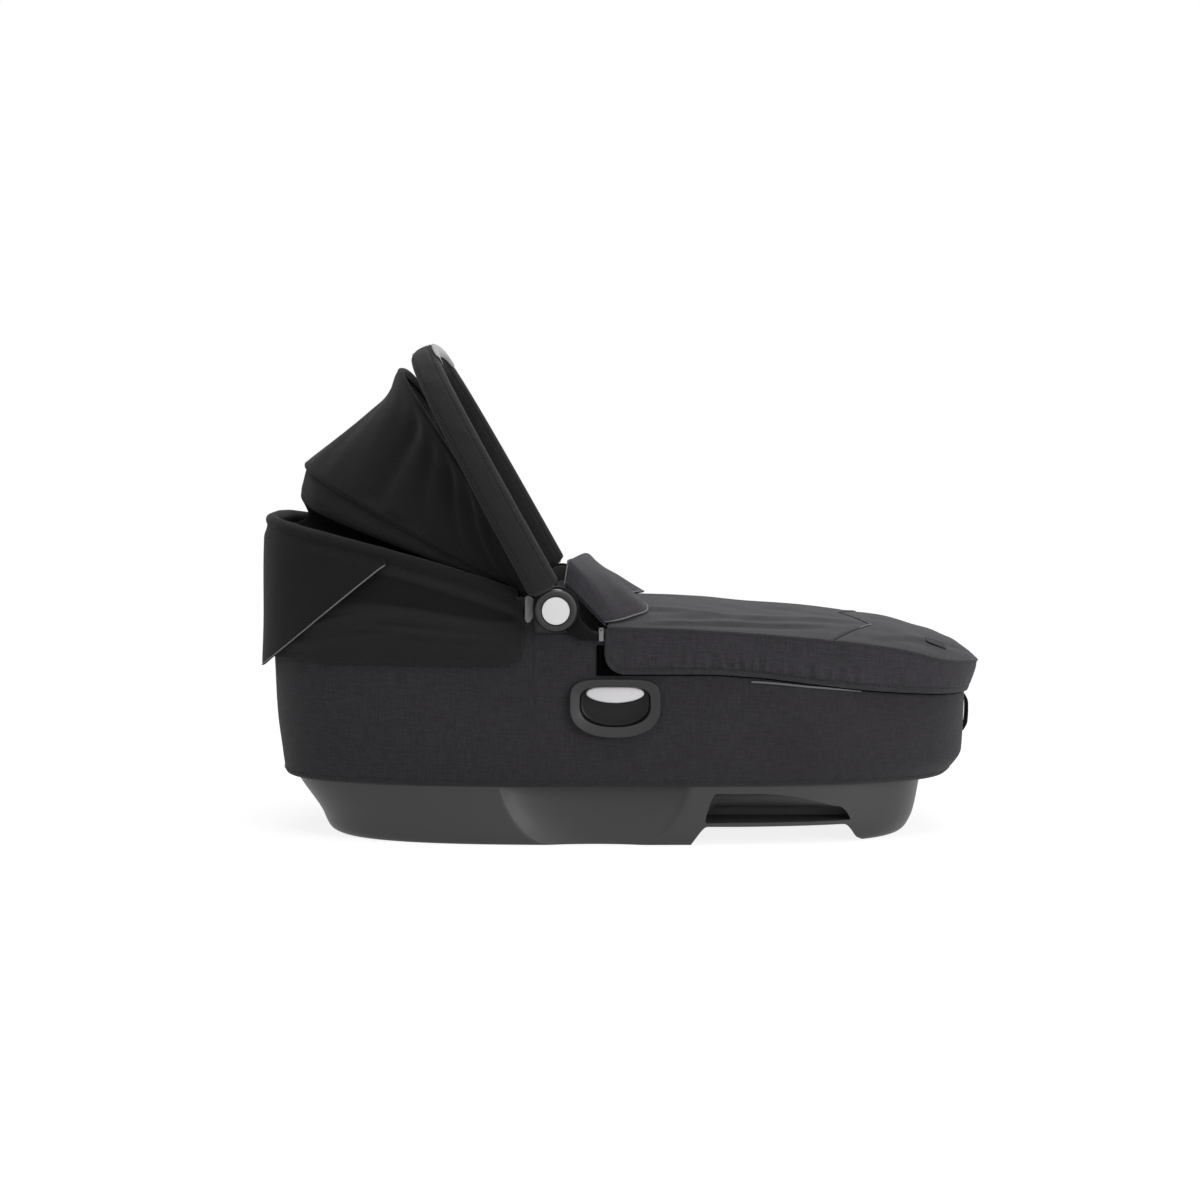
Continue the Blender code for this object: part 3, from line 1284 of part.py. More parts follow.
def boot_surface(x, across):
    """Points on top of the boot cover: across runs from -1 on the right edge to 1 on the left."""
    shares = np.asarray(CROWN_SHARES)
    crown = BOOT_CROWN * np.interp(x / BOOT_REACH, shares[:, 0], shares[:, 1])
    height = rim_height(x) + BOOT_LIFT + crown * (1 - np.abs(across) ** BOOT_POWER)
    return np.stack(np.broadcast_arrays(x, across * boot_half_width(x), height), axis=-1)


def boot_seam(across):
    """The seam between the boot cover's two panels: a point towards the foot on each side."""
    spread = np.abs(across)
    inner = SEAM_X + SEAM_POINT * spread / 0.5
    outer = SEAM_X + SEAM_POINT + (SEAM_SIDE_X - SEAM_X - SEAM_POINT) * (spread - 0.5) / 0.5
    return np.where(spread < 0.5, inner, outer)


def boot_panel(name, first_x, last_x, shares, look):
    across = np.sin(np.linspace(-1, 1, PANEL_ACROSS) * math.pi / 2)
    spread = np.broadcast_to(across, (len(shares), PANEL_ACROSS))
    x = first_x[None] + np.asarray(shares)[:, None] * (last_x - first_x)[None]
    top = boot_surface(x, spread)
    under = top - np.array([0.0, 0.0, BOOT_THICKNESS])
    finished(smooth(slab(name, top, under)), look)


def boot_panels():
    across = np.sin(np.linspace(-1, 1, PANEL_ACROSS) * math.pi / 2)
    flat = np.ones(PANEL_ACROSS)
    seam = boot_seam(across)
    boot_panel("boot_top_panel", BOOT_HEAD_X * flat, seam - GAP, np.linspace(0, 1, 9), "cover_fabric")
    end = (BOOT_REACH - BOOT_THICKNESS / 2) * flat
    boot_panel("boot_foot_panel", seam + GAP, end, FOOT_PANEL_SHARES, "cover_fabric")


def boot_skirt_points(angles, outset, share):
    """Points of the boot cover's skirt at a share of its drop from the seam to the hem."""
    along, across = plan_unit(angles)
    x = (BOOT_REACH - BOOT_WALL + outset) * along
    shares = np.asarray(HEM_SHARES)
    drop = BOOT_HEM_HEAD_HEIGHT - BOOT_HEM_FOOT_HEIGHT
    hem = BOOT_HEM_FOOT_HEIGHT + drop * np.interp(x / BOOT_REACH, shares[:, 0], shares[:, 1])
    hem = hem + BOOT_SKIRT_CORNER * end_corners(len(angles))
    top = rim_height(x) + BOOT_LIFT - BOOT_THICKNESS - LOOSE_GAP
    gather = BOOT_GATHER * np.sin(BOOT_GATHERS * angles) * share
    y = (BOOT_HALF_WIDTH - BOOT_WALL + outset + gather) * across
    return np.column_stack([x, y, top + share * (hem - top)])


def boot_skirt():
    angles = even_angles(BOOT_SKIRT_COLUMNS, BOOT_SKIRT_FRONT_X, "foot")
    surfaces = [
        np.array([boot_skirt_points(angles, outset, share) for share in np.linspace(0, 1, 4)])
        for outset in (BOOT_WALL, 0.0)
    ]
    finished(smooth(slab("boot_skirt", *surfaces)), "cover_fabric")


def boot_collar():
    """The collar at the cover's head edge: it stands up to a ridge and folds back as a lapel."""
    across = np.sin(np.linspace(-1, 1, PANEL_ACROSS) * math.pi / 2)
    y = COLLAR_HALF_WIDTH * across
    lift = COLLAR_THICKNESS / 2 + GAP
    base = boot_surface(np.full(PANEL_ACROSS, BOOT_HEAD_X), across)
    base_x = np.full(PANEL_ACROSS, BOOT_HEAD_X - COLLAR_THICKNESS - GAP)
    base_z = base[:, 2] - BOOT_THICKNESS + GAP
    ridge_x = COLLAR_RIDGE_X + (COLLAR_SIDE_RIDGE_X - COLLAR_RIDGE_X) * np.abs(across) ** 2
    ridge_z = np.full(PANEL_ACROSS, COLLAR_RIDGE_HEIGHT)
    lapel = boot_surface(np.full(PANEL_ACROSS, COLLAR_LAPEL_X), across)
    lapel_x = lapel[:, 0]
    lapel_z = lapel[:, 2] + 2 * lift + LOOSE_GAP
    rows = []
    for share in (0.0, 0.35, 0.7, 0.92):
        rows.append((base_x + share * (ridge_x - base_x), base_z + share * (ridge_z - base_z)))
    for share in (0.04, 0.12, 0.4, 0.7, 1.0):
        rows.append((ridge_x + share * (lapel_x - ridge_x), ridge_z + share * (lapel_z - ridge_z)))
    grid = np.array([np.column_stack([x, y, z]) for x, z in rows])
    finished(smooth(thickened("boot_collar", grid, COLLAR_THICKNESS)), "cover_fabric")


def boot_trim():
    """A plain tab on the foot panel."""
    x = TAB_X + np.linspace(-0.5, 0.5, 4) * TAB_LENGTH
    y = TAB_Y + np.linspace(-0.5, 0.5, 4) * TAB_WIDTH
    spread_x, spread_y = np.meshgrid(x, y, indexing="ij")
    surface = boot_surface(spread_x, spread_y / boot_half_width(spread_x))
    up = np.array([0.0, 0.0, 1.0])
    tab = slab("boot_tab", surface + up * (LOOSE_GAP + TAB_THICKNESS), surface + up * LOOSE_GAP)
    finished(tab, "grip")


def reflective_lines():
    """A thin reflective line on the body's fabric, just below the boot cover's hem."""
    along = np.linspace(PIPING_HEAD_X, PIPING_FOOT_X, PIPING_POINTS)
    shares = np.asarray(HEM_SHARES)
    fall = BOOT_HEM_HEAD_HEIGHT - BOOT_HEM_FOOT_HEIGHT
    hem = BOOT_HEM_FOOT_HEIGHT + fall * np.interp(along / BOOT_REACH, shares[:, 0], shares[:, 1])
    drop_shares = np.asarray(PIPING_DROP_SHARES)
    way = (along - PIPING_HEAD_X) / PIPING_LENGTH
    z = hem - PIPING_DROP * np.interp(way, drop_shares[:, 0], drop_shares[:, 1])
    _, foot, half = body_section(z)
    y = half * (1 - (along / foot) ** PLAN_POWER) ** (1 / PLAN_POWER) + GAP + PIPING_RADIUS
    for word, side in SIDES:
        line = np.column_stack([along, side * y, z])
        finished(smooth(tube(f"reflective_piping_{word}", line, PIPING_RADIUS, 0)), "piping")


def foot_strap():
    """A webbing loop that stands out from the foot end."""
    heights = [STRAP_TOP - share * STRAP_HEIGHT for share, _ in STRAP_SHARES]
    skin = [body_section(height)[1] + LOOSE_GAP for height in heights]
    bows_out = [STRAP_BOW * bow for _, bow in STRAP_SHARES]
    inner = [(x + bow, z) for x, bow, z in zip(skin, bows_out, heights)]
    outer = [(x + STRAP_THICKNESS, z) for x, z in inner]
    strap = plate("foot_strap", [inner + outer[::-1]], 0.0, STRAP_WIDTH)
    finished(strap, "webbing")


def release_unit(word, side):
    """Bezel, finger cup, trigger and its spring in the body's side."""
    bezel = plate(
        f"release_bezel_{word}",
        [
            rounded_outline(RELEASE_X, BEZEL_Z, BEZEL_HALF_LENGTH, BEZEL_HALF_HEIGHT),
            rounded_outline(RELEASE_X, OPENING_Z, OPENING_HALF_LENGTH, OPENING_HALF_HEIGHT),
        ],
        side * (BEZEL_IN + BEZEL_THICKNESS / 2),
        BEZEL_THICKNESS,
    )
    finished(bezel, "hub_plastic")
    cup_middle = side * (CUP_IN + CUP_OUT) / 2
    cup = meshed(plate(f"release_cup_{word}", [cup_outline(CUP_WALL)], cup_middle, CUP_DEPTH))
    floor, hollow_out = CUP_IN + CUP_WALL, CUP_OUT + OVERRUN
    hollow_middle, hollow_depth = side * (floor + hollow_out) / 2, hollow_out - floor
    hollow = plate(f"cup_hollow_{word}", [cup_outline(0.0)], hollow_middle, hollow_depth)
    boolean(cup, meshed(hollow), "DIFFERENCE")
    finished(cup, "hub_plastic")

    front = CUP_OUT - TRIGGER_RECESS
    back = floor + GAP
    angles = np.arange(OUTLINE_STEPS) * 2 * math.pi / OUTLINE_STEPS
    bulge = np.sign(np.sin(angles)) * np.abs(np.sin(angles)) ** LENS_POWER
    lens_x = RELEASE_X + TRIGGER_HALF_LENGTH * np.cos(angles)
    lens = list(zip(lens_x, TRIGGER_Z + TRIGGER_HALF_HEIGHT * bulge))
    trigger = meshed(plate(f"release_trigger_{word}", [lens], side * (front + back) / 2, front - back))
    top = TRIGGER_Z + TRIGGER_HALF_HEIGHT
    pocket_floor = top - TRIGGER_SPRING_DEPTH
    middle_y = side * (front + back) / 2
    pocket = rod(
        f"spring_pocket_{word}",
        TRIGGER_SPRING_RADIUS + 2 * TRIGGER_WIRE_RADIUS,
        (RELEASE_X, middle_y, pocket_floor),
        (RELEASE_X, middle_y, top + OVERRUN),
    )
    boolean(trigger, pocket, "DIFFERENCE")
    finished(trigger, "trigger_metal")
    cup_top = CUP_Z + CUP_HALF_HEIGHT
    clear = TRIGGER_WIRE_RADIUS + GAP
    start = (RELEASE_X, middle_y, pocket_floor + clear)
    coil = helix(start, "Z", TRIGGER_SPRING_RADIUS, cup_top - pocket_floor - 2 * clear, TRIGGER_TURNS)
    finished(smooth(tube(f"trigger_spring_{word}", coil, TRIGGER_WIRE_RADIUS, 0)), "steel")


def socket_unit(word, side):
    """The socket that slips over a carrier's tongue, and the latch bolt through its end wall."""
    top = SOCKET_BOTTOM + SOCKET_HEIGHT
    socket = socket_box(f"adapter_socket_{word}", side, 0.0, SOCKET_BOTTOM, top)
    low, high = SOCKET_BOTTOM - OVERRUN, top - SOCKET_WALL
    hollow = socket_box(f"socket_hollow_{word}", side, -SOCKET_WALL, low, high)
    boolean(socket, hollow, "DIFFERENCE")
    middle = (SOCKET_INNER_Y + SOCKET_OUTER_Y) / 2
    end = SOCKET_X + SOCKET_HALF_LENGTH

    def bolt_box(name, low_x, high_x, grow):
        low_y, high_y = sorted(
            (side * (middle - LATCH_THICKNESS / 2 - grow), side * (middle + LATCH_THICKNESS / 2 + grow))
        )
        low_z, high_z = LATCH_Z - LATCH_HEIGHT / 2 - grow, LATCH_Z + LATCH_HEIGHT / 2 + grow
        return block(name, (low_x, low_y, low_z), (high_x, high_y, high_z))

    window = bolt_box(f"latch_window_{word}", end - SOCKET_WALL - OVERRUN / 4, end + OVERRUN, GAP)
    boolean(socket, window, "DIFFERENCE")
    finished(socket, "hub_plastic")
    start = end - SOCKET_WALL - LATCH_REACH_IN
    finished(bolt_box(f"latch_bolt_{word}", start, start + LATCH_LENGTH, 0.0), "steel")


def zip_unit(word, side):
    """The zip slider at the front of the boot cover's skirt, and its pull."""
    high_x = BOOT_SKIRT_FRONT_X - LOOSE_GAP
    low_x = high_x - SLIDER_LENGTH
    low_y, high_y = sorted((side * SLIDER_IN, side * (SLIDER_IN + SLIDER_THICKNESS)))
    low_z, high_z = SLIDER_Z - SLIDER_HEIGHT / 2, SLIDER_Z + SLIDER_HEIGHT / 2
    slider = block(f"zip_slider_{word}", (low_x, low_y, low_z), (high_x, high_y, high_z))
    pin_x = (low_x + high_x) / 2
    out = SLIDER_IN + SLIDER_THICKNESS
    pin_start = (pin_x, side * (out - SLIDER_THICKNESS / 2), SLIDER_Z)
    pin_end = (pin_x, side * (out + PULL_THICKNESS + 2 * GAP), SLIDER_Z)
    pin = rod(f"zip_pin_{word}", PULL_PIN_RADIUS, pin_start, pin_end, TINY_STEPS)
    boolean(slider, pin, "UNION")
    finished(slider, "hub_plastic")
    low = SLIDER_Z + PULL_WIDTH / 2 - PULL_LENGTH
    half = PULL_WIDTH / 2
    arc = np.linspace(0, math.pi, 9)
    outline = [(pin_x + half * math.cos(turn), SLIDER_Z + half * math.sin(turn)) for turn in arc]
    outline += [(pin_x - half, low), (pin_x + half, low)]
    hole = circle(pin_x, SLIDER_Z, PULL_PIN_RADIUS + GAP, TINY_STEPS)
    pull_middle = side * (out + GAP + PULL_THICKNESS / 2)
    finished(plate(f"zip_pull_{word}", [outline, hole], pull_middle, PULL_THICKNESS), "piping")


def build():
    base_shell()
    base_screws()
    inner_tub()
    body_cover()
    inner_liner()
    mattress()
    rims()
    hood_skirt()
    rear_curtain()
    handle()
    bows()
    hood_fabrics()
    boot_panels()
    boot_skirt()
    boot_collar()
    boot_trim()
    reflective_lines()
    foot_strap()
    for word, side in SIDES:
        hub_stack(word, side)
        release_unit(word, side)
        socket_unit(word, side)
        zip_unit(word, side)


for item in list(bpy.data.objects):
    bpy.data.objects.remove(item, do_unlink=True)
PARTS = new_collection("carrycot")
CUTTERS = new_collection("cutters")
build()
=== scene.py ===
# %% [markdown]
# # A carrycot with a folding hood
# The real object is a baby's carrycot: a stiff tub in a black woven cover, a hood on two bows, a
# padded handle that swings on round hubs, a cover over the foot half, and a moulded base. The CAD
# model gives every place and size. This file dresses it: cloth, piping, seams and moulded detail
# are worked out as surfaces, and each one rides on the CAD body that carries it.

import math

import bpy
import numpy as np
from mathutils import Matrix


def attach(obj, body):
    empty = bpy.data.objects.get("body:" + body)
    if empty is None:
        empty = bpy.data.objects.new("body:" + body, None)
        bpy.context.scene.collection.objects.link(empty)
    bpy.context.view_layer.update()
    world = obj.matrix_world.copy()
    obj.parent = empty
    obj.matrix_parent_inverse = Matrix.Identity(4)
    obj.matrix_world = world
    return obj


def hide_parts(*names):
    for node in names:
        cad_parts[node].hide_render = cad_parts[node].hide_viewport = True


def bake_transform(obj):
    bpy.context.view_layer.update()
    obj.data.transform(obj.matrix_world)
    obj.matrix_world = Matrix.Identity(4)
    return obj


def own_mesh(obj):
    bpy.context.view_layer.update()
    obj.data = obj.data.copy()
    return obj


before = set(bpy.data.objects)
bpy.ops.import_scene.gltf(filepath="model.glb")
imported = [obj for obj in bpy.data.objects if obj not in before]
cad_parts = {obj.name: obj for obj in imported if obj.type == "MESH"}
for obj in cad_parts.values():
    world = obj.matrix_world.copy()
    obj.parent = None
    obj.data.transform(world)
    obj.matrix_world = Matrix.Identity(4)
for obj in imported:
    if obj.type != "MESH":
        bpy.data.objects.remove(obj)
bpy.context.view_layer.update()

# %% [markdown]
# ## The camera
# The photograph looks straight at the long side from about three metres, a little downwards. A
# camera could be guessed by eye, but here the sizes of near and far edges fix it: 4.76 degrees
# down, and a lens of 70.5 mm on a 36 mm sensor.

# %% The photograph's camera
CAMERA_PLACE = (-0.024, -2.884, 0.5155)
CAMERA_DOWN_DEG = 4.763
camera_data = bpy.data.cameras.new("camera")
camera_data.lens = 70.49
camera_data.sensor_width = 36.0
camera = bpy.data.objects.new("camera", camera_data)
camera.location = CAMERA_PLACE
camera.rotation_euler = (math.radians(90 - CAMERA_DOWN_DEG), 0.0, 0.0)
bpy.context.scene.collection.objects.link(camera)
bpy.context.scene.camera = camera
bpy.context.scene.view_settings.view_transform = "Standard"
print("camera", CAMERA_DOWN_DEG, "degrees down")

# %% [markdown]
# ## Colours and nodes
# Colours are written as the hex values that a paint program shows. Blender works in linear light,
# so one function turns them over. One more function adds a node with its settings and its links,
# so that a material below reads as a list of what it is made of.

# %% Colour and node helpers
def linear(hex_value):
    """sRGB hex as linear RGBA: below 0.04045 a division, above it the 2.4 power curve."""
    channels = np.array([(hex_value >> shift) & 255 for shift in (16, 8, 0)]) / 255
    light = np.where(channels <= 0.04045, channels / 12.92, ((channels + 0.055) / 1.055) ** 2.4)
    return (*light.tolist(), 1.0)


def add_node(tree, kind, inputs=None, **settings):
    """Add one node. Inputs are plain values, or sockets of other nodes to link from."""
    node = tree.nodes.new(kind)
    for key, value in settings.items():
        setattr(node, key, value)
    for key, value in (inputs or {}).items():
        if isinstance(value, bpy.types.NodeSocket):
            tree.links.new(value, node.inputs[key])
        else:
            node.inputs[key].default_value = value
    return node


def new_look(name):
    """A material with an empty tree, its shader and its output."""
    look = bpy.data.materials.new(name)
    look.use_nodes = True
    look.node_tree.nodes.clear()
    tree = look.node_tree
    shader = add_node(tree, "ShaderNodeBsdfPrincipled")
    add_node(tree, "ShaderNodeOutputMaterial", {"Surface": shader.outputs[0]})
    return look, tree, shader


print("black cloth", [round(c, 4) for c in linear(0x2F2D30)[:3]])

# %% [markdown]
# ## Woven cloth
# The cover is a plain weave of dyed polyester: matt, with threads that cross every half
# millimetre and uneven, slubby yarn that shows as faint flecks both ways. A picture of cloth could
# be stretched over it, but it would blur up close. Here two sine waves across the piece's own UV
# map, which is in metres, cross into a weave, and noise stretched along each thread makes the
# flecks. Half a millimetre is finer than a pixel of the render, so the weave is drawn at 1.3 mm.

# %% Cloth materials
WEAVE_PITCH = 0.0013
# Yarns are about ten times longer than wide: noise waves per metre along and across one
YARN_ALONG, YARN_ACROSS = 55.0, 520.0
PAINTED_SHADE_CLOTH = 0x0B0B0C


def cloth_look(name, dark, light, pitch=WEAVE_PITCH, relief=0.00025, fleck=0.5, sheen=0.12, rough=0.9, shaded=None,
               gloss=0.25):
    """Plain weave: sine of u times sine of v for relief, stretched noise both ways for the yarn.

    Where the attribute named by shaded is 1, the colour is painted shade: a near-black.
    """
    look, tree, shader = new_look(name)
    uv = add_node(tree, "ShaderNodeUVMap", uv_map="metres").outputs[0]
    split = add_node(tree, "ShaderNodeSeparateXYZ", {0: uv})
    waves = [
        add_node(
            tree, "ShaderNodeMath",
            {0: add_node(tree, "ShaderNodeMath", {0: split.outputs[axis], 1: math.pi / pitch},
                         operation="MULTIPLY").outputs[0]},
            operation="SINE",
        ).outputs[0]
        for axis in (0, 1)
    ]
    crossing = add_node(tree, "ShaderNodeMath", {0: waves[0], 1: waves[1]}, operation="MULTIPLY")
    yarns = []
    for along, across in ((YARN_ALONG, YARN_ACROSS), (YARN_ACROSS, YARN_ALONG)):
        stretched = add_node(tree, "ShaderNodeMapping", {0: uv, "Scale": (along, across, 1.0)})
        yarns.append(add_node(tree, "ShaderNodeTexNoise",
                              {"Vector": stretched.outputs[0], "Scale": 1.0, "Detail": 3.0}).outputs[0])
    both = add_node(tree, "ShaderNodeMath", {0: yarns[0], 1: yarns[1]}, operation="ADD")
    worn = add_node(tree, "ShaderNodeTexNoise", {"Vector": uv, "Scale": 11.0, "Detail": 3.0})
    mixed = add_node(tree, "ShaderNodeMath",
                     {0: worn.outputs[0], 1: 0.35, 2: both.outputs[0]}, operation="MULTIPLY_ADD")
    colour = add_node(tree, "ShaderNodeMapRange",
                      {0: mixed.outputs[0], 1: 1.175 - 0.19 / fleck, 2: 1.175 + 0.19 / fleck})
    paint = add_node(tree, "ShaderNodeMix", {0: colour.outputs[0], 6: linear(dark), 7: linear(light)},
                     data_type="RGBA")
    finish = paint.outputs[2]
    # Painted shade: the attribute mixes the colour to near black
    if shaded is not None:
        depth = add_node(tree, "ShaderNodeAttribute", attribute_name=shaded).outputs["Fac"]
        under = add_node(tree, "ShaderNodeMix", {0: depth, 6: finish, 7: linear(PAINTED_SHADE_CLOTH)}, data_type="RGBA")
        finish = under.outputs[2]
    tree.links.new(finish, shader.inputs["Base Color"])
    lift = add_node(tree, "ShaderNodeMath",
                    {0: both.outputs[0], 1: 1.2, 2: crossing.outputs[0]}, operation="MULTIPLY_ADD")
    bump = add_node(tree, "ShaderNodeBump", {"Height": lift.outputs[0], "Strength": 0.8, "Distance": relief})
    tree.links.new(bump.outputs[0], shader.inputs["Normal"])
    shader.inputs["Roughness"].default_value = rough
    shader.inputs["Sheen Weight"].default_value = sheen
    shader.inputs["Sheen Roughness"].default_value = 0.45
    shader.inputs["Specular IOR Level"].default_value = gloss
    return look


# Woven polyester, piece-dyed black: the flecks are the lighter yarns
cover_cloth = cloth_look("woven_polyester_black", 0x262427, 0x3A383B)
# The same cloth drawn a shade lighter: painted light, as the top cover catches more light
boot_cloth = cloth_look("woven_polyester_black_painted_light", 0x29272B, 0x3E3C41)
# A finer, tighter weave that sheds water: fewer flecks and a duller face
hood_cloth = cloth_look("fine_woven_nylon_black", 0x0F0F10, 0x19191B, fleck=0.3, relief=0.00018, sheen=0.06)
# Near-black, dull cloth behind the boot cover's skirt: painted shade, seen only along its edge
skirt_shadow_black = cloth_look("black_cloth_painted_shade", 0x060606, 0x0A0A0A, fleck=0.3, sheen=0.0, rough=0.95, gloss=0.0)
# Stretch jersey over foam: a soft sheen along the tops of its folds
sleeve_cloth = cloth_look("padded_jersey_black", 0x1E1E1F, 0x2C2C2D, fleck=0.25, sheen=0.08)
# Brushed cotton of the lining: soft, dark grey
lining_cloth = cloth_look("brushed_cotton_grey", 0x353436, 0x454447, fleck=0.3, sheen=0.3)
# Knitted cotton ticking of the mattress: pale loops about 1.6 mm apart
mattress_cloth = cloth_look("knitted_cotton_cream", 0xBDBAB4, 0xD3D0CB, pitch=0.0016, fleck=0.3, sheen=0.2)
# Ribbed polyester webbing: coarse ribs across the strap
webbing_cloth = cloth_look("ribbed_webbing_black", 0x171718, 0x252527, pitch=0.0022, relief=0.0004)
# Bonded edging with glass-bead print: a pale grey cord
piping_cloth = cloth_look("pale_bonded_piping", 0x6E6E70, 0x868688, pitch=0.0010, fleck=0.2)
# Twisted polyester sewing thread, slightly shinier than the cloth
thread_cloth = cloth_look("sewing_thread_black", 0x1E1D1F, 0x2C2B2E, pitch=0.0007, sheen=0.2, rough=0.7)
print("cloths", 10, "weave pitch in mm", WEAVE_PITCH * 1000)

# %% [markdown]
# ## Moulded plastic and metal
# Injection-moulded parts keep the fine grain of their mould, about a third of a millimetre across,
# and a soft mottle where handling has polished them. The metal parts are zinc-plated steel. A flat
# colour would look like a toy, so noise of the real grain size moves both the relief and the
# roughness, and the plating gets faint clouds.

# %% Plastic and metal materials
def moulded_look(name, dark, light, rough=0.5, grain=0.0006, relief=0.00006, coat=0.0, gloss=0.5):
    """Moulding grain: noise at the grain's size for relief, broad noise for colour and polish."""
    look, tree, shader = new_look(name)
    place = add_node(tree, "ShaderNodeTexCoord").outputs["Object"]
    fine = add_node(tree, "ShaderNodeTexNoise", {"Vector": place, "Scale": 0.5 / grain, "Detail": 2.0})
    broad = add_node(tree, "ShaderNodeTexNoise", {"Vector": place, "Scale": 9.0, "Detail": 5.0})
    paint = add_node(tree, "ShaderNodeMix", {0: broad.outputs[0], 6: linear(dark), 7: linear(light)}, data_type="RGBA")
    tree.links.new(paint.outputs[2], shader.inputs["Base Color"])
    polish = add_node(tree, "ShaderNodeMapRange", {0: broad.outputs[0], 3: rough - 0.07, 4: rough + 0.07})
    tree.links.new(polish.outputs[0], shader.inputs["Roughness"])
    bump = add_node(tree, "ShaderNodeBump", {"Height": fine.outputs[0], "Strength": 0.6, "Distance": relief})
    tree.links.new(bump.outputs[0], shader.inputs["Normal"])
    shader.inputs["Specular IOR Level"].default_value = gloss
    shader.inputs["Coat Weight"].default_value = coat
    shader.inputs["Coat Roughness"].default_value = 0.12
    return look


def metal_look(name, dark, light, rough, stretch):
    """Plated metal: noise, stretched if it was drawn, clouds its colour and roughness."""
    look, tree, shader = new_look(name)
    place = add_node(tree, "ShaderNodeTexCoord").outputs["Object"]
    drawn = add_node(tree, "ShaderNodeMapping", {0: place, "Scale": stretch})
    streak = add_node(tree, "ShaderNodeTexNoise", {"Vector": drawn.outputs[0], "Scale": 1.0, "Detail": 4.0})
    paint = add_node(tree, "ShaderNodeMix", {0: streak.outputs[0], 6: linear(dark), 7: linear(light)}, data_type="RGBA")
    tree.links.new(paint.outputs[2], shader.inputs["Base Color"])
    worn = add_node(tree, "ShaderNodeMapRange", {0: streak.outputs[0], 3: rough - 0.08, 4: rough + 0.1})
    tree.links.new(worn.outputs[0], shader.inputs["Roughness"])
    shader.inputs["Metallic"].default_value = 1.0
    return look


# Polypropylene base with a satin grain
base_plastic = moulded_look("grained_polypropylene", 0x303030, 0x373737, rough=0.46)
# Glass-filled nylon of the hubs and bezels: satin, nearly black
hub_plastic = moulded_look("satin_nylon", 0x1B1B1B, 0x222222, rough=0.45)
# The bracket behind the ring is the same nylon drawn darker and duller: painted shade, where the ring shades it
bracket_shade_plastic = moulded_look("bracket_nylon_painted_shade", 0x101010, 0x151515, rough=0.75, gloss=0.12)
# ABS button: white, polished
button_plastic = moulded_look("polished_abs_white", 0xEEEEEE, 0xF4F4F4, rough=0.3, relief=0.00002, coat=0.3)
# ABS trigger with a silver lacquer: it looks pale and lightly metallic
trigger_plastic = moulded_look("silver_lacquered_abs", 0xE4E2E5, 0xEEECEF, rough=0.32, relief=0.00002, coat=0.4)
# Soft-touch elastomer of the grip panel and the tab
grip_rubber = moulded_look("soft_touch_elastomer", 0x868686, 0x949494, rough=0.62)
tab_rubber = moulded_look("soft_touch_dark", 0x18171A, 0x201F22, rough=0.9)
# Polypropylene board of the tub, hidden by the cloth
tub_board = moulded_look("polypropylene_board", 0x2C2C2E, 0x343436, rough=0.65)
# Acetal zip parts and sockets
zip_plastic = moulded_look("acetal_black", 0x1E1E1F, 0x29292A, rough=0.38)
pull_plastic = moulded_look("acetal_pale", 0x7C7C7E, 0x8A8A8C, rough=0.45)
zinc_steel = metal_look("zinc_plated_steel", 0x83868A, 0x9A9DA0, 0.34, (60.0, 60.0, 60.0))
print("moulded and metal looks", 11)

# %% [markdown]
# ## Surfaces from numbers
# Every new piece is a grid of points that a formula gives, or rings carried along a path. A
# modelling brush could push such shapes about, but a formula keeps them on the CAD's sizes. Three
# helpers do the rest: one puts points and faces into a mesh with a UV map in metres, one skins
# rings, and one gives a sheet its thickness with a rounded, sewn-looking edge.

# %% Small helpers for numbers
MIDDLE_OF_CABIN = np.array([0.0, 0.0, 0.2])
UP = np.array([0.0, 0.0, 1.0])
SIDES = (("right", -1), ("left", 1))


def full_turn(count):
    """Equal turns round a circle, the last one short of the first."""
    return np.linspace(0, 2 * math.pi, count, endpoint=False)


def bell(offset, width):
    """One where the offset is nothing, falling off with the exponential of minus its square."""
    return np.exp(-((offset / width) ** 2))


def upright(outline, y):
    """An outline of (along, up) points, stood up at a distance from the middle plane."""
    return np.column_stack([outline[:, 0], np.full(len(outline), y), outline[:, 1]])


def unit_circle(count):
    """Points round a circle of radius one."""
    turn = full_turn(count)
    return np.column_stack([np.cos(turn), np.sin(turn)])


def level_circle(x, y, z, radius, count):
    """A level circle of points, for the cutter of an upright hole."""
    turn = full_turn(count)
    return np.column_stack([x + radius * np.cos(turn), y + radius * np.sin(turn), np.full(count, z)])


def walk_along(path):
    """Distance walked along a path from its first point, in metres."""
    return np.concatenate([[0], np.cumsum(np.linalg.norm(np.diff(path, axis=0), axis=1))])


print("a bell falls to", round(float(bell(1.0, 1.0)), 3), "at its width")

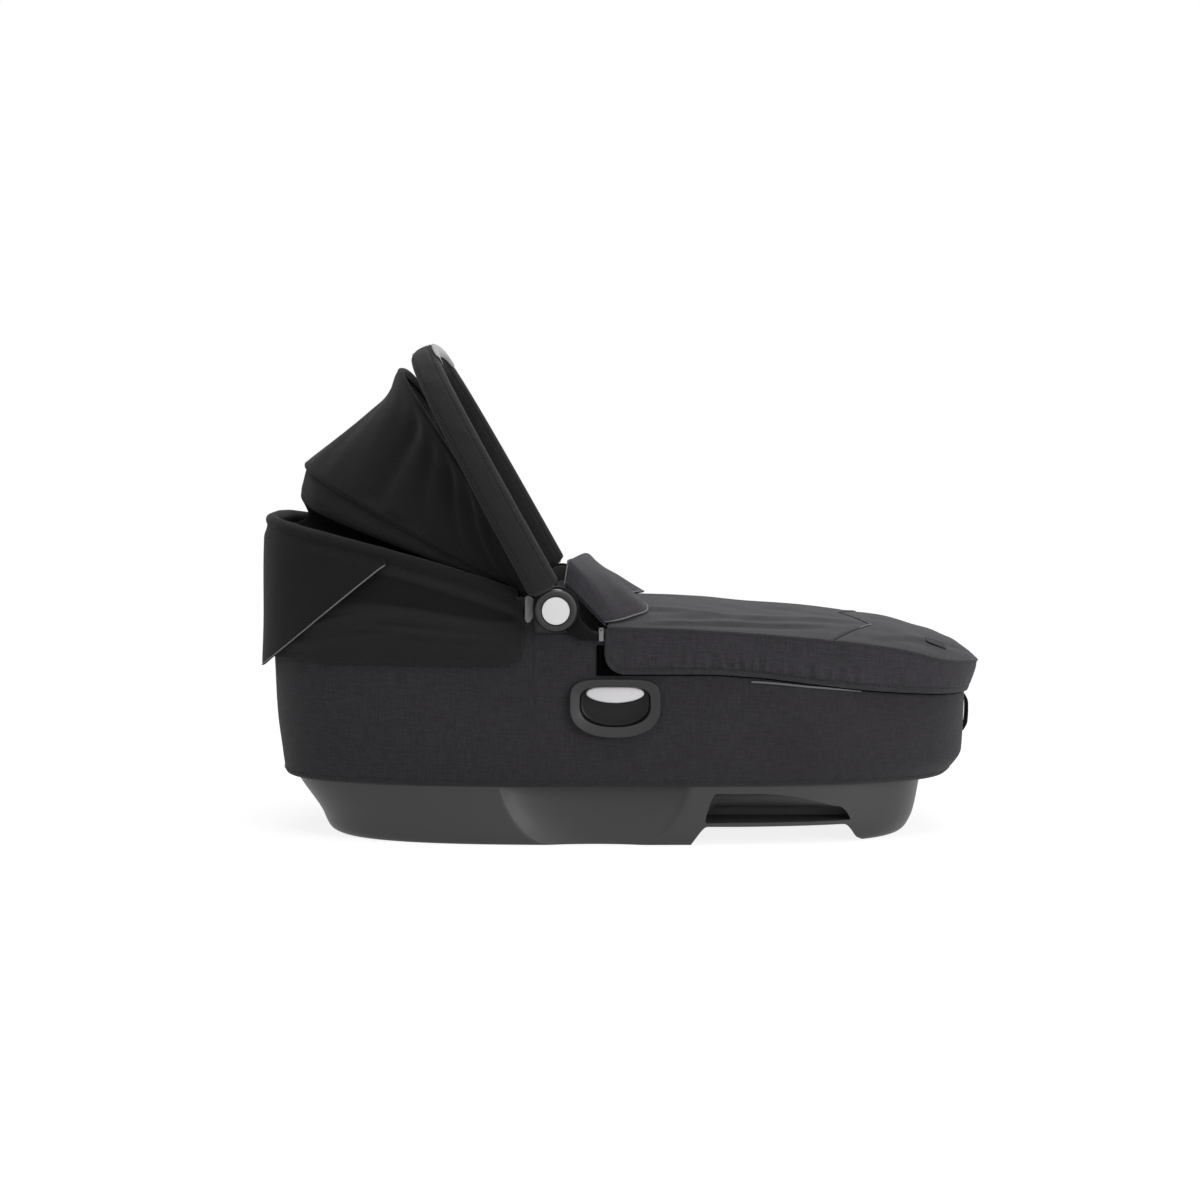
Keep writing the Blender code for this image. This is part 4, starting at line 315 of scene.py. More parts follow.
# %% Points, patches and normals
def make_piece(name, points, patches, look, sharp_deg=None):
    """A mesh from points and patches of (faces, uv), turned so that its volume is positive."""
    points = np.asarray(points, float).reshape(-1, 3)
    volume = 0.0
    for faces, _ in patches:
        first = points[faces[:, 0]]
        for corner in range(1, faces.shape[1] - 1):
            pair = np.cross(points[faces[:, corner]], points[faces[:, corner + 1]])
            volume += float((first * pair).sum())
    if volume < 0:
        patches = [(faces[:, ::-1], uv[:, ::-1]) for faces, uv in patches]
    totals = np.concatenate([np.full(len(faces), faces.shape[1]) for faces, _ in patches])
    corners = np.concatenate([faces.ravel() for faces, _ in patches])
    mesh = bpy.data.meshes.new(name)
    mesh.vertices.add(len(points))
    mesh.vertices.foreach_set("co", points.astype(np.float32).ravel())
    mesh.loops.add(len(corners))
    mesh.loops.foreach_set("vertex_index", corners.astype(np.int32))
    mesh.polygons.add(len(totals))
    mesh.polygons.foreach_set("loop_start", np.concatenate([[0], np.cumsum(totals)[:-1]]).astype(np.int32))
    mesh.update(calc_edges=True)
    layer = mesh.uv_layers.new(name="metres")
    layer.data.foreach_set("uv", np.concatenate([uv.ravel() for _, uv in patches]).astype(np.float32))
    mesh.shade_smooth()
    if sharp_deg is not None:
        mesh.set_sharp_from_angle(angle=math.radians(sharp_deg))
    mesh.materials.append(look)
    piece = bpy.data.objects.new(name, mesh)
    bpy.context.scene.collection.objects.link(piece)
    return piece


def walked(grid, axis):
    """Distance walked along an axis of a grid of points, in metres."""
    steps = np.linalg.norm(np.diff(grid, axis=axis), axis=2)
    first = np.zeros_like(np.take(steps, [0], axis=axis))
    return np.concatenate([first, np.cumsum(steps, axis=axis)], axis=axis)


def grid_patch(index, grid, wrapped):
    """Quads of a grid of point numbers, with UVs that are the mean distances walked both ways."""
    if wrapped:
        index = np.concatenate([index, index[:, :1]], axis=1)
        grid = np.concatenate([grid, grid[:, :1]], axis=1)
    u = walked(grid, 1).mean(0)
    v = walked(grid, 0).mean(1)
    uv = np.stack(np.meshgrid(u, v), axis=-1)
    corners = [(slice(None, -1), slice(None, -1)), (slice(None, -1), slice(1, None)),
               (slice(1, None), slice(1, None)), (slice(1, None), slice(None, -1))]
    faces = np.stack([index[corner].ravel() for corner in corners], axis=1)
    return faces, np.stack([uv[corner].reshape(-1, 2) for corner in corners], axis=1)


def facing(grid, wrapped=False, anchor=MIDDLE_OF_CABIN):
    """Unit normals of a grid of points, the cross product of its two slopes, away from the anchor."""
    wide = np.concatenate([grid[:, -1:], grid, grid[:, :1]], axis=1) if wrapped else grid
    normals = np.cross(np.gradient(wide, axis=0), np.gradient(wide, axis=1))
    normals = normals[:, 1:-1] if wrapped else normals
    normals /= np.maximum(np.linalg.norm(normals, axis=2, keepdims=True), 1e-12)
    return normals if float((normals * (grid - anchor)).sum()) > 0 else -normals


def line_facing(line):
    """Outward directions along a line on an upright sheet."""
    return facing(np.stack([line, line + [0, 0, 0.01]]))[0]


print("meshes can be made from points and patches")

# %% [markdown]
# ## Sheets and skinned rings
# Cloth is sewn from sheets with a real thickness, and mouldings and rolls are solids. A solidify
# modifier could thicken a sheet, but its edges would be square. Here both sides of a sheet meet in
# a rounded edge, and a solid is skinned over rings that stand one behind the other.

# %% Sheets and rings
def edge_roundness(grid, radius, wrapped):
    """One inside the sheet, falling along a quarter circle to nothing at its border."""
    share = np.ones(grid.shape[:2])
    for axis in (0,) if wrapped else (0, 1):
        walk = walked(grid, axis)
        near = np.minimum(walk, np.take(walk, [-1], axis=axis) - walk)
        share = np.minimum(share, np.sqrt(1 - (1 - np.clip(near / radius, 0, 1)) ** 2))
    return share


def sheet_piece(name, grid, thickness, look, wrapped=False, outer_relief=0.0, anchor=MIDDLE_OF_CABIN):
    """A sheet with thickness: the grid moved half of it each way, meeting in a rounded edge."""
    normals = facing(grid, wrapped, anchor)
    depth = np.broadcast_to(thickness, grid.shape[:2])
    rounded = edge_roundness(grid, depth.mean() / 2, wrapped)
    outer = grid + normals * (rounded * (depth / 2 + outer_relief))[..., None]
    inner = grid - normals * (rounded * depth / 2)[..., None]
    index = np.arange(rounded.size).reshape(rounded.shape)
    inside = np.zeros(rounded.shape, bool)
    inside[1:-1, slice(None) if wrapped else slice(1, -1)] = True
    under = index.copy()
    under[inside] = rounded.size + np.arange(inside.sum())
    faces, uv = grid_patch(index, grid, wrapped)
    under_faces, under_uv = grid_patch(under, grid, wrapped)
    points = np.concatenate([outer.reshape(-1, 3), inner[inside]])
    return make_piece(name, points, [(faces, uv), (under_faces[:, ::-1], under_uv[:, ::-1])], look)


def ring_piece(name, rings, look, looped=False, sharp_deg=None):
    """Skin rings of points, closed by a fan at both ends unless the last ring joins the first."""
    rings = np.asarray(rings, float)
    count, around = rings.shape[:2]
    index = np.arange(count * around).reshape(count, around)
    if looped:
        index = np.concatenate([index, index[:1]])
        faces, uv = grid_patch(index, np.concatenate([rings, rings[:1]]), True)
        return make_piece(name, rings, [(faces, uv)], look, sharp_deg)
    patches = [grid_patch(index, rings, True)]
    points = [rings.reshape(-1, 3)]
    for end, order in ((0, 1), (count - 1, -1)):  # each end is closed by a fan about its middle
        ring = index[end]
        middle = np.full(around, count * around + (end > 0))
        fan = np.stack([middle, np.roll(ring, -1), ring], axis=1)[:, ::order]
        flat = rings[end] - rings[end].mean(0)
        sides = np.linalg.svd(flat, full_matrices=False)[2][:2]
        spread = flat @ sides.T
        uv = np.stack([np.zeros_like(spread), np.roll(spread, -1, axis=0), spread], axis=1)
        patches.append((fan, uv[:, ::order]))
        points.append(rings[end].mean(0)[None])
    return make_piece(name, np.concatenate(points), patches, look, sharp_deg)


print("sheets and rings can be skinned")

# %% [markdown]
# ## Cords, stitches and ripples
# Piping and thread run along edges, so both are carried along a path. A curve object with a bevel
# could do that, but a mesh keeps the same UV map in metres as the rest. Ripples are sums of
# sines with random phases, which read as the slack in sewn cloth.

# %% Cords, stitches and ripples
def frames_along(path, towards):
    """Unit tangent, side and up of a path: up leans towards the given directions."""
    tangent = np.gradient(path, axis=0)
    tangent /= np.linalg.norm(tangent, axis=1, keepdims=True)
    side = np.cross(tangent, np.broadcast_to(towards, path.shape))
    side /= np.linalg.norm(side, axis=1, keepdims=True)
    return tangent, side, np.cross(side, tangent)


def cord_piece(name, path, towards, radius, look, around=12):
    """A round welt or cord: circles carried along the path, with domed ends."""
    tangent, side, up = frames_along(path, towards)
    walk = walk_along(path)
    near = np.clip(np.minimum(walk, walk[-1] - walk) / radius, 0, 1)
    size = radius * np.maximum(np.sqrt(1 - (1 - near) ** 2), 0.15)
    turn = full_turn(around)
    ring = np.cos(turn)[None, :, None] * side[:, None] + np.sin(turn)[None, :, None] * up[:, None]
    return ring_piece(name, path[:, None] + ring * size[:, None, None], look)


def resampled(path, step, inset=0.0):
    """Points at equal distances along a path, and where each one falls on it."""
    walk = walk_along(path)
    places = np.arange(inset, walk[-1] - inset, step)
    return np.stack([np.interp(places, walk, path[:, axis]) for axis in range(3)], axis=1), places, walk


STITCH_PITCH = 0.0042
STITCH_LENGTH = 0.0030


def stitch_piece(name, path, towards, look=thread_cloth, radius=0.00045):
    """Top stitching: each stitch is a short spindle of thread, sunk at both ends, raised between."""
    towards = np.broadcast_to(towards, path.shape)
    spots, places, walk = resampled(path, STITCH_PITCH, STITCH_PITCH)
    lean = np.stack([np.interp(places, walk, towards[:, axis]) for axis in range(3)], axis=1)
    tangent, side, up = frames_along(spots, lean)
    stations = np.linspace(-1, 1, 5)
    size = radius * np.sqrt(1.02 - stations**2)
    turn = full_turn(6)
    ring = np.cos(turn)[:, None] * side[:, None] + np.sin(turn)[:, None] * up[:, None]
    core = spots[:, None] + tangent[:, None] * (stations * STITCH_LENGTH / 2)[None, :, None]
    core += up[:, None] * (radius * (1 - stations**2))[None, :, None]
    points = core[:, :, None] + ring[:, None] * size[None, :, None, None]
    count = len(spots)
    index = np.arange(30).reshape(5, 6)
    quads, uv = grid_patch(index, points[0], True)
    fan = np.array([[0, 5, 4, 3], [0, 3, 2, 1]])
    ends = np.concatenate([fan, 24 + fan[:, ::-1]])
    faces = np.concatenate([quads, ends])
    spread = np.concatenate([uv, np.zeros((4, 4, 2))])
    faces = (faces[None] + 30 * np.arange(count)[:, None, None]).reshape(-1, 4)
    return make_piece(name, points, [(faces, np.tile(spread, (count, 1, 1)))], look)


def ripples(first, second, waves, height, seed):
    """Soft unevenness: a sum of sines of two distances, with directions and phases from a seed."""
    draw = np.random.default_rng(seed)
    total = np.zeros(np.broadcast(first, second).shape)
    for length_first, length_second in waves:
        turn, shift = draw.uniform(-0.35, 0.35), draw.uniform(0, 2 * math.pi)
        total += np.sin(2 * math.pi * ((first + turn * second) / length_first
                                       + (second - turn * first) / length_second) + shift)
    return height * total / len(waves)


print("cords, stitches and ripples can be laid")

# %% [markdown]
# ## The body's plan and profile
# From above the carrycot is a superellipse, fuller than an oval and softer than a box, and its
# wall, its rim and the base follow tables of shares. The CAD joins the tables' points with
# straight lines. Cloth has no such kinks, so here a smooth curve runs through the same points
# without overshooting them.

# %% Shape of the body, the rim and the base
HALF_LENGTH, HALF_WIDTH, PLAN_POWER = 0.4203, 0.1883, 3.2
HEM_HEIGHT, SHOULDER_HEIGHT = 0.070, 0.210
RIM_HEAD_HEIGHT, RIM_FOOT_HEIGHT = 0.377, 0.211
GAP, LOOSE_GAP = 0.0003, 0.0008
ROLL_RADIUS = 0.0075
RIM_DROP = ROLL_RADIUS + LOOSE_GAP
HUB = np.array([-0.0743, 0.0, 0.281])
# Height share, then reach to the head, reach to the foot and half width
BODY_SECTION = np.array([(0.00, 0.972, 0.947, 0.903), (0.21, 0.981, 0.993, 0.955),
                         (0.50, 0.992, 0.997, 0.985), (1.00, 1.0, 1.0, 1.0)])
# Place along the half length, then height between the rim's foot end and its head end
RIM_TABLE = np.array([(-1.0, 1.0), (-0.63, 0.78), (-0.45, 0.65), (-0.26, 0.49), (-0.177, 0.40),
                      (-0.05, 0.29), (0.20, 0.265), (0.57, 0.19), (0.76, 0.12), (0.975, 0.0), (1.0, 0.0)])
BASE_HEIGHT, BASE_HEAD_REACH, BASE_FOOT_REACH, BASE_HALF_WIDTH = 0.085, 0.400, 0.372, 0.1675
BASE_SECTION = np.array([(0.0, 0.868, 0.921, 0.971), (0.05, 0.886, 0.938, 0.981),
                         (0.13, 0.897, 0.951, 0.988), (0.28, 0.911, 0.966, 0.9915),
                         (0.85, 0.990, 0.992, 0.999), (1.0, 1.0, 1.0, 1.0)])


def through(table, where, column=1):
    """Smooth curve through a table: cubics whose slopes are the harmonic means of the chords."""
    x, y = table[:, 0], table[:, column]
    widths = np.diff(x)
    chords = np.diff(y) / widths
    slopes = np.zeros_like(y)
    before, after = chords[:-1], chords[1:]
    same = before * after > 0
    slopes[1:-1][same] = 2 * before[same] * after[same] / (before[same] + after[same])
    slopes[0], slopes[-1] = chords[0], chords[-1]
    where = np.clip(where, x[0], x[-1])
    spot = np.clip(np.searchsorted(x, where) - 1, 0, len(widths) - 1)
    width = widths[spot]
    share = (where - x[spot]) / width
    rise = y[spot + 1] - y[spot]
    ease = share * share * (3 - 2 * share)
    return (y[spot] + ease * rise + width * share * (1 - share)
            * ((1 - share) * slopes[spot] - share * slopes[spot + 1]))


def plan_unit(turn):
    """Unit superellipse: cosine and sine, each raised to 2 over the power, with their signs."""
    power = 2 / PLAN_POWER
    along, across = np.cos(turn), np.sin(turn)
    return np.sign(along) * np.abs(along) ** power, np.sign(across) * np.abs(across) ** power


def plan_turns(count, first_x=None, end="head"):
    """Turns at equal distances round the plan, or only from first_x round one end and back."""
    start, stop = 0.0, 2 * math.pi
    if first_x is not None:
        corner = math.acos((abs(first_x) / HALF_LENGTH) ** (PLAN_POWER / 2))
        if end == "head":
            start = math.pi + corner if first_x < 0 else 2 * math.pi - corner
            stop = 2 * math.pi - start
        else:
            start = -corner if first_x > 0 else corner - math.pi
            stop = -start
    dense = np.linspace(start, stop, 8001)
    along, across = plan_unit(dense)
    walk = np.hypot(np.diff(HALF_LENGTH * along), np.diff(HALF_WIDTH * across))
    walk = np.concatenate([[0], np.cumsum(walk)])
    if first_x is None:
        return np.interp(np.linspace(0, walk[-1], count + 1)[:-1], walk, dense)
    return np.interp(np.linspace(0, walk[-1], count), walk, dense)


def rim_height(x):
    """Height of the rolled rim at a station along the body."""
    rise = RIM_HEAD_HEIGHT - RIM_FOOT_HEIGHT
    return RIM_FOOT_HEIGHT + rise * through(RIM_TABLE, np.asarray(x) / HALF_LENGTH)


def wall_points(turn, height, inset=0.0, base=False):
    """Points of the body's or the base's wall: the plan scaled to the section at each height."""
    if base:
        table, share = BASE_SECTION, height / BASE_HEIGHT
        sizes = (BASE_HEAD_REACH, BASE_FOOT_REACH, BASE_HALF_WIDTH)
    else:
        table, share = BODY_SECTION, (height - HEM_HEIGHT) / (SHOULDER_HEIGHT - HEM_HEIGHT)
        sizes = (HALF_LENGTH, HALF_LENGTH, HALF_WIDTH)
    head, foot, half = (size * through(table, share, column) for column, size in enumerate(sizes, 1))
    along, across = plan_unit(turn)
    x = (foot - head) / 2 + ((foot + head) / 2 - inset) * along
    return np.stack(np.broadcast_arrays(x, (half - inset) * across, height), axis=-1)


def eased(value, low, high):
    """Smooth step from 0 at low to 1 at high: three squares less two cubes."""
    share = np.clip((value - low) / (high - low), 0, 1)
    return share * share * (3 - 2 * share)


def fine_shares(count, length, thickness):
    """Shares from 0 to 1: evenly spaced, and closer at both ends so that an edge can round."""
    round_in = thickness / 2 * (1 - np.cos(np.linspace(0, math.pi / 2, 5))) / length
    middle = np.linspace(round_in[-1], 1 - round_in[-1], count)
    return np.concatenate([round_in[:-1], middle, 1 - round_in[:-1][::-1]])


print("perimeter in m:", round(float(np.linalg.norm(np.diff(
    wall_points(plan_turns(400), 0.2), axis=0), axis=1).sum()), 3))

# %% [markdown]
# ## The moulded base
# One injection moulding carries the tub: it tapers to the floor, rises at the head like a boat,
# and has a scoop for the hand under each hub, a pocket in each long side and a channel across its
# underside. It could be built from boxes and bevels. Here the outside is one skin of rings, the
# scoops are pressed into it by formula, and booleans cut the pockets and the channel.

# %% Base form with its scoops
SCOOP_MIDDLE = np.array([-0.030, 0.1715, 0.080])
SCOOP_RADII = np.array([0.113, 0.030, 0.100])
SCOOP_ROUNDING = 0.0011
base_turns = plan_turns(520)
foot_curve = 0.0022 * (1 - np.sin(np.linspace(0, math.pi / 2, 6)))
base_heights = np.concatenate([0.0022 * (1 - np.cos(np.linspace(0, math.pi / 2, 6))),
                               np.linspace(0.0040, BASE_HEIGHT - 0.0005, 44)])[:, None]
base_insets = np.concatenate([foot_curve, np.zeros(44)])[:, None]
base_rings = wall_points(base_turns[None], base_heights, base_insets, base=True)
reach = 1 - ((base_rings[..., 0] - SCOOP_MIDDLE[0]) / SCOOP_RADII[0]) ** 2
reach -= ((base_rings[..., 2] - SCOOP_MIDDLE[2]) / SCOOP_RADII[2]) ** 2
carved = SCOOP_MIDDLE[1] - SCOOP_RADII[1] * np.sqrt(np.maximum(reach, 0))
wall_y = np.abs(base_rings[..., 1])
both = -SCOOP_ROUNDING * np.logaddexp(-wall_y / SCOOP_ROUNDING, -carved / SCOOP_ROUNDING)
pressed = np.where((reach > 0) & (wall_y > 0.12), wall_y - both, 0)
soft_y = wall_y - pressed
base_rings[..., 1] = np.sign(base_rings[..., 1]) * soft_y
base = ring_piece("moulded_base", base_rings, base_plastic, sharp_deg=40)
print("scoop depth in mm:", round(float((wall_y - soft_y).max()) * 1000, 1))

# %% Pockets, channel and screw wells, cut from the base
POCKET_HEAD_X, POCKET_LENGTH, POCKET_FLOOR, POCKET_HEIGHT, POCKET_DEPTH = 0.099, 0.173, 0.0266, 0.0344, 0.060
POCKET_OUTLINE = np.array([(0.0, 0.0), (0.012, 0.30), (0.035, 0.68), (0.068, 1.0),
                           (0.935, 1.0), (0.970, 0.68), (0.990, 0.30), (1.0, 0.0)])
POCKET_ROOF = np.array([(-0.5, 1.0), (0.05, 1.0), (0.09, 0.96), (0.30, 0.52), (0.42, 0.43), (1.0, 0.40)])
CHANNEL_HEAD_X, CHANNEL_LENGTH, CHANNEL_HEIGHT = 0.082, 0.207, 0.022
CHANNEL_OUTLINE = np.array([(0.0, -0.5), (0.0, 0.0), (0.058, 0.73), (0.085, 1.0), (0.889, 1.0),
                            (0.918, 0.73), (0.952, 0.23), (1.0, 0.0), (1.0, -0.5)])
CORNER_ROUNDING = 0.004
LIP_ROUNDING = 0.0016


def rounded_corners(outline, radius, steps=6):
    """A closed outline with each corner replaced by a short curve that touches both its sides."""
    before, after = np.roll(outline, 1, axis=0), np.roll(outline, -1, axis=0)
    back, on = before - outline, after - outline
    back_length = np.linalg.norm(back, axis=1, keepdims=True)
    on_length = np.linalg.norm(on, axis=1, keepdims=True)
    reach_in = np.minimum(radius, 0.45 * np.minimum(back_length, on_length))
    start, stop = outline + back / back_length * reach_in, outline + on / on_length * reach_in
    share = np.linspace(0, 1, steps)[None, :, None]
    curve = ((1 - share) ** 2 * start[:, None] + 2 * share * (1 - share) * outline[:, None]
             + share**2 * stop[:, None])
    return curve.reshape(-1, 2)


def swollen(outline, amount):
    """The outline moved outwards from its middle by an amount on every side."""
    slope = np.gradient(np.concatenate([outline[-1:], outline, outline[:1]]), axis=0)[1:-1]
    normal = np.stack([slope[:, 1], -slope[:, 0]], axis=1)
    normal /= np.maximum(np.linalg.norm(normal, axis=1, keepdims=True), 1e-9)
    inside = ((outline - outline.mean(0)) * normal).sum()
    return outline + np.sign(inside) * normal * amount


def cut_from(target, cutter):
    """Subtract one closed mesh from another and keep the result as the target's mesh."""
    modifier = target.modifiers.new("cut", "BOOLEAN")
    modifier.operation, modifier.solver, modifier.object = "DIFFERENCE", "EXACT", cutter
    bpy.context.view_layer.update()
    cut = bpy.data.meshes.new_from_object(target.evaluated_get(bpy.context.evaluated_depsgraph_get()))
    cut.name = target.name
    target.modifiers.clear()
    target.data = cut
    bpy.data.objects.remove(cutter, do_unlink=True)


for side in (-1, 1):
    rings = []
    depths = np.concatenate([[-0.012], np.linspace(0, LIP_ROUNDING, 5),
                             np.linspace(0.0028, 0.026, 11), np.linspace(0.036, POCKET_DEPTH, 3)])
    growths = np.concatenate([[LIP_ROUNDING], LIP_ROUNDING * (1 - np.sqrt(
        1 - (1 - np.linspace(0, 1, 5)) ** 2)), np.zeros(14)])
    left = through(POCKET_ROOF, depths / POCKET_DEPTH)
    for depth, growth, height in zip(depths, growths, left):
        outline = POCKET_OUTLINE * np.array([POCKET_LENGTH, POCKET_HEIGHT * height])
        outline = swollen(rounded_corners(outline + np.array([POCKET_HEAD_X, POCKET_FLOOR]), CORNER_ROUNDING), growth)
        rings.append(upright(outline, side * (BASE_HALF_WIDTH * 0.99 - depth)))
    cut_from(base, ring_piece("pocket_cutter", np.array(rings), base_plastic))
outline = CHANNEL_OUTLINE * np.array([CHANNEL_LENGTH, CHANNEL_HEIGHT]) + np.array([CHANNEL_HEAD_X, 0.0])
outline = rounded_corners(outline, CORNER_ROUNDING)
mouth = np.concatenate([[0.0], np.linspace(0.0, LIP_ROUNDING, 5)])
flare = np.concatenate([[LIP_ROUNDING], LIP_ROUNDING * (1 - np.sqrt(1 - (1 - np.linspace(0, 1, 5)) ** 2))])
half_mouth = BASE_HALF_WIDTH * 0.985
stations = np.concatenate([[-0.2], -half_mouth + mouth[1:], (half_mouth - mouth[1:])[::-1], [0.2]])
growths = np.concatenate([flare, flare[::-1]])
rings = [upright(swollen(outline, growth), y) for y, growth in zip(stations, growths)]
cut_from(base, ring_piece("channel_cutter", np.array(rings), base_plastic))
SCREW_WELL_RADIUS, SCREW_WELL_TOP = 0.0048, 0.0722
for x in (-0.250, 0.050):
    for y in (-0.100, 0.100):
        well = [level_circle(x, y, z, SCREW_WELL_RADIUS, 28) for z in (-0.01, SCREW_WELL_TOP)]
        cut_from(base, ring_piece("well_cutter", np.array(well), base_plastic))
base.data.shade_smooth()
base.data.set_sharp_from_angle(angle=math.radians(32))
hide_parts("base_shell")
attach(base, "tub")
print("base faces", len(base.data.polygons))

# %% [markdown]
# ## The body's cover
# A band of woven cloth is pulled round the tub, turned in under its hem and stitched. It could be
# a solid with a cloth look, but then its edge would be a knife. This one is a sheet 2 mm thick
# whose rows run from under the base, round the hem and up to the rim, with a seam 6 mm above it.

# %% Body cloth with its hem
BODY_THICKNESS = 0.002
NOTCH_HEAD_X, NOTCH_FOOT_X, NOTCH_HEIGHT = -0.1005, -0.0333, 0.2516
HEM_BEND = 0.0030
body_turns = plan_turns(640)
body_x = HALF_LENGTH * plan_unit(body_turns)[0]
body_top = rim_height(body_x) - RIM_DROP
in_notch = eased(body_x, NOTCH_HEAD_X - 0.003, NOTCH_HEAD_X + 0.001) - eased(
    body_x, NOTCH_FOOT_X - 0.001, NOTCH_FOOT_X + 0.003)
body_top = body_top + in_notch * (np.minimum(body_top, NOTCH_HEIGHT) - body_top)
bend = np.linspace(0, math.pi / 2, 6)
hem_rows = wall_points(body_turns[None], (HEM_HEIGHT + 0.001 + HEM_BEND * (1 - np.cos(bend)))[:, None],
                       (0.001 + HEM_BEND * (1 - np.sin(bend)))[:, None])
tucked = wall_points(body_turns, HEM_HEIGHT + 0.001, -GAP - 0.001, base=True)
tuck_share = np.linspace(0, 1, 7)[:-1, None, None]
tuck_rows = tucked[None] + tuck_share * (hem_rows[0] - tucked)[None]
climb = fine_shares(64, 0.15, BODY_THICKNESS)[5:, None]
low = HEM_HEIGHT + 0.001 + HEM_BEND
wall_height = low + climb * (body_top[None] - low)
body_grid = np.concatenate([tuck_rows, hem_rows, wall_points(body_turns[None], wall_height, 0.001)])
around = walk_along(body_grid[20])
height = body_grid[..., 2] - HEM_HEIGHT
seam = bell(height - 0.0062, 0.0009)
pucker = bell(height - 0.009, 0.006) * np.sin(around[None] * 2 * math.pi / 0.023)
slack = ripples(around[None], body_grid[..., 2], [(0.21, 0.19), (0.34, 0.11), (0.13, 0.27)], 0.0006, 3)
body_relief = np.where(height > 0.0015, -0.0007 * seam + 0.00016 * pucker + slack * eased(height, 0.01, 0.04), 0)
body = sheet_piece("body_cloth", body_grid, BODY_THICKNESS, cover_cloth, wrapped=True, outer_relief=body_relief)


def superoval(x, z, half_length, half_height, count):
    """The release opening's outline: a superellipse with a squarer top and a rounder bottom."""
    turn = np.arange(count) * 2 * math.pi / count
    power = np.where(np.sin(turn) > 0, 2 / 4.5, 2 / 2.25)
    across = np.sign(np.cos(turn)) * np.abs(np.cos(turn)) ** power
    up = np.sign(np.sin(turn)) * np.abs(np.sin(turn)) ** power
    return np.stack([x + half_length * across, z + half_height * up], axis=1)


RELEASE_X, CUP_Z, CUP_HALF_LENGTH, CUP_HALF_HEIGHT, CUP_WALL = -0.0065, 0.1690, 0.0410, 0.0270, 0.0015
hole = superoval(RELEASE_X, CUP_Z, CUP_HALF_LENGTH + 0.0018, CUP_HALF_HEIGHT + 0.0018, 72)
for side in (-1, 1):
    rings = [upright(hole, side * y) for y in (0.17, 0.2)]
    cut_from(body, ring_piece("hole_cutter", np.array(rings), cover_cloth))
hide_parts("body_cover")
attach(body, "tub")

hem_line = wall_points(body_turns, HEM_HEIGHT + 0.0062, -0.0004)
hem_facing = facing(np.stack([hem_line, hem_line + [0.0, 0.0, 0.01]]), True)[0]
hem_stitch = stitch_piece("body_hem_stitch", np.concatenate([hem_line, hem_line[:1]]),
                          np.concatenate([hem_facing, hem_facing[:1]]))
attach(hem_stitch, "tub")
print("body cloth faces", len(body.data.polygons))

# %% [markdown]
# ## The bows and the arch that they share
# Handle, front bow and middle bow are arches over the cabin: straight legs, rounded shoulders and
# a flat crown, each in a plane that leans back from the hub's axis. A bent curve object could
# follow them, but a superellipse with its two half sizes gives the same arch in one line, and the
# cloth between two bows can then be worked out from both.

# %% Arches over the cabin
HANDLE_ARCH = (0.2113, 0.3336, 3.2, 28.7)
FRONT_ARCH = (0.1970, 0.3338, 2.9, 34.8)
MIDDLE_ARCH = (0.1775, 0.3444, 2.6, 62.0)
MIDDLE_BOW_RADIUS = 0.0035
FRONT_BOW_START, HOOD_START = 0.060, 0.034


def arch(half_width, reach, power, lean_deg, start, count):
    """Across is the cosine and up the sine, each to 2 over the power; points lie evenly along it."""
    lowest = math.asin((start / reach) ** (power / 2))
    dense = np.linspace(math.pi - lowest, lowest, 4001)
    across = half_width * np.sign(np.cos(dense)) * np.abs(np.cos(dense)) ** (2 / power)
    up = reach * np.sin(dense) ** (2 / power)
    walk = np.concatenate([[0], np.cumsum(np.hypot(np.diff(across), np.diff(up)))])
    even = np.linspace(0, walk[-1], count)
    across, up = np.interp(even, walk, across), np.interp(even, walk, up)
    lean = math.radians(lean_deg)
    rise = np.array([-math.sin(lean), 0.0, math.cos(lean)])
    forward = np.array([math.cos(lean), 0.0, math.sin(lean)])
    points = HUB + np.outer(up, rise) + np.outer(across, [0.0, 1.0, 0.0])
    slope = np.gradient(np.column_stack([across, up]), axis=0)
    slope /= np.linalg.norm(slope, axis=1, keepdims=True)
    outward = np.outer(-slope[:, 1], [0.0, 1.0, 0.0]) + np.outer(slope[:, 0], rise)
    return points, outward, forward


def half_area(piece):
    """Area of one face of a sheet: half of all its polygons' areas."""
    areas = np.zeros(len(piece.data.polygons))
    piece.data.polygons.foreach_get("area", areas)
    return round(float(areas.sum()) / 2, 4)


def add_share(piece, name, values):
    """Keep a share per grid point as an attribute, on the outer face and the same on the inner."""
    rows = values[1:-1, 1:-1].ravel()
    shares = np.concatenate([values.ravel(), rows])
    piece.data.attributes.new(name, "FLOAT", "POINT").data.foreach_set("value", shares.astype(np.float32))


print("crown of the handle:", arch(*HANDLE_ARCH, 0.036, 23)[0][11].round(4))

# %% [markdown]
# ## The hood's front panel
# A piece of thin coated nylon: a tunnel sewn round the front bow, a tight fold behind it, a slack
# field that sags 13 mm, and a rib over the middle bow. Cloth simulation would let it hang evenly,
# but the photograph's cloth is pinched into creases that fan from the crown to the hubs. So each
# row is placed between the two bows by formula, and the creases are ridges across it.

# %% Hood front panel
HOOD_COLUMNS = 221
FRONT_COLUMNS = np.linspace(-1, 1, HOOD_COLUMNS)
LEG_SHARE = np.abs(FRONT_COLUMNS)
# Column share at the front bow, column share at the middle bow, depth and width of each crease
FRONT_CREASES = np.array([(0.40, 0.47, 0.0048, 0.035), (0.52, 0.66, 0.0036, 0.028),
                          (0.62, 0.80, 0.0028, 0.022), (0.70, 0.90, 0.0016, 0.018),
                          (0.14, 0.24, 0.0016, 0.050)])
HOOD_THICKNESS = 0.0012


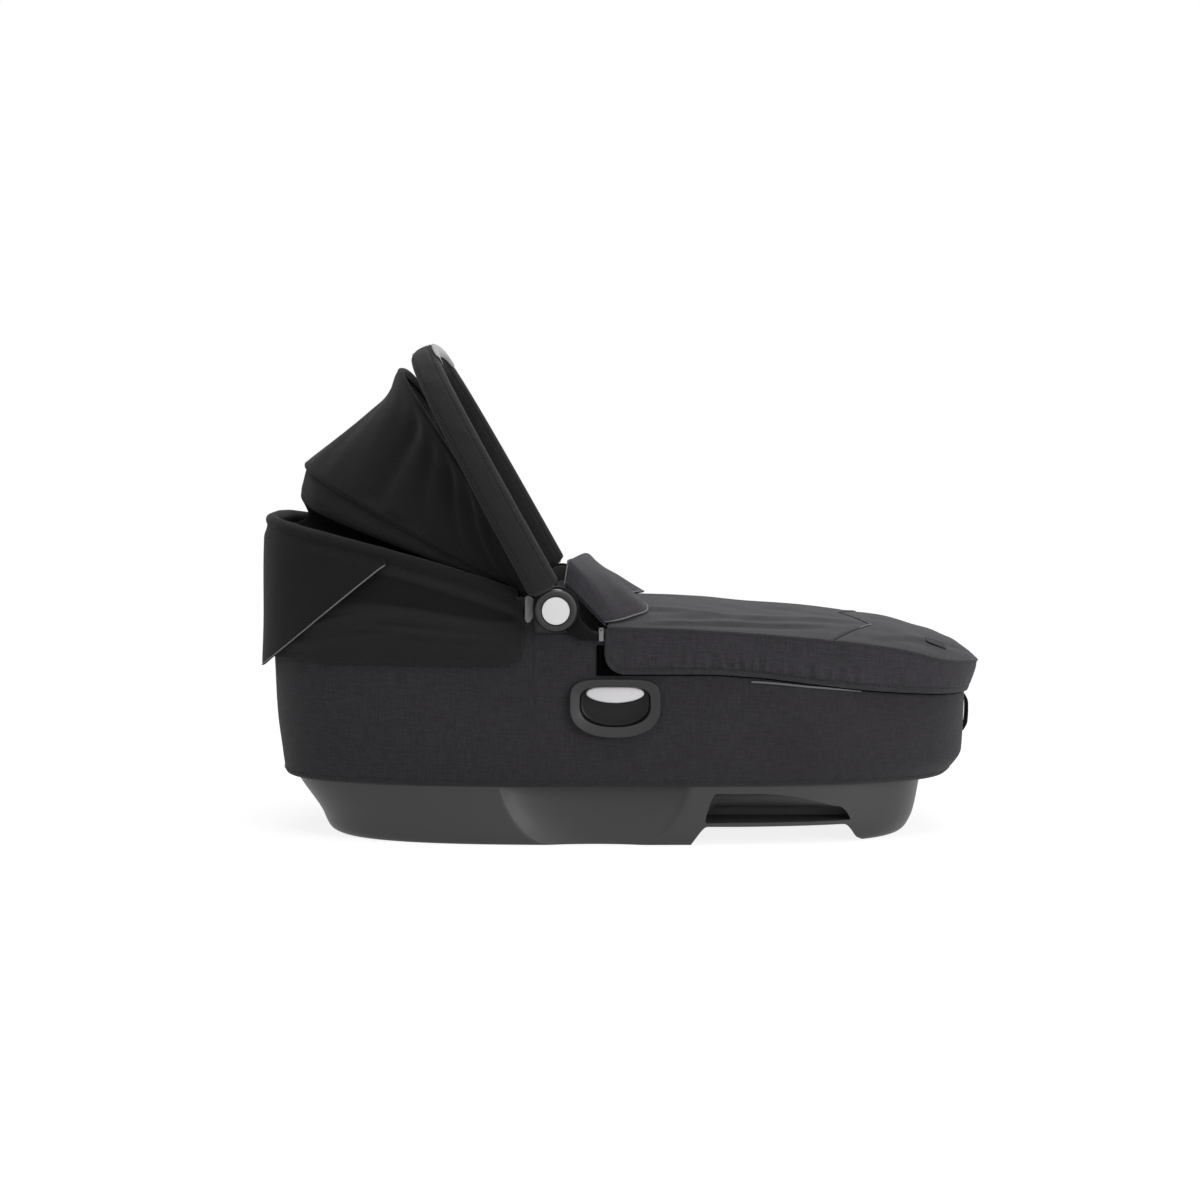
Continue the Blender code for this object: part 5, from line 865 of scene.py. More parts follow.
def around_bow(points, outward, forward, radius, degrees):
    """Rows round a bow: 0 degrees lies forward of it, 90 degrees outward."""
    turn = np.radians(degrees)[:, None, None]
    radius = np.broadcast_to(radius, (len(points),))[None, :, None]
    return points[None] + radius * (np.cos(turn) * forward + np.sin(turn) * outward[None])


def creased(along, creases, columns, seed):
    """Ridges that run from one column share to another as the rows go on, bell-shaped across."""
    draw = np.random.default_rng(seed)
    spread = np.abs(columns)[None]
    relief = np.zeros((len(along), len(columns)))
    for near, far, depth, width in creases:
        for side in (-1, 1):
            shift, scale = draw.uniform(-0.02, 0.02), draw.uniform(0.8, 1.1)
            middle = near + shift + (far - near) * along[:, None]
            valley = bell(spread - middle, width)
            crest = bell(spread - middle - 1.9 * width, 1.2 * width)
            relief += np.where(columns[None] * side > 0, scale * depth * (0.8 * crest - valley), 0)
    return relief


front_points, front_outward, front_forward = arch(*FRONT_ARCH, FRONT_BOW_START, HOOD_COLUMNS)
middle_points, middle_outward, middle_forward = arch(*MIDDLE_ARCH, HOOD_START, HOOD_COLUMNS)
tunnel_radius = 0.0039 - 0.0005 * eased(LEG_SHARE, 0.45, 0.85)
tunnel = around_bow(front_points, front_outward, front_forward, tunnel_radius, np.linspace(-165, 96, 30))
rib = around_bow(middle_points, middle_outward, middle_forward, MIDDLE_BOW_RADIUS + 0.0010,
                 np.linspace(84, 188, 14))
front_along = np.linspace(0, 1, 74)[1:-1]
straight = tunnel[-1][None] + front_along[:, None, None] * (rib[0] - tunnel[-1])[None]
inward = -facing(straight)
fold_depth = np.interp(front_along, [0, 0.05, 0.13, 0.23, 0.5, 0.75, 1.0],
                       [0, 0.0022, 0.0085, 0.0128, 0.0098, 0.0050, 0.0])
fold_depth = np.convolve(np.pad(fold_depth, 3, mode="edge"), np.ones(7) / 7, mode="valid")
dip = fold_depth[:, None] * (1 - 0.75 * eased(LEG_SHARE, 0.35, 0.95))[None]
window = (eased(front_along, 0, 0.14) * eased(1 - front_along, 0, 0.10))[:, None]
window = window * (1 - eased(LEG_SHARE, 0.93, 1.0))[None]
creases = creased(front_along, FRONT_CREASES, FRONT_COLUMNS, 5)
soft = ripples(FRONT_COLUMNS[None] * 0.43, front_along[:, None] * 0.16,
               [(0.09, 0.31), (0.14, 0.12), (0.05, 0.40)], 0.0014, 8)
field = straight + inward * ((dip - (creases + soft) * window))[..., None]
front_grid = np.concatenate([tunnel, field, rib])
hood_front = sheet_piece("hood_front_panel", front_grid, HOOD_THICKNESS - 0.0003 * eased(LEG_SHARE, 0.45, 0.85)[None],
                         hood_cloth, anchor=HUB)
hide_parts("hood_front_fabric")
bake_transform(hood_front)
print("front panel, one face in m2:", half_area(hood_front))

# %% [markdown]
# ## The hood's rear panel
# It hangs from the middle bow to the inside of the rim, and creases inwards half way down, where the
# hood folds away. Below that crease the cloth is drawn near black and dull: painted shade, for the
# shadow of the rolled rim.

# %% Hood rear panel
# Painted shade: a near-black, dull copy of the hood cloth for the lower rear panel, in the shadow of the rolled rim
hood_shade_cloth = cloth_look("hood_nylon_painted_shade", 0x060607, 0x0C0C0D, pitch=0.0016, fleck=0.3, sheen=0.0, rough=0.95, gloss=0.03)
REAR_FRONT_X = -0.125
rear_turns = plan_turns(HOOD_COLUMNS, REAR_FRONT_X, "head")
rear_along, rear_across = plan_unit(rear_turns)
rear_inset = 0.0095 + 0.0225 * (1 - np.abs(rear_across)) ** 0.5
rear_rim = np.stack([(HALF_LENGTH - rear_inset) * rear_along, (HALF_WIDTH - 0.0095) * rear_across,
                     rim_height(HALF_LENGTH * rear_along) - 0.004], axis=1)
if rear_rim[0, 1] > 0:
    rear_rim = rear_rim[::-1]
rear_top = around_bow(middle_points, middle_outward, middle_forward, MIDDLE_BOW_RADIUS + 0.0010,
                      np.linspace(262, 182, 8))
rear_share = np.linspace(0, 1, 60)[1:]
rear_straight = rear_top[-1][None] + rear_share[:, None, None] * (rear_rim - rear_top[-1])[None]
rear_inward = -facing(rear_straight)
rear_depth = np.interp(rear_share, [0, 0.15, 0.35, 0.52, 0.62, 0.75, 0.88, 1.0],
                       [0, -0.0010, -0.0022, -0.0006, 0.0060, 0.0130, 0.0105, 0.0])
rear_depth = np.convolve(np.pad(rear_depth, 2, mode="edge"), np.ones(5) / 5, mode="valid")
rear_hold = (1 - eased(LEG_SHARE, 0.86, 1.0))[None]
rear_soft = ripples(FRONT_COLUMNS[None] * 0.4, rear_share[:, None] * 0.12,
                    [(0.11, 0.22), (0.07, 0.30), (0.19, 0.09)], 0.0016, 21)
rear_window = (eased(rear_share, 0, 0.15) * eased(1 - rear_share, 0, 0.10))[:, None]
rear_field = rear_straight + rear_inward * ((rear_depth[:, None] + rear_soft * rear_window) * rear_hold)[..., None]
hood_rear = sheet_piece("hood_rear_panel", np.concatenate([rear_top, rear_field]), HOOD_THICKNESS, hood_cloth,
                        anchor=HUB)
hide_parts("hood_rear_fabric")
# Faces below the crease take the painted shade cloth
hood_rear.data.materials.append(hood_shade_cloth)
rear_rows = len(rear_top) + len(rear_field) - 1
row_of_face = np.tile(np.repeat(np.arange(rear_rows), HOOD_COLUMNS - 1), 2)
hood_rear.data.polygons.foreach_set("material_index", (row_of_face > 0.56 * rear_rows + 4).astype(np.int32))
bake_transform(hood_rear)
print("rear panel, one face in m2:", half_area(hood_rear))

# %% [markdown]
# ## The rolled rim, and the slim rim under the boot cover
# The rim's edge is rolled over a soft cord and stitched under. A bevelled curve would give a
# perfectly even pipe, and real cloth over a cord isn't even: circles are carried along the rim, and
# their radius wavers by a third of a millimetre.

# %% Rims
def rolled(name, path, radius, look, waver, seed, around=20):
    """A cord of cloth whose radius wavers along its length by a sum of sines."""
    walk = walk_along(path)
    turn = full_turn(around)
    tangent, side, up = frames_along(path, UP)
    near = np.clip(np.minimum(walk, walk[-1] - walk) / radius, 0, 1)
    size = (radius * np.maximum(np.sqrt(1 - (1 - near) ** 2), 0.15))[:, None]
    size = size + waver * ripples(walk[:, None], radius * np.sin(turn)[None], [(0.05, 0.06), (0.031, 0.04),
                                                                              (0.11, 0.05)], 1.0, seed)
    size = np.minimum(size, radius + waver)
    ring = np.cos(turn)[None, :, None] * side[:, None] + np.sin(turn)[None, :, None] * up[:, None]
    return ring_piece(name, path[:, None] + ring * size[..., None], look)


def rim_path(turns, inset, drop):
    """The rim's line, moved in and down."""
    along, across = plan_unit(turns)
    return np.stack([(HALF_LENGTH - inset) * along, (HALF_WIDTH - inset) * across,
                     rim_height(HALF_LENGTH * along) - drop], axis=1)


ROLL_OUTSET, ROLL_FRONT_X = 0.0012, -0.118
roll = rolled("rim_roll_cloth", rim_path(plan_turns(300, ROLL_FRONT_X, "head"), -ROLL_OUTSET, 0.0), ROLL_RADIUS,
              hood_cloth, 0.0003, 4)
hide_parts("rim_roll")
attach(roll, "tub")
foot_rim = rolled("foot_rim_cloth", rim_path(plan_turns(260, 0.002, "foot"), 0.0028, 0.0032), 0.0035, cover_cloth,
                  0.0001, 6, around=12)
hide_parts("foot_rim")
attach(foot_rim, "tub")
print("rolled rim and foot rim")

# %% [markdown]
# ## The hood's skirt
# The hood's cloth goes on below the rim and hangs outside the body. It is tucked in under the roll,
# bellies out lower down in soft level wrinkles, and has a turned hem with a row of stitching, which
# turns up at the front corners. It could be pinned and simulated; the wrinkles are known from the
# photograph, so they are drawn in.

# %% Hood skirt
SKIRT_FRONT_X, SKIRT_HEM = -0.1115, 0.2155
SKIRT_THICKNESS = 0.0018
SEAM_IN = 0.0093
skirt_turns = plan_turns(420, SKIRT_FRONT_X, "head")
skirt_x = HALF_LENGTH * plan_unit(skirt_turns)[0]
skirt_walk = walk_along(rim_path(skirt_turns, 0, 0)[:, :2])
from_front = np.minimum(skirt_walk, skirt_walk[-1] - skirt_walk)


def corner_rise(distance, radius):
    """How far a hem climbs at a rounded corner: a quarter circle of the given radius."""
    near = np.clip(1 - distance / radius, 0, 1)
    return radius * (1 - np.sqrt(1 - near**2))


skirt_hem = SKIRT_HEM + corner_rise(from_front, 0.019)
skirt_top = rim_height(skirt_x) - RIM_DROP + 0.004
skirt_share = fine_shares(70, 0.1, SKIRT_THICKNESS)[:, None]
skirt_z = skirt_top[None] + skirt_share * (skirt_hem - skirt_top)[None]
below_top = skirt_top[None] - skirt_z
above_hem = skirt_z - skirt_hem[None]
ledge = skirt_hem + 0.052 + 0.020 * eased(-skirt_x, 0.12, 0.30)
belly = 0.0054 * (1 - eased(skirt_z, ledge[None] - 0.016, ledge[None])) * (1 - 0.55 * eased(skirt_share, 0.80, 1.0))
strip = 0.0024 * bell(below_top - 0.0135, 0.0048) * eased(skirt_x, -0.29, -0.23)[None]
hollow = -0.0010 * bell(below_top - 0.023, 0.006)
border = np.minimum(above_hem, from_front[None] * 1.05 + 0.001)
level = np.zeros_like(skirt_z)
# Height above the hem, length, place along the skirt, slope and depth of each level wrinkle
for height, length, place, slope, depth in ((0.036, 0.085, 0.12, 0.10, 0.0016), (0.026, 0.060, 0.20, -0.12, 0.0013),
                                            (0.044, 0.070, 0.24, -0.16, 0.0015), (0.020, 0.050, 0.09, 0.05, 0.0009),
                                            (0.031, 0.070, 0.33, 0.14, 0.0012), (0.052, 0.060, 0.16, -0.08, 0.0010)):
    for walk in (skirt_walk, skirt_walk[-1] - skirt_walk):
        offset = above_hem - height - slope * (walk - place)[None]
        level += depth * bell(offset, 0.0042) * bell(walk - place, length)[None]
        level -= 0.7 * depth * bell(offset - 0.0075, 0.004) * bell(walk - place, length)[None]
skirt_soft = ripples(skirt_walk[None], skirt_z, [(0.16, 0.05), (0.09, 0.07), (0.23, 0.03)], 0.0007, 13)
inside_border = eased(border, 0.009, 0.02) * eased(skirt_share, 0.06, 0.2)
skirt_outset = 0.0022 + belly * eased(from_front, 0.0, 0.012)[None] + strip
skirt_outset = skirt_outset + (hollow + 1.5 * level + skirt_soft) * inside_border
skirt_grid = wall_points(skirt_turns[None], skirt_z, -skirt_outset)
skirt_groove = -0.0007 * bell(border - SEAM_IN, 0.0009) * (border > 0.004)
# Painted shade: where the attribute tucked is 1, in the hollow under the roll, the skirt's colour is mixed to near
# black
skirt_cloth = cloth_look("fine_woven_nylon_painted_shade", 0x18181A, 0x252527, fleck=0.3, relief=0.00018, shaded="tucked")
skirt = sheet_piece("hood_skirt_cloth", skirt_grid, SKIRT_THICKNESS, skirt_cloth, outer_relief=skirt_groove)
# Mask of the painted shade: the band between the roll and the skirt's ledge, away from the front edges
tucked = eased(below_top, 0.016, 0.021) * eased(
    skirt_z, ledge[None] - 0.006, ledge[None] + 0.001) * eased(from_front, 0.004, 0.012)[None]
add_share(skirt, "tucked", tucked)
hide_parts("hood_skirt")
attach(skirt, "tub")

inset_walk = np.clip(skirt_walk, 0.008, skirt_walk[-1] - 0.008)
line_turns = np.interp(inset_walk, skirt_walk, skirt_turns)
line_rise = SEAM_IN + corner_rise(np.minimum(inset_walk, skirt_walk[-1] - inset_walk) - 0.008, 0.012)
skirt_line = wall_points(line_turns, SKIRT_HEM + line_rise, -0.0050)[8:-8]
skirt_stitch = stitch_piece("hood_skirt_stitch", skirt_line, line_facing(skirt_line))
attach(skirt_stitch, "tub")
print("skirt, one face in m2:", half_area(skirt))

# %% [markdown]
# ## The rear curtain
# A pointed flap hangs from under the rolled rim round the head end, flares a little towards its tip,
# and its slanting edges carry a pale piping. Its cut is a long triangle on each side, so it is drawn
# as a sheet whose hem climbs evenly from the tip to the rim.

# %% Rear curtain and its piping
CURTAIN_FRONT_X, CURTAIN_TIP, CURTAIN_FLARE, CURTAIN_THICKNESS = -0.267, 0.200, 0.0042, 0.0016
curtain_turns = plan_turns(320, CURTAIN_FRONT_X, "head")
curtain_x = HALF_LENGTH * plan_unit(curtain_turns)[0]
curtain_front = (curtain_x + HALF_LENGTH) / (CURTAIN_FRONT_X + HALF_LENGTH)
curtain_end = float(rim_height(CURTAIN_FRONT_X)) - 0.010
curtain_hem = CURTAIN_TIP + curtain_front * (curtain_end - CURTAIN_TIP)
curtain_top = rim_height(curtain_x) - 0.0045
curtain_share = fine_shares(44, 0.14, CURTAIN_THICKNESS)[:, None]
curtain_z = curtain_top[None] + curtain_share * (curtain_hem - curtain_top)[None]
curtain_drop = curtain_top[None] - curtain_z
curtain_outset = (0.0062 + 0.0036 * eased(curtain_drop, 0.001, 0.016)
                  + CURTAIN_FLARE * curtain_share * (1 - curtain_front)[None]
                  + ripples(np.linspace(0, 0.6, 320)[None], curtain_z, [(0.17, 0.20), (0.11, 0.31)], 0.0008, 31)
                  * eased(curtain_drop, 0.01, 0.04))
curtain_grid = wall_points(curtain_turns[None], curtain_z, -curtain_outset)
curtain = sheet_piece("rear_curtain_cloth", curtain_grid, CURTAIN_THICKNESS, hood_cloth)
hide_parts("rear_curtain")
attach(curtain, "tub")
curtain_edge = curtain_grid[-1] + facing(curtain_grid)[-1] * 0.0004 - [0, 0, 0.0002]
curtain_piping = cord_piece("rear_curtain_piping", curtain_edge, UP, 0.0009, piping_cloth)
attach(curtain_piping, "tub")
print("curtain, one face in m2:", half_area(curtain))

# %% [markdown]
# ## The padded handle
# A jersey sleeve over foam round the oval tube, sewn up along both edges of its outer face, with
# the puckers that such seams make. A curve with a bevel would be too even and has no seams: here an
# oval section is carried along the arch, and grooves, puckers and soft dents are pressed into it.

# %% Handle sleeve with its seams
SLEEVE_START, SLEEVE_STATIONS, SLEEVE_AROUND, SLEEVE_POWER = 0.0258, 264, 64, 2.5
SLEEVE_HALF_DEPTH, SLEEVE_LEG, SLEEVE_CROWN = 0.0110, 0.0190, 0.0152
TUBE_HALF_WIDTH, TUBE_HALF_DEPTH = 0.0120, 0.0072
SEAM_SHARE = 0.62
handle_points, handle_outward, handle_forward = arch(*HANDLE_ARCH, SLEEVE_START, SLEEVE_STATIONS)
handle_walk = walk_along(handle_points)
crown_share = 1 - np.abs(np.linspace(-1, 1, SLEEVE_STATIONS))
sleeve_width = SLEEVE_LEG + (SLEEVE_CROWN - SLEEVE_LEG) * crown_share


def oval(turn, half_depth, half_width):
    """Superellipse section: depth along the outward way, width along the forward way."""
    exponent = 2 / SLEEVE_POWER
    deep = half_depth * np.sign(np.cos(turn)) * np.abs(np.cos(turn)) ** exponent
    wide = half_width * np.sign(np.sin(turn)) * np.abs(np.sin(turn)) ** exponent
    return deep, wide


def section_rings(points, outward, forward, deep, wide):
    """A section given in two directions, set at every point of a path."""
    return points[:, None] + deep[..., None] * outward[:, None] + wide[..., None] * forward


sleeve_turn = full_turn(SLEEVE_AROUND)[None]
end_near = np.clip(np.minimum(handle_walk, handle_walk[-1] - handle_walk) / 0.006, 0, 1)[:, None]
end_round = np.sqrt(1 - (1 - end_near) ** 2)
bore_deep, bore_wide = oval(sleeve_turn, TUBE_HALF_DEPTH + GAP, TUBE_HALF_WIDTH + GAP)
skin_deep, skin_wide = oval(sleeve_turn, SLEEVE_HALF_DEPTH, sleeve_width[:, None])
wide_share = skin_wide / sleeve_width[:, None]
on_face = bell(np.abs(wide_share) - SEAM_SHARE, 0.045)
along_seam = np.sin(2 * math.pi * handle_walk[:, None] / 0.0125 + 1.3 * np.sign(wide_share))
dents = ripples(handle_walk[:, None], wide_share * 0.02, [(0.055, 0.08), (0.034, 0.05), (0.09, 0.03)], 0.0005, 17)
press = 1 - (0.085 * on_face * (1 + 0.30 * along_seam)) + dents / SLEEVE_HALF_DEPTH
skin_deep = bore_deep + (skin_deep * press - bore_deep) * end_round
skin_wide = bore_wide + (skin_wide - bore_wide) * end_round
outer_rings = section_rings(handle_points, handle_outward, handle_forward, skin_deep, skin_wide)
inner_rings = section_rings(handle_points, handle_outward, handle_forward,
                            np.broadcast_to(bore_deep, skin_deep.shape), np.broadcast_to(bore_wide, skin_wide.shape))
sleeve = ring_piece("handle_sleeve_jersey", np.concatenate([outer_rings, inner_rings[1:-1][::-1]]), sleeve_cloth,
                    looped=True)
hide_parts("handle_sleeve")
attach(sleeve, "handle")
for word, side in (("head", -1), ("foot", 1)):
    seam_deep, _ = oval(np.array([math.asin(SEAM_SHARE ** (SLEEVE_POWER / 2))]), SLEEVE_HALF_DEPTH, 1.0)
    seam_path = (handle_points + handle_outward * (seam_deep[0] * 0.965)
                 + (side * (SEAM_SHARE * sleeve_width + 0.0011))[:, None] * handle_forward)[6:-6]
    stitch = stitch_piece(f"handle_stitch_{word}", seam_path, handle_outward[6:-6], radius=0.0004)
    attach(stitch, "handle")
print("sleeve faces", len(sleeve.data.polygons))

# %% [markdown]
# ## The grip panel
# On the crown's front a pale elastomer pad is moulded over the sleeve, with fine ribs for the
# fingers. It is bent round the sleeve's section, with its ends drawn in.

# %% Grip panel on the crown
GRIP_HALF_ANGLE, GRIP_THICKNESS, GRIP_RIBS = math.radians(40), 0.0015, 11
grip_reach = handle_walk[-1] * 3 / 22
grip_places = np.linspace(-1, 1, 121)
grip_walk = handle_walk[-1] / 2 + grip_places * grip_reach


def at_walk(values):
    """Values along the sleeve, read off at the grip's places."""
    return np.stack([np.interp(grip_walk, handle_walk, values[:, axis]) for axis in range(3)], axis=1)


grip_width = np.interp(grip_walk, handle_walk, sleeve_width) + LOOSE_GAP + GRIP_THICKNESS / 2
grip_span = GRIP_HALF_ANGLE * (1 - 0.30 * np.abs(grip_places) ** 14)
grip_turn = math.pi / 2 + np.linspace(-1, 1, 33)[None] * grip_span[:, None]
grip_deep, grip_wide = oval(grip_turn, SLEEVE_HALF_DEPTH + LOOSE_GAP + GRIP_THICKNESS / 2, grip_width[:, None])
grip_grid = section_rings(at_walk(handle_points), at_walk(handle_outward), handle_forward, grip_deep, grip_wide)
grip_ribs = 0.00035 * np.clip(np.cos(grip_places * math.pi * GRIP_RIBS), 0, 1)[:, None] * (
    1 - eased(np.abs(np.linspace(-1, 1, 33)), 0.70, 0.85))[None] * (np.abs(grip_places) < 0.86)[:, None]
grip = sheet_piece("handle_grip_pad", grip_grid, GRIP_THICKNESS, grip_rubber, outer_relief=grip_ribs,
                   anchor=np.asarray(handle_points[len(handle_points) // 2]))
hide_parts("handle_grip")
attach(grip, "handle")
print("grip faces", len(grip.data.polygons))

# %% [markdown]
# ## The boot cover's top
# The cover over the baby's legs is lightly padded cloth: a crowned top in two panels, joined by a
# seam that points to the foot on each side, with a thin welt where it meets the skirt. A subdivided
# box would be crowned too, but not along this rim, so the crown is a formula over the rim's own
# height, and long soft folds run from the collar towards the foot as the cloth pulls.

# %% Boot cover's panels
BOOT_REACH, BOOT_HALF_WIDTH, BOOT_LIFT, BOOT_CROWN, BOOT_THICKNESS = 0.4350, 0.1935, 0.002, 0.0266, 0.0025
CROWN_TABLE = np.array([(-0.05, 0.74), (0.12, 0.75), (0.23, 0.72), (0.37, 0.60), (0.51, 0.68), (0.66, 0.74),
                        (0.79, 0.84), (0.88, 0.82), (0.94, 0.52), (0.975, 0.26), (1.0, 0.0)])
HEM_TABLE = np.array([(0.0, 1.0), (0.21, 1.0), (0.35, 0.90), (0.52, 0.61), (0.67, 0.36), (0.83, 0.17), (1.0, 0.0)])
BOOT_HEAD_X, BOOT_END_X = -0.015, 0.43375
END_DROP, END_TAPER = 0.0040, 0.0105


def end_drop(x):
    """How far the cover sinks over its last few centimetres at the foot."""
    return END_DROP * eased(x, 0.410, BOOT_REACH)


def boot_hem(x):
    """Height of the skirt's hem, which dips from the front towards the foot."""
    return 0.172 + 0.033 * through(HEM_TABLE, np.clip(x / BOOT_REACH, 0, 1))


# Where each long fold starts and ends (place along, share across), its depth and its half width
BOOT_FOLDS = np.array([(0.02, -0.93, 0.24, -0.70, 0.0022, 0.045), (0.05, -0.70, 0.29, -0.42, 0.0018, 0.060),
                       (0.02, 0.90, 0.22, 0.66, 0.0020, 0.050), (0.07, 0.62, 0.27, 0.36, 0.0016, 0.060),
                       (0.09, -0.20, 0.26, 0.08, 0.0013, 0.070), (0.30, -0.82, 0.40, -0.55, 0.0014, 0.060),
                       (0.31, 0.80, 0.40, 0.50, 0.0014, 0.060), (0.02, -0.52, 0.12, -0.60, 0.0014, 0.05)])


def boot_half_width(x):
    """Half the cover's width at a station: a superellipse in plan."""
    share = np.clip(np.abs(x) / BOOT_REACH, 0, 1)
    return BOOT_HALF_WIDTH * (1 - share**PLAN_POWER) ** (1 / PLAN_POWER)


def boot_surface(x, across):
    """The rim's height plus a crown that falls off with the 2.6 power of the share across."""
    crown = BOOT_CROWN * through(CROWN_TABLE, x / BOOT_REACH)
    height = rim_height(x) + BOOT_LIFT + crown * (1 - np.abs(across) ** 2.6)
    return np.stack(np.broadcast_arrays(x, across * boot_half_width(x), height), axis=-1)


def boot_seam(across):
    """Straight lines out to a point at half the width, and back to the sides."""
    spread = np.abs(across)
    return np.where(spread < 0.5, 0.270 + 0.030 * spread / 0.5, 0.300 - 0.055 * (spread - 0.5) / 0.5)


def long_folds(x, across):
    """Bell-shaped ridges along slanting lines, each with a valley beside it, fading at both ends."""
    total = np.zeros(np.broadcast(x, across).shape)
    for first_x, first, last_x, last, depth, width in BOOT_FOLDS:
        way = (x - first_x) / (last_x - first_x)
        offset = across - (first + (last - first) * way)
        fade = eased(way, -0.15, 0.25) * (1 - eased(way, 0.75, 1.15))
        total += depth * fade * (bell(offset, width)
                                 - 0.7 * bell(offset - 1.7 * width * np.sign(last), width))
    return total


BOOT_ACROSS = np.sin(np.linspace(-1, 1, 141) * math.pi / 2)


def boot_panel(name, first_x, last_x, shares):
    """A panel of the boot cover between two stations, with its folds and its sewn-down border."""
    across = BOOT_ACROSS[None]
    x = first_x + shares[:, None] * (last_x - first_x)
    grid = boot_surface(x, np.broadcast_to(across, x.shape)) - [0.0, 0.0, BOOT_THICKNESS / 2]
    near = np.minimum(np.abs(x - first_x), np.abs(x - last_x))
    hold = eased(near, 0.001, 0.020) * (1 - eased(np.abs(across), 0.88, 0.985))
    soft = ripples(x, across * 0.19, [(0.16, 0.11), (0.10, 0.07), (0.30, 0.05)], 0.0008, 44)
    grid[..., 2] += (long_folds(x, across) + soft) * hold
    grid[..., 2] -= 0.0009 * bell(near, 0.0035) * (np.abs(first_x - BOOT_HEAD_X) + near > 0)
    grid[..., 2] -= 0.0005 * eased(np.abs(across), 0.985, 1.0) + end_drop(x)
    piece = sheet_piece(name, grid, BOOT_THICKNESS, boot_cloth)
    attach(piece, "boot_cover")
    return piece


seam_x = boot_seam(BOOT_ACROSS)[None]
top_panel = boot_panel("boot_top_panel_cloth", BOOT_HEAD_X, seam_x - GAP, fine_shares(130, 0.28, BOOT_THICKNESS))
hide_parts("boot_top_panel")
foot_shares = 1 - (1 - fine_shares(70, 0.16, BOOT_THICKNESS)) ** 1.9
foot_panel = boot_panel("boot_foot_panel_cloth", seam_x + GAP, BOOT_END_X, foot_shares)
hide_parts("boot_foot_panel")
print("panels, one face in m2:", half_area(top_panel), half_area(foot_panel))

# %% The seam's welt, with pale piping at its two points
seam_dense = np.linspace(-0.985, 0.985, 260)
seam_path = boot_surface(boot_seam(seam_dense), seam_dense) - [0.0, 0.0, 0.0004]
welt = cord_piece("boot_seam_welt", seam_path, UP, 0.0007, boot_cloth, around=8)
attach(welt, "boot_cover")
for word, side in SIDES:
    point_across = side * np.linspace(0.34, 0.66, 60)
    point_path = boot_surface(boot_seam(point_across), point_across) + [0.0, 0.0, 0.0003]
    point_piping = cord_piece(f"boot_point_piping_{word}", point_path, UP, 0.0009, piping_cloth,
                              around=8)
    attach(point_piping, "boot_cover")
print("seam points at x", round(float(boot_seam(np.array(0.5))), 3))

# %% [markdown]
# ## The boot cover's skirt
# A straight strip sewn to the top and gathered slightly, so that its hem hugs the body: small
# upright puckers stand above the hem's stitching along the middle of the side. They come from
# thread tension, not from a fold, so they are drawn as a row of narrow bells, uneven in height.

# %% Boot skirt with puckers, hem and welt
BOOT_SKIRT_FRONT_X, BOOT_WALL, BOOT_GATHER = -0.0185, 0.003, 0.0007
BOOT_SKIRT_THICKNESS, BOOT_SEAM_IN = 0.0022, 0.0068
boot_turns = plan_turns(560, BOOT_SKIRT_FRONT_X, "foot")
boot_walk = walk_along(rim_path(boot_turns, -0.012, 0)[:, :2])
boot_from_front = np.minimum(boot_walk, boot_walk[-1] - boot_walk)


def boot_skirt_points(turns, outset, share, rise):
    """The drop from under the panel's edge to the hem, a superellipse in plan at every height."""
    along, across = plan_unit(turns)
    x = (BOOT_REACH - BOOT_WALL + outset) * along
    taper = END_TAPER * share**1.3 * eased(along, 0.80, 1.0)
    hem = boot_hem(x) + rise
    top = rim_height(x) + BOOT_LIFT - BOOT_THICKNESS - LOOSE_GAP - end_drop(x)
    gather = BOOT_GATHER * np.sin(7 * turns) * share
    y = (BOOT_HALF_WIDTH - BOOT_WALL + outset + gather) * across
    return np.stack(np.broadcast_arrays(x - taper, y, top + share * (hem - top)), axis=-1)


boot_rise = corner_rise(boot_from_front, 0.024)
boot_share = fine_shares(54, 0.06, BOOT_SKIRT_THICKNESS)[:, None]
boot_grid = boot_skirt_points(boot_turns[None], 0.0015, boot_share, boot_rise[None])
boot_hem_z = boot_grid[-1, :, 2]
above_boot_hem = boot_grid[..., 2] - boot_hem_z[None]
boot_border = np.minimum(above_boot_hem, boot_from_front[None] + 0.0005)
boot_side_x = boot_grid[0, :, 0]
draw = np.random.default_rng(12)
puckers = np.zeros_like(boot_share * boot_walk[None])
for place in np.arange(0.045, boot_walk[-1] - 0.04, 0.0115):
    place = place + draw.uniform(-0.003, 0.003)
    middle_x = float(np.interp(place, boot_walk, boot_side_x))
    strength = 0.0004 + 0.0024 * float(eased(middle_x, 0.02, 0.09) * (1 - eased(middle_x, 0.24, 0.33)))
    width, lean, tall = draw.uniform(0.0022, 0.0040), draw.uniform(-0.25, 0.25), draw.uniform(0.006, 0.012)
    offset = boot_walk[None] - place - lean * (above_boot_hem - BOOT_SEAM_IN)
    fade = bell(above_boot_hem - BOOT_SEAM_IN - 0.004, tall)
    puckers += draw.uniform(0.6, 1.2) * strength * bell(offset, width) * fade
boot_soft = ripples(boot_walk[None], boot_grid[..., 2], [(0.19, 0.09), (0.12, 0.05), (0.31, 0.07)], 0.0008, 71)
boot_inside = eased(boot_border, 0.006, 0.012) * eased(boot_share, 0.03, 0.2)
boot_grid += facing(boot_grid, anchor=MIDDLE_OF_CABIN) * (boot_soft * boot_inside)[..., None]
boot_groove = (puckers * eased(boot_border, 0.0062, 0.009)
               - 0.0006 * bell(boot_border - BOOT_SEAM_IN, 0.0008) * (boot_border > 0.003))
boot_skirt = sheet_piece("boot_skirt_cloth", boot_grid, BOOT_SKIRT_THICKNESS, boot_cloth, outer_relief=boot_groove)
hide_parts("boot_skirt")
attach(boot_skirt, "boot_cover")

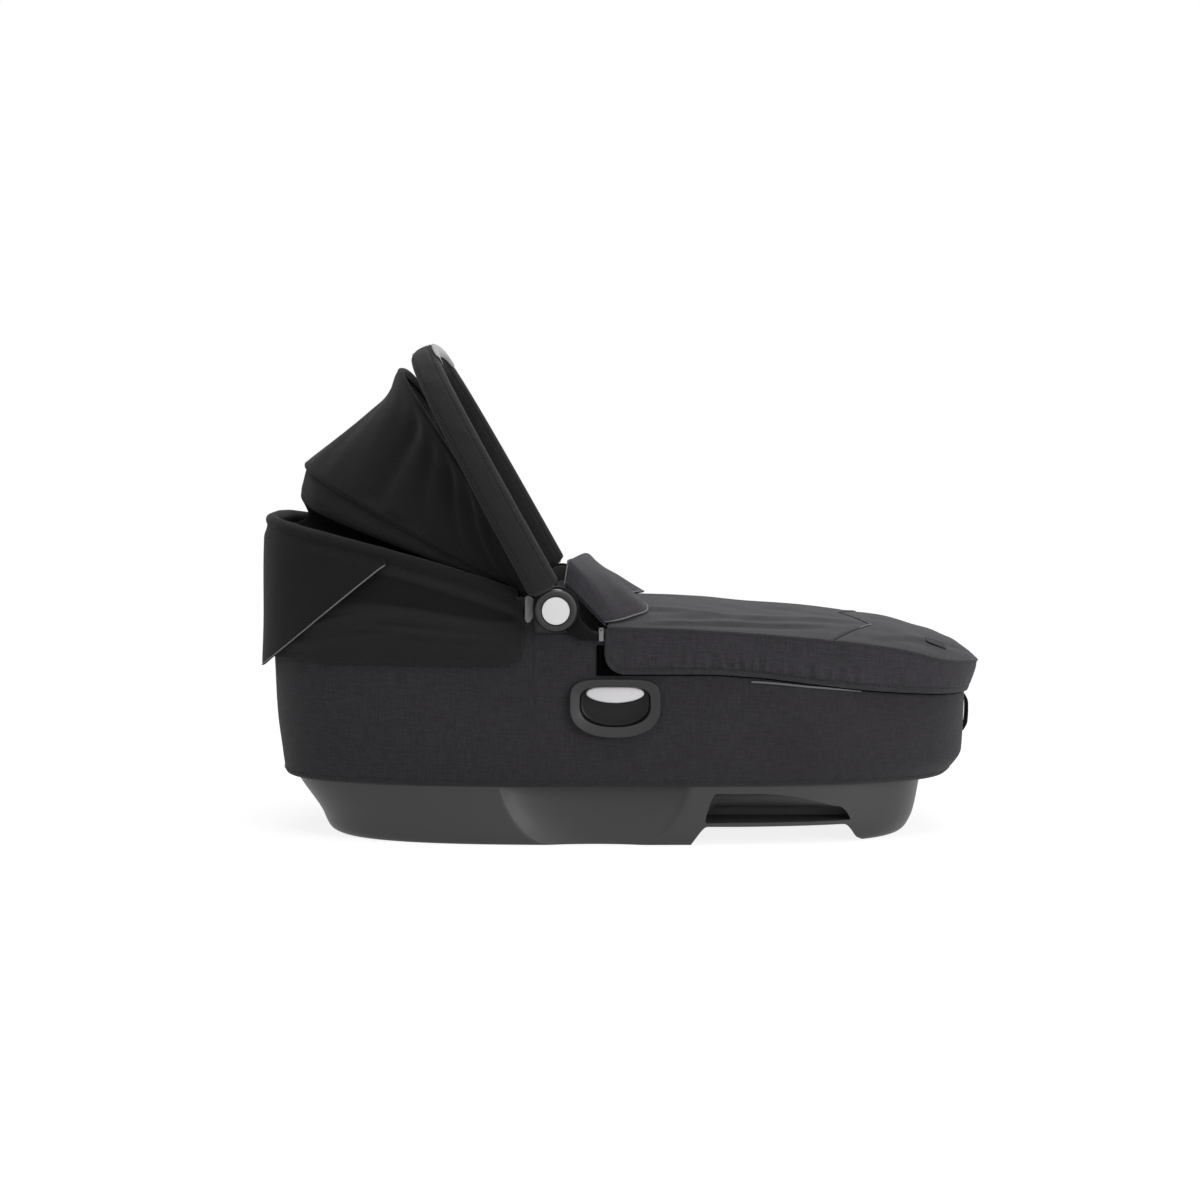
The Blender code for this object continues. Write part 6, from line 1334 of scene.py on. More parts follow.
line_walk = np.clip(boot_walk, 0.0065, boot_walk[-1] - 0.0065)
boot_line_turns = np.interp(line_walk, boot_walk, boot_turns)
line_points = boot_skirt_points(boot_line_turns, 0.0029, 1.0, 0.0)
line_points[:, 2] += BOOT_SEAM_IN + corner_rise(np.minimum(line_walk, line_walk[-1] - line_walk), 0.0175)
line_points = line_points[6:-6]
boot_stitch = stitch_piece("boot_skirt_stitch", line_points, line_facing(line_points))
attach(boot_stitch, "boot_cover")

edge_turns = plan_turns(420, BOOT_SKIRT_FRONT_X + 0.002, "foot")
edge_along, edge_across = plan_unit(edge_turns)
edge_x = (BOOT_REACH - 0.0010) * edge_along
edge_path = np.stack([edge_x, (BOOT_HALF_WIDTH - 0.0010) * edge_across,
                      rim_height(edge_x) - 0.0008 - end_drop(edge_x)], axis=1)
edge_welt = cord_piece("boot_edge_welt", edge_path, UP, 0.0011, boot_cloth, around=8)
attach(edge_welt, "boot_cover")
# A near-black sheet behind the skirt is painted shade. It shows as a dark line under the hem and before its corner
SHADE_SHEET_FRONT_X, SHADE_SHEET_TOP_SHARE, SHADE_SHEET_DROP = -0.0270, 0.36, 0.0016
shade_sheet_turns = plan_turns(420, SHADE_SHEET_FRONT_X, "foot")
shade_sheet_share = np.linspace(SHADE_SHEET_TOP_SHARE, 1.0, 18)[:, None]
shade_sheet_grid = boot_skirt_points(shade_sheet_turns[None], -0.0008, shade_sheet_share, -SHADE_SHEET_DROP)
boot_shade_sheet = sheet_piece("boot_skirt_painted_shadow_edge", shade_sheet_grid, 0.0010, skirt_shadow_black)
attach(boot_shade_sheet, "boot_cover")
print("boot skirt, one face in m2:", half_area(boot_skirt))

# %% [markdown]
# ## The collar
# At its head end the cover stands up to a ridge and folds back as a lapel whose sides come down
# over the tub's edge. It keeps the wind off. The fold could be bent out of a flat strip with a
# modifier, but its corners have known places: the surface is swept from the base to the ridge and
# on to the lapel's edge, and at each share across, its shoulder turns down.

# %% Collar, folded back as a lapel
COLLAR_THICKNESS, COLLAR_HALF_WIDTH = 0.0022, 0.1862
COLLAR_COLUMNS = 161
collar_a = np.linspace(-1, 1, COLLAR_COLUMNS)
spread = np.abs(collar_a)
shoulder = eased(spread, 0.86, 1.0)
collar_y = COLLAR_HALF_WIDTH * np.sign(collar_a) * np.interp(spread, [0, 0.86, 0.92, 1.0], [0, 0.955, 0.988, 1.0])
collar_y = np.convolve(np.pad(collar_y, 3, mode="reflect", reflect_type="odd"), np.ones(7) / 7, mode="valid")
collar_y = np.clip(collar_y, -COLLAR_HALF_WIDTH, COLLAR_HALF_WIDTH)
bow_back = (spread / 0.86).clip(0, 1) ** 2
ridge_x = -0.0385 - 0.0215 * bow_back - 0.0040 * shoulder
far_drop = 0.0245 * (1 - (1 - bow_back) ** 1.5) + 0.0120 * shoulder
near_arch = 0.0045 * bow_back + 0.0055 * np.sin(math.pi * (spread / 0.86).clip(0, 1)) - 0.0270 * shoulder
ridge_z = 0.3305 + np.where(collar_a < 0, near_arch, -far_drop)
edge_x = 0.0080 + 0.0235 * eased(spread, 0.02, 0.55) - 0.0540 * np.clip((spread - 0.68) / 0.32, 0, 1)
edge_x = np.convolve(np.pad(edge_x, 4, mode="edge"), np.ones(9) / 9, mode="valid")
edge_z = boot_surface(edge_x, np.clip(collar_y / boot_half_width(edge_x), -1, 1))[:, 2]
edge_z = edge_z + 0.0020 + 0.0012 * eased(spread, 0.3, 0.6) - 0.0010 * shoulder
base_x = np.full(COLLAR_COLUMNS, -0.0178)
base_z = boot_surface(np.full(COLLAR_COLUMNS, BOOT_HEAD_X), collar_y / BOOT_HALF_WIDTH)[:, 2] - 0.0022
inner_share = fine_shares(26, 0.06, COLLAR_THICKNESS)[:-5, None]
outer_share = fine_shares(52, 0.08, COLLAR_THICKNESS)[5:, None]


def collar_row(share, first, last):
    """Rows of the collar between two lines of (x, z)."""
    x, z = (first[axis][None] + share * (last[axis] - first[axis])[None] for axis in (0, 1))
    return np.stack(np.broadcast_arrays(x, collar_y[None], z), axis=-1)


ridge_near = (ridge_x + 0.0022, ridge_z - 0.0030)
ridge_far = (ridge_x + 0.0030, ridge_z - 0.0016)
inner_rows = collar_row(inner_share, (base_x, base_z), ridge_near)
outer_rows = collar_row(outer_share, ridge_far, (edge_x, edge_z))
over = np.linspace(0, math.pi, 9)[1:-1, None]
ridge_rows = np.stack(np.broadcast_arrays(
    (ridge_x + 0.0024)[None] - 0.0024 * np.sin(over), collar_y[None],
    (ridge_z - 0.0023)[None] - 0.0010 * np.cos(over) + 0.0023 * np.sin(over)), axis=-1)
puff = np.sin(outer_share * math.pi) * (1 - 0.6 * shoulder)[None]
outer_rows[..., 2] += puff * (0.0030 - 0.0040 * (1 - eased(spread, 0.10, 0.60)))[None]
outer_rows[..., 1] += (0.0012 * np.sin(outer_share * math.pi) * (shoulder * np.sign(collar_a))[None])
collar_soft = ripples(collar_a[None] * 0.19, outer_share * 0.07, [(0.10, 0.09), (0.06, 0.12), (0.17, 0.05)], 0.0010, 3)
outer_rows[..., 2] += collar_soft * np.sin(outer_share * math.pi) * (1 - shoulder)[None]
collar_grid = np.concatenate([inner_rows, ridge_rows, outer_rows])
collar = sheet_piece("boot_collar_cloth", collar_grid, COLLAR_THICKNESS, boot_cloth,
                     anchor=np.array([-0.02, 0.0, 0.30]))
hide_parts("boot_collar")
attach(collar, "boot_cover")
front_edge = collar_grid[-1] + [0.0004, 0.0, 0.0006]
front_piping = cord_piece("collar_front_piping", front_edge, UP, 0.0010, piping_cloth, around=8)
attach(front_piping, "boot_cover")
ridge_line = ridge_rows[3] + [-0.0010, 0.0, 0.0004]
for word, chosen in (("right", slice(0, 19)), ("left", slice(-19, None))):
    side_piping = cord_piece(f"collar_side_piping_{word}", ridge_line[chosen], np.array([-1.0, 0.0, 0.3]), 0.0010,
                             piping_cloth, around=8)
    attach(side_piping, "boot_cover")
print("collar, one face in m2:", half_area(collar))

# %% [markdown]
# ## Tab, reflective lines and carrying loop
# Small trim: a soft moulded tab on the foot panel, a thin glass-bead line under the hem on each
# side, and a loop of ribbed webbing at the foot end, its ends sewn in under the cover.

# %% Small trim
tab_u, tab_v = np.meshgrid(np.linspace(-1, 1, 41), np.linspace(-1, 1, 33), indexing="ij")
round_u = tab_u * np.sqrt(1 - 0.10 * tab_v**8)
round_v = tab_v * np.sqrt(1 - 0.14 * tab_u**8)
tab_x, tab_y = 0.375 + 0.0120 * round_u, -0.100 + 0.0100 * round_v
tab_grid = boot_surface(tab_x, tab_y / boot_half_width(tab_x)) + [0.0, 0.0, 0.00155]
tab_relief = 0.0004 * (1 - eased(np.maximum(np.abs(tab_u), np.abs(tab_v)), 0.62, 0.78)) * -1
tab = sheet_piece("boot_tab_rubber", tab_grid, 0.0015, tab_rubber, outer_relief=tab_relief)
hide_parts("boot_tab")
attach(tab, "boot_cover")

LINE_RADIUS = 0.0012
line_x = np.linspace(0.150, 0.281, 90)
line_way = (line_x - 0.150) / 0.131
line_z = boot_hem(line_x) - 0.0060 * (1 - 0.75 * line_way)
line_share = (line_z - HEM_HEIGHT) / (SHOULDER_HEIGHT - HEM_HEIGHT)
line_half = HALF_WIDTH * through(BODY_SECTION, line_share, 3)
line_foot = HALF_LENGTH * through(BODY_SECTION, line_share, 2)
line_y = line_half * (1 - (line_x / line_foot) ** PLAN_POWER) ** (1 / PLAN_POWER) + GAP + LINE_RADIUS
for word, side in SIDES:
    line_path = np.column_stack([line_x, side * line_y, line_z])
    bead = cord_piece(f"reflective_line_{word}", line_path, UP, LINE_RADIUS, piping_cloth)
    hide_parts(f"reflective_piping_{word}")
    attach(bead, "tub")

STRAP_TABLE = np.array([(0.0, 0.0), (0.10, 0.55), (0.27, 0.95), (0.50, 1.0), (0.73, 0.95), (0.90, 0.55), (1.0, 0.0)])
strap_share = fine_shares(56, 0.055, 0.0015)
strap_z = 0.163 - 0.050 * strap_share
strap_skin = HALF_LENGTH * through(BODY_SECTION, (strap_z - HEM_HEIGHT) / (SHOULDER_HEIGHT - HEM_HEIGHT), 2)
strap_x = strap_skin + LOOSE_GAP + 0.008 * through(STRAP_TABLE, strap_share) + 0.00075
strap_y = 0.0125 * (2 * fine_shares(20, 0.025, 0.0015) - 1)
strap_grid = np.stack(np.broadcast_arrays(strap_x[:, None], strap_y[None], strap_z[:, None]), axis=-1).copy()
strap_ribs = 0.0002 * np.sin(strap_y / 0.0125 * 6 * math.pi)[None]
strap = sheet_piece("foot_strap_webbing", strap_grid, 0.0015, webbing_cloth, outer_relief=strap_ribs)
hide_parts("foot_strap")
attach(strap, "tub")
print("tab, two lines and the loop")

# %% [markdown]
# ## The hubs
# Each hub is a stack of mouldings: a bracket with a three-cornered wing on the tub, a dark ring on
# the handle, and a white button in its middle. They are turned shapes, so circles about the hub's
# axis are carried along a profile whose corners are rounded, as every moulded corner is. The CAD
# has 20 sides to its circles; these have 96.

# %% Turned hub pieces
HUB_STEPS = 96
# Corners of the bracket's two outer plates, from the hub's axis
WING_CORNERS = np.array([(0.0225, 0.0080), (0.0272, -0.0109), (0.0503, -0.0364), (0.0272, -0.0364),
                         (0.0100, -0.0250), (0.0200, -0.0100)])
STOP_CORNERS = np.array([(-0.0262, 0.0120), (-0.0330, 0.0150), (-0.0358, 0.0135), (-0.0362, -0.0130),
                         (-0.0330, -0.0165), (-0.0300, -0.0150), (-0.0262, -0.0090)])


def turned_piece(name, profile, side, look, looped=True, sharp_deg=38):
    """Circles about the hub's axis, one for each point (radius, distance out) of the profile."""
    turn = full_turn(HUB_STEPS)
    radius, out = np.asarray(profile)[:, 0, None], np.asarray(profile)[:, 1, None]
    rings = np.stack(np.broadcast_arrays(HUB[0] + radius * np.cos(turn), side * out, HUB[2] + radius * np.sin(turn)),
                     axis=-1)
    return ring_piece(name, rings, look, looped=looped, sharp_deg=sharp_deg)


def oval_plate(name, outer, inner, depths, look, radius=0.0014, sink=0.0):
    """A ring between two outlines with equal counts: a rounded section, sunk by so much at its inner edge."""
    width = float(np.linalg.norm(outer - inner, axis=1).mean())
    section = rounded_corners(np.array([(0.0, depths[0]), (0.0, depths[1]), (width, depths[1] - sink),
                                        (width, depths[0])]), radius)
    share = section[:, 0, None, None] / width
    flat = outer[None] + share * (inner - outer)[None]
    rings = np.stack(np.broadcast_arrays(flat[..., 0], section[:, 1, None], flat[..., 1]), axis=-1)
    return ring_piece(name, rings, look, looped=True, sharp_deg=50)


# Points (distance from the axis, distance out) of the turned mouldings
RING_PROFILE = rounded_corners(np.array([
    (0.0168, 0.2030), (0.0232, 0.2030), (0.0240, 0.2044), (0.0240, 0.2200), (0.0222, 0.2223), (0.0186, 0.2223),
    (0.0178, 0.2214), (0.0166, 0.2214)]), 0.0009)
BRACKET_PROFILE = rounded_corners(np.array([
    (0.0150, 0.1960), (0.0150, 0.2000), (0.0252, 0.2000), (0.0265, 0.1985), (0.0265, 0.1892), (0.0222, 0.1892),
    (0.0222, 0.1960)]), 0.0008)
SEAT_PROFILE = rounded_corners(np.array([
    (0.0044, 0.1872), (0.0044, 0.1912), (0.0152, 0.1912), (0.0152, 0.1975), (0.0215, 0.1975), (0.0215, 0.1896),
    (0.0060, 0.1896), (0.0060, 0.1872)]), 0.0004)
# The button's face is a dome of less than half a millimetre, with a rounded edge and a hollow back
DOME_RADIUS, DOME_RISE, FACE_OUT, BUTTON_BACK = 0.0146, 0.0004, 0.2228, 0.2150
dome = np.linspace(0.0012, DOME_RADIUS, 10)
BUTTON_PROFILE = np.concatenate([
    np.column_stack([dome, FACE_OUT + DOME_RISE * (1 - (dome / DOME_RADIUS) ** 2)]),
    rounded_corners(np.array([(DOME_RADIUS, FACE_OUT), (0.0157, FACE_OUT), (0.0157, BUTTON_BACK),
                              (DOME_RADIUS, BUTTON_BACK)]), 0.0010)[6:-6],
    [(0.0140, BUTTON_BACK), (0.0010, BUTTON_BACK)]])
PRONG_CIRCLE, PRONG_RADIUS, PRONG_BACK, PRONG_FRONT = 0.009, 0.0015, 0.2041, 0.2160
lean = math.radians(HANDLE_ARCH[3])
for word, side in SIDES:
    ring = turned_piece(f"hub_ring_moulding_{word}", RING_PROFILE, side, hub_plastic)
    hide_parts(f"hub_ring_{word}")
    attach(ring, "handle")

    button = turned_piece(f"hub_button_cap_{word}", BUTTON_PROFILE, side, button_plastic, looped=False)
    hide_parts(f"hub_button_{word}")
    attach(button, f"hub_button_{word}")
    for number in range(3):
        angle = lean + number * 2 * math.pi / 3
        at = HUB + PRONG_CIRCLE * np.array([math.cos(angle), 0.0, math.sin(angle)])
        rings = np.stack([upright(at[[0, 2]] + PRONG_RADIUS * unit_circle(20), side * y)
                          for y in (PRONG_BACK, PRONG_FRONT)])
        prong = ring_piece(f"button_prong_{word}_{number}", rings, button_plastic, sharp_deg=40)
        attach(prong, f"hub_button_{word}")

    bracket = turned_piece(f"hub_bracket_moulding_{word}", BRACKET_PROFILE, side, bracket_shade_plastic)
    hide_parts(f"hub_bracket_{word}")
    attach(bracket, "tub")
    seat = turned_piece(f"hub_seat_{word}", SEAT_PROFILE, side, hub_plastic)
    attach(seat, "tub")
    for kind, look, corners, rounding, soften, depths in (
            ("wing", bracket_shade_plastic, WING_CORNERS, 0.0022, 0.0007, (0.1893, 0.1898, 0.1926, 0.1933)),
            ("stop", pull_plastic, STOP_CORNERS, 0.0025, 0.0005, (0.1896, 0.1900, 0.1924, 0.1929))):
        outline = rounded_corners(corners, rounding) + HUB[[0, 2]]
        softened = swollen(outline, -soften)
        rings = np.array([upright(flat, side * y) for flat, y in zip((softened, outline, outline, softened), depths)])
        plate = ring_piece(f"hub_{kind}_{word}", rings, look, sharp_deg=50)
        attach(plate, "tub")
print("hub pieces on both sides")

# %% [markdown]
# ## The release unit
# Under each hub's front a D-shaped bezel frames a finger cup, and in the cup's top sits the lens
# shaped trigger that frees the carrycot from its carrier. The bezel is a rounded section carried
# round two outlines, the cup is a deep tray with a soft floor, and the trigger is a lens with a
# crowned face in silver lacquer.

# %% Bezel, finger cup and trigger
OUTLINE_COUNT = 168
CUP_BACK, CUP_FLOOR, CUP_LIP = 0.1706, 0.1721, 0.1883
BEZEL_SINK = 0.0038
# Painted shade: the finger cup is the hubs' nylon drawn darker and duller for the shade in its hollow
cup_shade_plastic = moulded_look("cup_nylon_painted_shade", 0x121212, 0x181818, rough=0.34, gloss=0.25)
bezel_outer = superoval(RELEASE_X, 0.1653, 0.0523, 0.0338, OUTLINE_COUNT)
bezel_inner = superoval(RELEASE_X, 0.1665, 0.0410, 0.0232, OUTLINE_COUNT)
cup_outline = superoval(RELEASE_X, CUP_Z, CUP_HALF_LENGTH, CUP_HALF_HEIGHT, OUTLINE_COUNT)
FLOOR_ROUNDING = 0.0045
soft = np.linspace(0, math.pi / 2, 7)
# The tray's wall and floor as pairs (growth of its outline, distance out)
tray = [(CUP_WALL, CUP_BACK), (CUP_WALL, CUP_LIP - 0.0004), (CUP_WALL - 0.0004, CUP_LIP), (0.0004, CUP_LIP),
        (0.0, CUP_LIP - 0.0004)]
tray += [(-FLOOR_ROUNDING * (1 - math.cos(t)), CUP_FLOOR + FLOOR_ROUNDING * (1 - math.sin(t))) for t in soft]
LENS_HALF_LENGTH, LENS_HALF_HEIGHT, LENS_Z, LENS_FULLNESS, LENS_BELLY = 0.0335, 0.0103, 0.1815, 0.76, 1.2
lens_turn = full_turn(120)
lens_bulge = np.where(np.sin(lens_turn) > 0, np.abs(np.sin(lens_turn)) ** LENS_FULLNESS,
                      -np.abs(np.sin(lens_turn)) ** LENS_BELLY)
lens = np.stack([LENS_HALF_LENGTH * np.cos(lens_turn), LENS_HALF_HEIGHT * lens_bulge], axis=1)
# The lens's steps as pairs (share of its outline, distance out): a rounded edge, then the crowned face
steps = [(0.985, 0.1724), (1.0, 0.1730), (1.0, 0.1853), (0.985, 0.1861)] + [
    (scale, 0.1866 + 0.0010 * (1 - scale**2)) for scale in np.linspace(0.93, 0.04, 9)]
SPRING_OUT, WELL_RADIUS, WELL_BOTTOM, WELL_TOP = 0.1795, 0.0034, 0.1828, 0.2
for word, side in SIDES:
    bezel = oval_plate(f"release_bezel_moulding_{word}", bezel_outer, bezel_inner, (side * 0.1886, side * 0.1938),
                       hub_plastic, sink=side * BEZEL_SINK)
    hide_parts(f"release_bezel_{word}")
    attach(bezel, "tub")

    cup_rings = np.array([upright(swollen(cup_outline, grow), side * y) for grow, y in tray])
    cup = ring_piece(f"finger_cup_{word}", cup_rings, cup_shade_plastic, sharp_deg=50)
    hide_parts(f"release_cup_{word}")
    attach(cup, "tub")

    lens_rings = np.array([upright(scale * lens + [RELEASE_X, LENS_Z], side * y) for scale, y in steps])
    trigger = ring_piece(f"release_trigger_cap_{word}", lens_rings, trigger_plastic, sharp_deg=50)
    well_rings = np.array([level_circle(RELEASE_X, side * SPRING_OUT, z, WELL_RADIUS, 32)
                           for z in (WELL_BOTTOM, WELL_TOP)])
    cut_from(trigger, ring_piece("well_cutter", well_rings, trigger_plastic))
    trigger.data.shade_smooth()
    trigger.data.set_sharp_from_angle(angle=math.radians(40))
    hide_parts(f"release_trigger_{word}")
    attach(trigger, f"release_trigger_{word}")
print("release units on both sides")

# %% [markdown]
# ## The springs
# A coil can't be stretched by a rigid body, so each of the four is its own mesh: a wire carried round a
# helix. The helices have the CAD's own sizes.

# %% Coil springs
def coil(name, middle, along, radius, wire, turns, look):
    """Wire round a helix: along is the vector from its first end to its last."""
    length = np.linalg.norm(along)
    up = along / length
    across = np.cross(up, [1.0, 0.0, 0.0])
    across /= np.linalg.norm(across)
    third = np.cross(up, across)
    share = np.linspace(0, 1, 40 * turns + 1)[:, None]
    turn = 2 * math.pi * turns * share
    path = middle + up * length * share + radius * (np.cos(turn) * across + np.sin(turn) * third)
    return cord_piece(name, path, up, wire, look, around=10)


for word, side in SIDES:
    start = HUB + [0.0, side * 0.1897, 0.0]
    gear_coil = coil(f"gear_spring_coil_{word}", start, np.array([0.0, side * 0.0058, 0.0]), radius=0.0085,
                     wire=0.0006, turns=3, look=zinc_steel)
    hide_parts(f"gear_spring_{word}")
    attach(gear_coil, "tub")
    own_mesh(gear_coil)
    start = np.array([RELEASE_X, side * SPRING_OUT, 0.1839])
    trigger_coil = coil(f"trigger_spring_coil_{word}", start, np.array([0.0, 0.0, 0.0110]), radius=0.0026,
                        wire=0.0004, turns=4, look=zinc_steel)
    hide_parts(f"trigger_spring_{word}")
    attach(trigger_coil, "tub")
    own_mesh(trigger_coil)
print("springs", 4)

# %% [markdown]
# ## The padded lining
# Inside, a quilted lining covers the tub: thick over the middle of the wall, thin at the rim, and
# sewn down along upright channels. It could be simulated, but its outside has to follow the tub
# closely, so the padding is a formula: cushions between the channels, pulled in at every seam.

# %% Inner lining with sewn channels
LINER_FLOOR, LINER_PADDING, LINER_THICKNESS, LINER_TOP_DROP = 0.0886, 0.0300, 0.0020, 0.0080
LINER_TABLE = np.array([(0.0, 0.80), (0.3, 1.0), (0.72, 0.74), (0.88, 0.38), (1.0, 0.29)])
CHANNEL_PITCH = 0.105
liner_turns = plan_turns(520)
liner_x = HALF_LENGTH * plan_unit(liner_turns)[0]
liner_top = rim_height(liner_x) - RIM_DROP - LINER_TOP_DROP
liner_share = fine_shares(56, 0.13, LINER_THICKNESS)[:, None]
liner_z = LINER_FLOOR + liner_share * (liner_top - LINER_FLOOR)[None]
liner_walk = walk_along(rim_path(liner_turns, 0.03, 0)[:, :2])
channels = round(float(liner_walk[-1]) / CHANNEL_PITCH)
from_channel = np.abs(np.sin(liner_walk / liner_walk[-1] * channels * math.pi))[None]
swell = 0.0030 * (from_channel**0.55 - 0.9) * eased(liner_share, 0.03, 0.20) * (1 - eased(liner_share, 0.80, 0.95))
liner_inset = LINER_PADDING * through(LINER_TABLE, liner_share) + swell
liner_grid = wall_points(liner_turns[None], liner_z, liner_inset)
liner = sheet_piece("inner_lining_cloth", liner_grid, LINER_THICKNESS, lining_cloth, wrapped=True)
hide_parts("inner_liner")
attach(liner, "tub")
print("lining faces", len(liner.data.polygons), "channels", channels)

# %% [markdown]
# ## The mattress
# A foam pad in knitted ticking, with a piped seam round its middle. Foam under a tight cover swells
# between its seams, and this is what a cloth simulation is good at: the formed pad is remeshed,
# inflated a little with gravity off, and held to at most 3 mm of movement, so that it still clears
# the lining. The piping goes on afterwards, because the remesh would erase it.

# %% Mattress, inflated by a cloth simulation
MATTRESS_BOTTOM, MATTRESS_DEPTH, MATTRESS_CLEAR = 0.0909, 0.034, 0.029
MATTRESS_TABLE = np.array([(0.0, 0.045), (0.10, 0.012), (0.38, 0.0), (0.66, 0.014), (0.84, 0.075), (0.94, 0.28),
                           (1.0, 0.62)])
floor_share = (LINER_FLOOR - HEM_HEIGHT) / (SHOULDER_HEIGHT - HEM_HEIGHT)
mattress_reach = HALF_LENGTH * min(float(through(BODY_SECTION, floor_share, column)) for column in (1, 2))
mattress_half = HALF_WIDTH * float(through(BODY_SECTION, floor_share, 3)) - MATTRESS_CLEAR
mattress_reach -= MATTRESS_CLEAR
CAP, VOXEL = 0.0030, 0.006


def pad_rings(turns, rows, shrink):
    """Rings of a crowned pad: inset by the table, drawn in by 4 mm between its ends."""
    along, across = plan_unit(turns)
    up = np.linspace(0, 1, rows)[:, None]
    inset = through(MATTRESS_TABLE, up) * mattress_half + shrink
    draw_in = 0.004 * (1 - along**2) * (up < 0.5)
    z = MATTRESS_BOTTOM + shrink * 0.5 + up * (MATTRESS_DEPTH - shrink * 1.5)
    x, y = (mattress_reach - inset) * along, (mattress_half - inset - draw_in) * across
    return np.stack(np.broadcast_arrays(x, y, z), axis=-1)


def read_points(mesh):
    """The mesh's points as an array."""
    points = np.zeros(len(mesh.vertices) * 3, np.float32)
    mesh.vertices.foreach_get("co", points)
    return points.reshape(-1, 3)


def finish_with(piece, modifier):
    """Put the modifier's result into the piece's mesh and drop the modifier."""
    bpy.context.view_layer.update()
    made = bpy.data.meshes.new_from_object(piece.evaluated_get(bpy.context.evaluated_depsgraph_get()))
    made.name = piece.name
    piece.modifiers.remove(modifier)
    piece.data = made


def inflated(piece, pressure, cap):
    """Cloth with pressure and no gravity for 20 frames; no point may move further than the cap."""
    remesh = piece.modifiers.new("even", "REMESH")
    remesh.mode, remesh.voxel_size, remesh.use_smooth_shade = "VOXEL", VOXEL, True
    finish_with(piece, remesh)
    start = read_points(piece.data)
    cloth = piece.modifiers.new("cloth", "CLOTH")
    cloth.settings.use_pressure, cloth.settings.uniform_pressure_force = True, pressure
    cloth.settings.effector_weights.gravity = 0.0
    cloth.settings.quality = 4
    scene = bpy.context.scene
    for number in range(1, 21):
        scene.frame_set(number)
    finish_with(piece, cloth)
    moved = read_points(piece.data) - start
    far = np.linalg.norm(moved, axis=1, keepdims=True)
    moved *= np.minimum(1, cap / np.maximum(far, 1e-9))
    moved[:, 2] = np.where(start[:, 2] < MATTRESS_BOTTOM + 0.004, 0, moved[:, 2])
    piece.data.vertices.foreach_set("co", (start + moved).astype(np.float32).ravel())
    scene.frame_set(1)
    smooth = piece.modifiers.new("smooth", "SUBSURF")
    smooth.levels = smooth.render_levels = 1
    finish_with(piece, smooth)
    return float(np.linalg.norm(moved, axis=1).max())


mattress_turns = plan_turns(260)
mattress = ring_piece("mattress_pad", pad_rings(mattress_turns, 30, 0.0032), mattress_cloth)
print("mattress moved by at most mm:", round(inflated(mattress, 4.0, CAP) * 1000, 2))
mattress.data.shade_smooth()
points = read_points(mattress.data)
corner_index = np.zeros(len(mattress.data.loops), np.int32)
mattress.data.loops.foreach_get("vertex_index", corner_index)
layer = mattress.data.uv_layers.get("metres") or mattress.data.uv_layers.new(name="metres")
layer.data.foreach_set("uv", points[corner_index][:, :2].astype(np.float32).ravel())
mattress.data.materials.clear()
mattress.data.materials.append(mattress_cloth)
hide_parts("mattress")
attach(mattress, "tub")
seam_ring = pad_rings(mattress_turns, 30, 0.0)[20] + [0.0, 0.0, -0.0005]
closed = np.concatenate([seam_ring, seam_ring[:3]])
mattress_welt = cord_piece("mattress_welt", closed, UP, 0.0013, mattress_cloth, around=8)
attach(mattress_welt, "tub")
print("mattress faces", len(mattress.data.polygons))

# %% [markdown]
# ## Floor, light and background
# The photograph is cut out on white. Turning the lamps up until the floor burns out would also
# bleach the cloth, so the floor stays an ordinary pale surface for every ray except the camera's:
# for that it adds just enough glow to end at white, and the object's soft shadow stays in it. Away
# from the object, where the lamps fade, it turns to plain white.

# %% Floor and backdrop material
def picture_rays(tree):
    """One for rays that carry the picture: from the camera, off gloss or through clear material."""
    path = add_node(tree, "ShaderNodeLightPath")
    share = path.outputs["Is Camera Ray"]
    for kind in ("Is Glossy Ray", "Is Transmission Ray"):
        share = add_node(tree, "ShaderNodeMath", {0: share, 1: path.outputs[kind]}, operation="MAXIMUM").outputs[0]
    return share


FLOOR_DIM, FLOOR_GLOW, FADE_START, FADE_END = 0.34, 0.84, 0.8, 1.8
WHITE = (1.0, 1.0, 1.0, 1.0)


def floor_look():
    """Near white to the lens and glossy parts, plainly lit for the rest, and white far away."""
    look = bpy.data.materials.new("pale_studio_floor")
    look.use_nodes = True
    tree = look.node_tree
    tree.nodes.clear()
    mottled = add_node(tree, "ShaderNodeTexNoise", {"Scale": 3.0, "Detail": 3.0})
    paint = add_node(tree, "ShaderNodeMix", {0: mottled.outputs[0], 6: linear(0xE4E4E4), 7: linear(0xE8E8E8)},
                     data_type="RGBA")
    plain = add_node(tree, "ShaderNodeBsdfDiffuse", {"Color": paint.outputs[2]})
    dim = add_node(tree, "ShaderNodeBsdfDiffuse", {"Color": (FLOOR_DIM, FLOOR_DIM, FLOOR_DIM, 1.0)})
    glow = add_node(tree, "ShaderNodeEmission", {"Color": WHITE, "Strength": FLOOR_GLOW})
    lit = add_node(tree, "ShaderNodeAddShader", {0: dim.outputs[0], 1: glow.outputs[0]})
    place = add_node(tree, "ShaderNodeTexCoord").outputs["Object"]
    away = add_node(tree, "ShaderNodeVectorMath", {0: place}, operation="LENGTH")
    far = add_node(tree, "ShaderNodeMapRange", {0: away.outputs["Value"], 1: FADE_START, 2: FADE_END},
                   interpolation_type="SMOOTHSTEP")
    white = add_node(tree, "ShaderNodeEmission", {"Color": WHITE, "Strength": 1.0})
    shown = add_node(tree, "ShaderNodeMixShader", {0: far.outputs[0], 1: lit.outputs[0], 2: white.outputs[0]})
    choice = add_node(tree, "ShaderNodeMixShader", {0: picture_rays(tree), 1: plain.outputs[0], 2: shown.outputs[0]})
    add_node(tree, "ShaderNodeOutputMaterial", {"Surface": choice.outputs[0]})
    return look


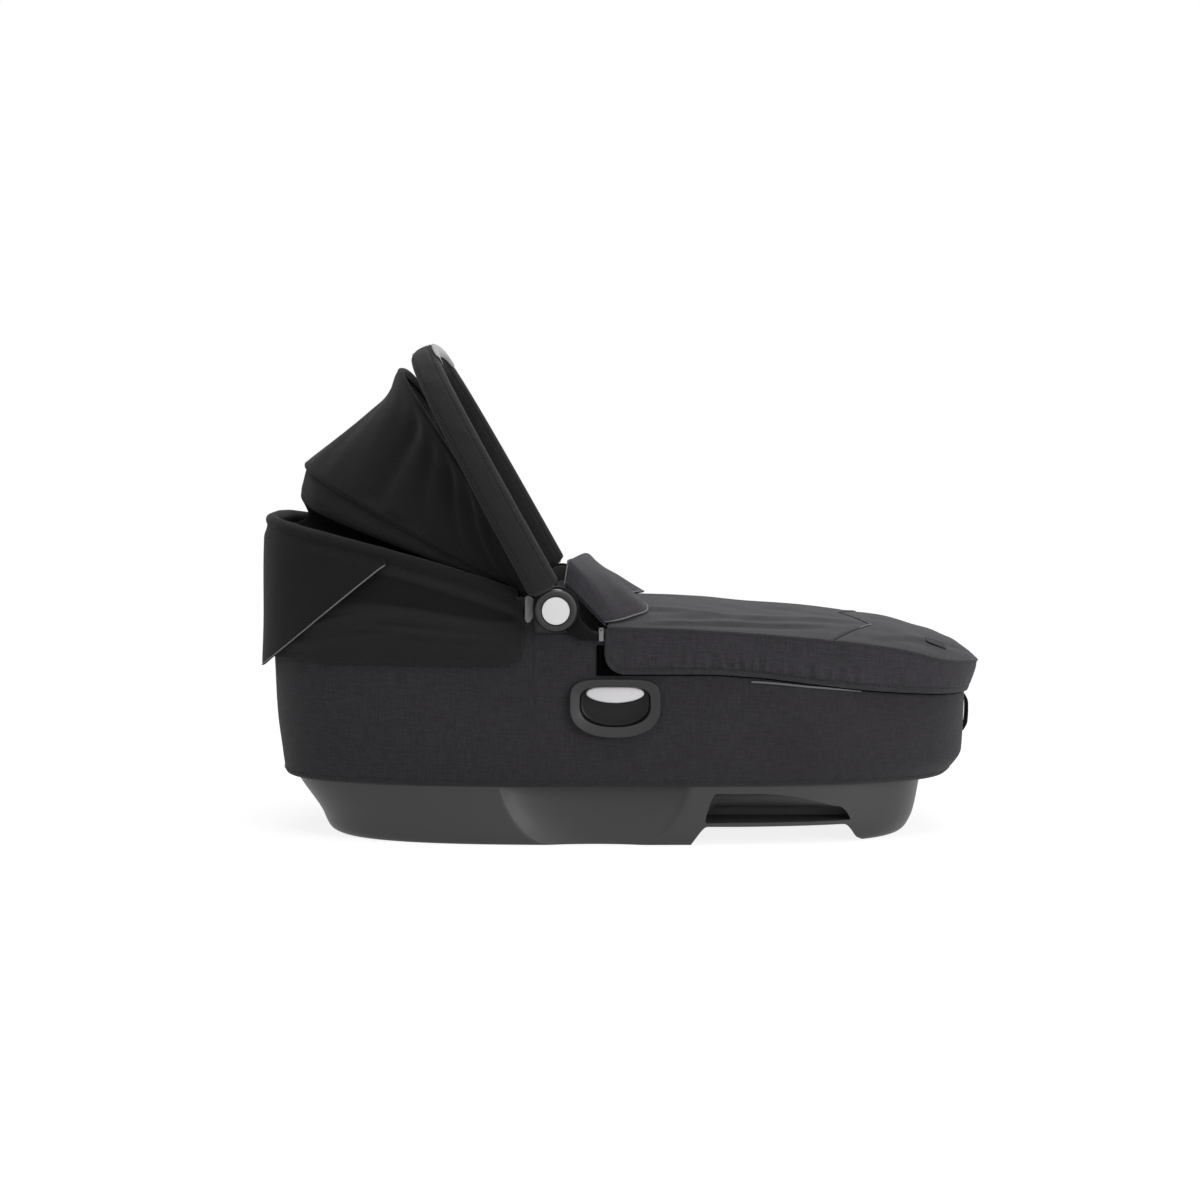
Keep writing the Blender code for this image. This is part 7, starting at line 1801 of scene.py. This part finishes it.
floor_mesh = bpy.data.meshes.new("studio_floor")
FLOOR_SIZE = 30.0
floor_mesh.from_pydata([(-FLOOR_SIZE, -FLOOR_SIZE, 0.0), (FLOOR_SIZE, -FLOOR_SIZE, 0.0),
                        (FLOOR_SIZE, FLOOR_SIZE, 0.0), (-FLOOR_SIZE, FLOOR_SIZE, 0.0)], [], [(0, 1, 2, 3)])
floor_mesh.materials.append(floor_look())
studio_floor = bpy.data.objects.new("studio_floor", floor_mesh)
bpy.context.scene.collection.objects.link(studio_floor)
print("floor", 2 * FLOOR_SIZE, "m across")

# %% Sky and lamps
SKY_ON_THINGS = 0.28
world = bpy.data.worlds.new("studio")
bpy.context.scene.world = world
world.use_nodes = True
world.node_tree.nodes.clear()
sky_dim = add_node(world.node_tree, "ShaderNodeBackground", {"Color": WHITE, "Strength": SKY_ON_THINGS})
sky_white = add_node(world.node_tree, "ShaderNodeBackground", {"Color": WHITE, "Strength": 1.0})
sky = add_node(world.node_tree, "ShaderNodeMixShader",
               {0: picture_rays(world.node_tree), 1: sky_dim.outputs[0], 2: sky_white.outputs[0]})
add_node(world.node_tree, "ShaderNodeOutputWorld", {"Surface": sky.outputs[0]})


def soft_lamp(name, place, aim, size, power):
    """A square area lamp at a place, turned towards the aim."""
    data = bpy.data.lights.new(name, "AREA")
    data.shape, data.size, data.energy = "SQUARE", size, power
    lamp = bpy.data.objects.new(name, data)
    gaze = np.array(aim) - np.array(place)
    flat = math.hypot(gaze[0], gaze[1])
    lamp.location = place
    lamp.rotation_euler = (math.atan2(flat, -gaze[2]), 0.0, math.atan2(-gaze[0], gaze[1]))
    bpy.context.scene.collection.objects.link(lamp)
    return lamp


soft_lamp("overhead", (0.2, -0.4, 2.6), (0.0, 0.0, 0.2), 2.4, 33.0)
soft_lamp("front_right", (2.1, -1.8, 0.9), (0.2, 0.0, 0.20), 1.5, 31.0)
soft_lamp("front_left", (-2.2, -1.9, 1.3), (-0.1, 0.0, 0.25), 1.6, 4.0)
soft_lamp("back", (0.6, 2.6, 1.6), (0.0, 0.0, 0.25), 1.6, 15.0)
print("lamps", 4)

# %% [markdown]
# ## Materials for the CAD pieces that stay
# Screws, washers, bolts, gears, sockets, bows and the tub keep their CAD shapes: they are small or
# hidden, and right as they are. Each gets the material of the real piece.

# %% Dress the CAD nodes
# Steel wire with a black powder coat
coated_steel = moulded_look("black_coated_steel", 0x1C1C1D, 0x242425, rough=0.4)
KEPT_LOOKS = {
    "base_screw": zinc_steel, "inner_tub": tub_board, "handle_tube": coated_steel, "front_bow": zinc_steel,
    "mid_bow": coated_steel, "hub_bolt": zinc_steel, "hub_washer": zinc_steel, "lock_gear": zinc_steel,
    "adapter_socket": hub_plastic, "latch_bolt": zinc_steel, "zip_slider": zip_plastic, "zip_pull": pull_plastic,
}
for node_name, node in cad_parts.items():
    for start, look in KEPT_LOOKS.items():
        if node_name.startswith(start):
            node.data.materials.clear()
            node.data.materials.append(look)
print("kept nodes dressed:", sum(name.startswith(tuple(KEPT_LOOKS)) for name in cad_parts))
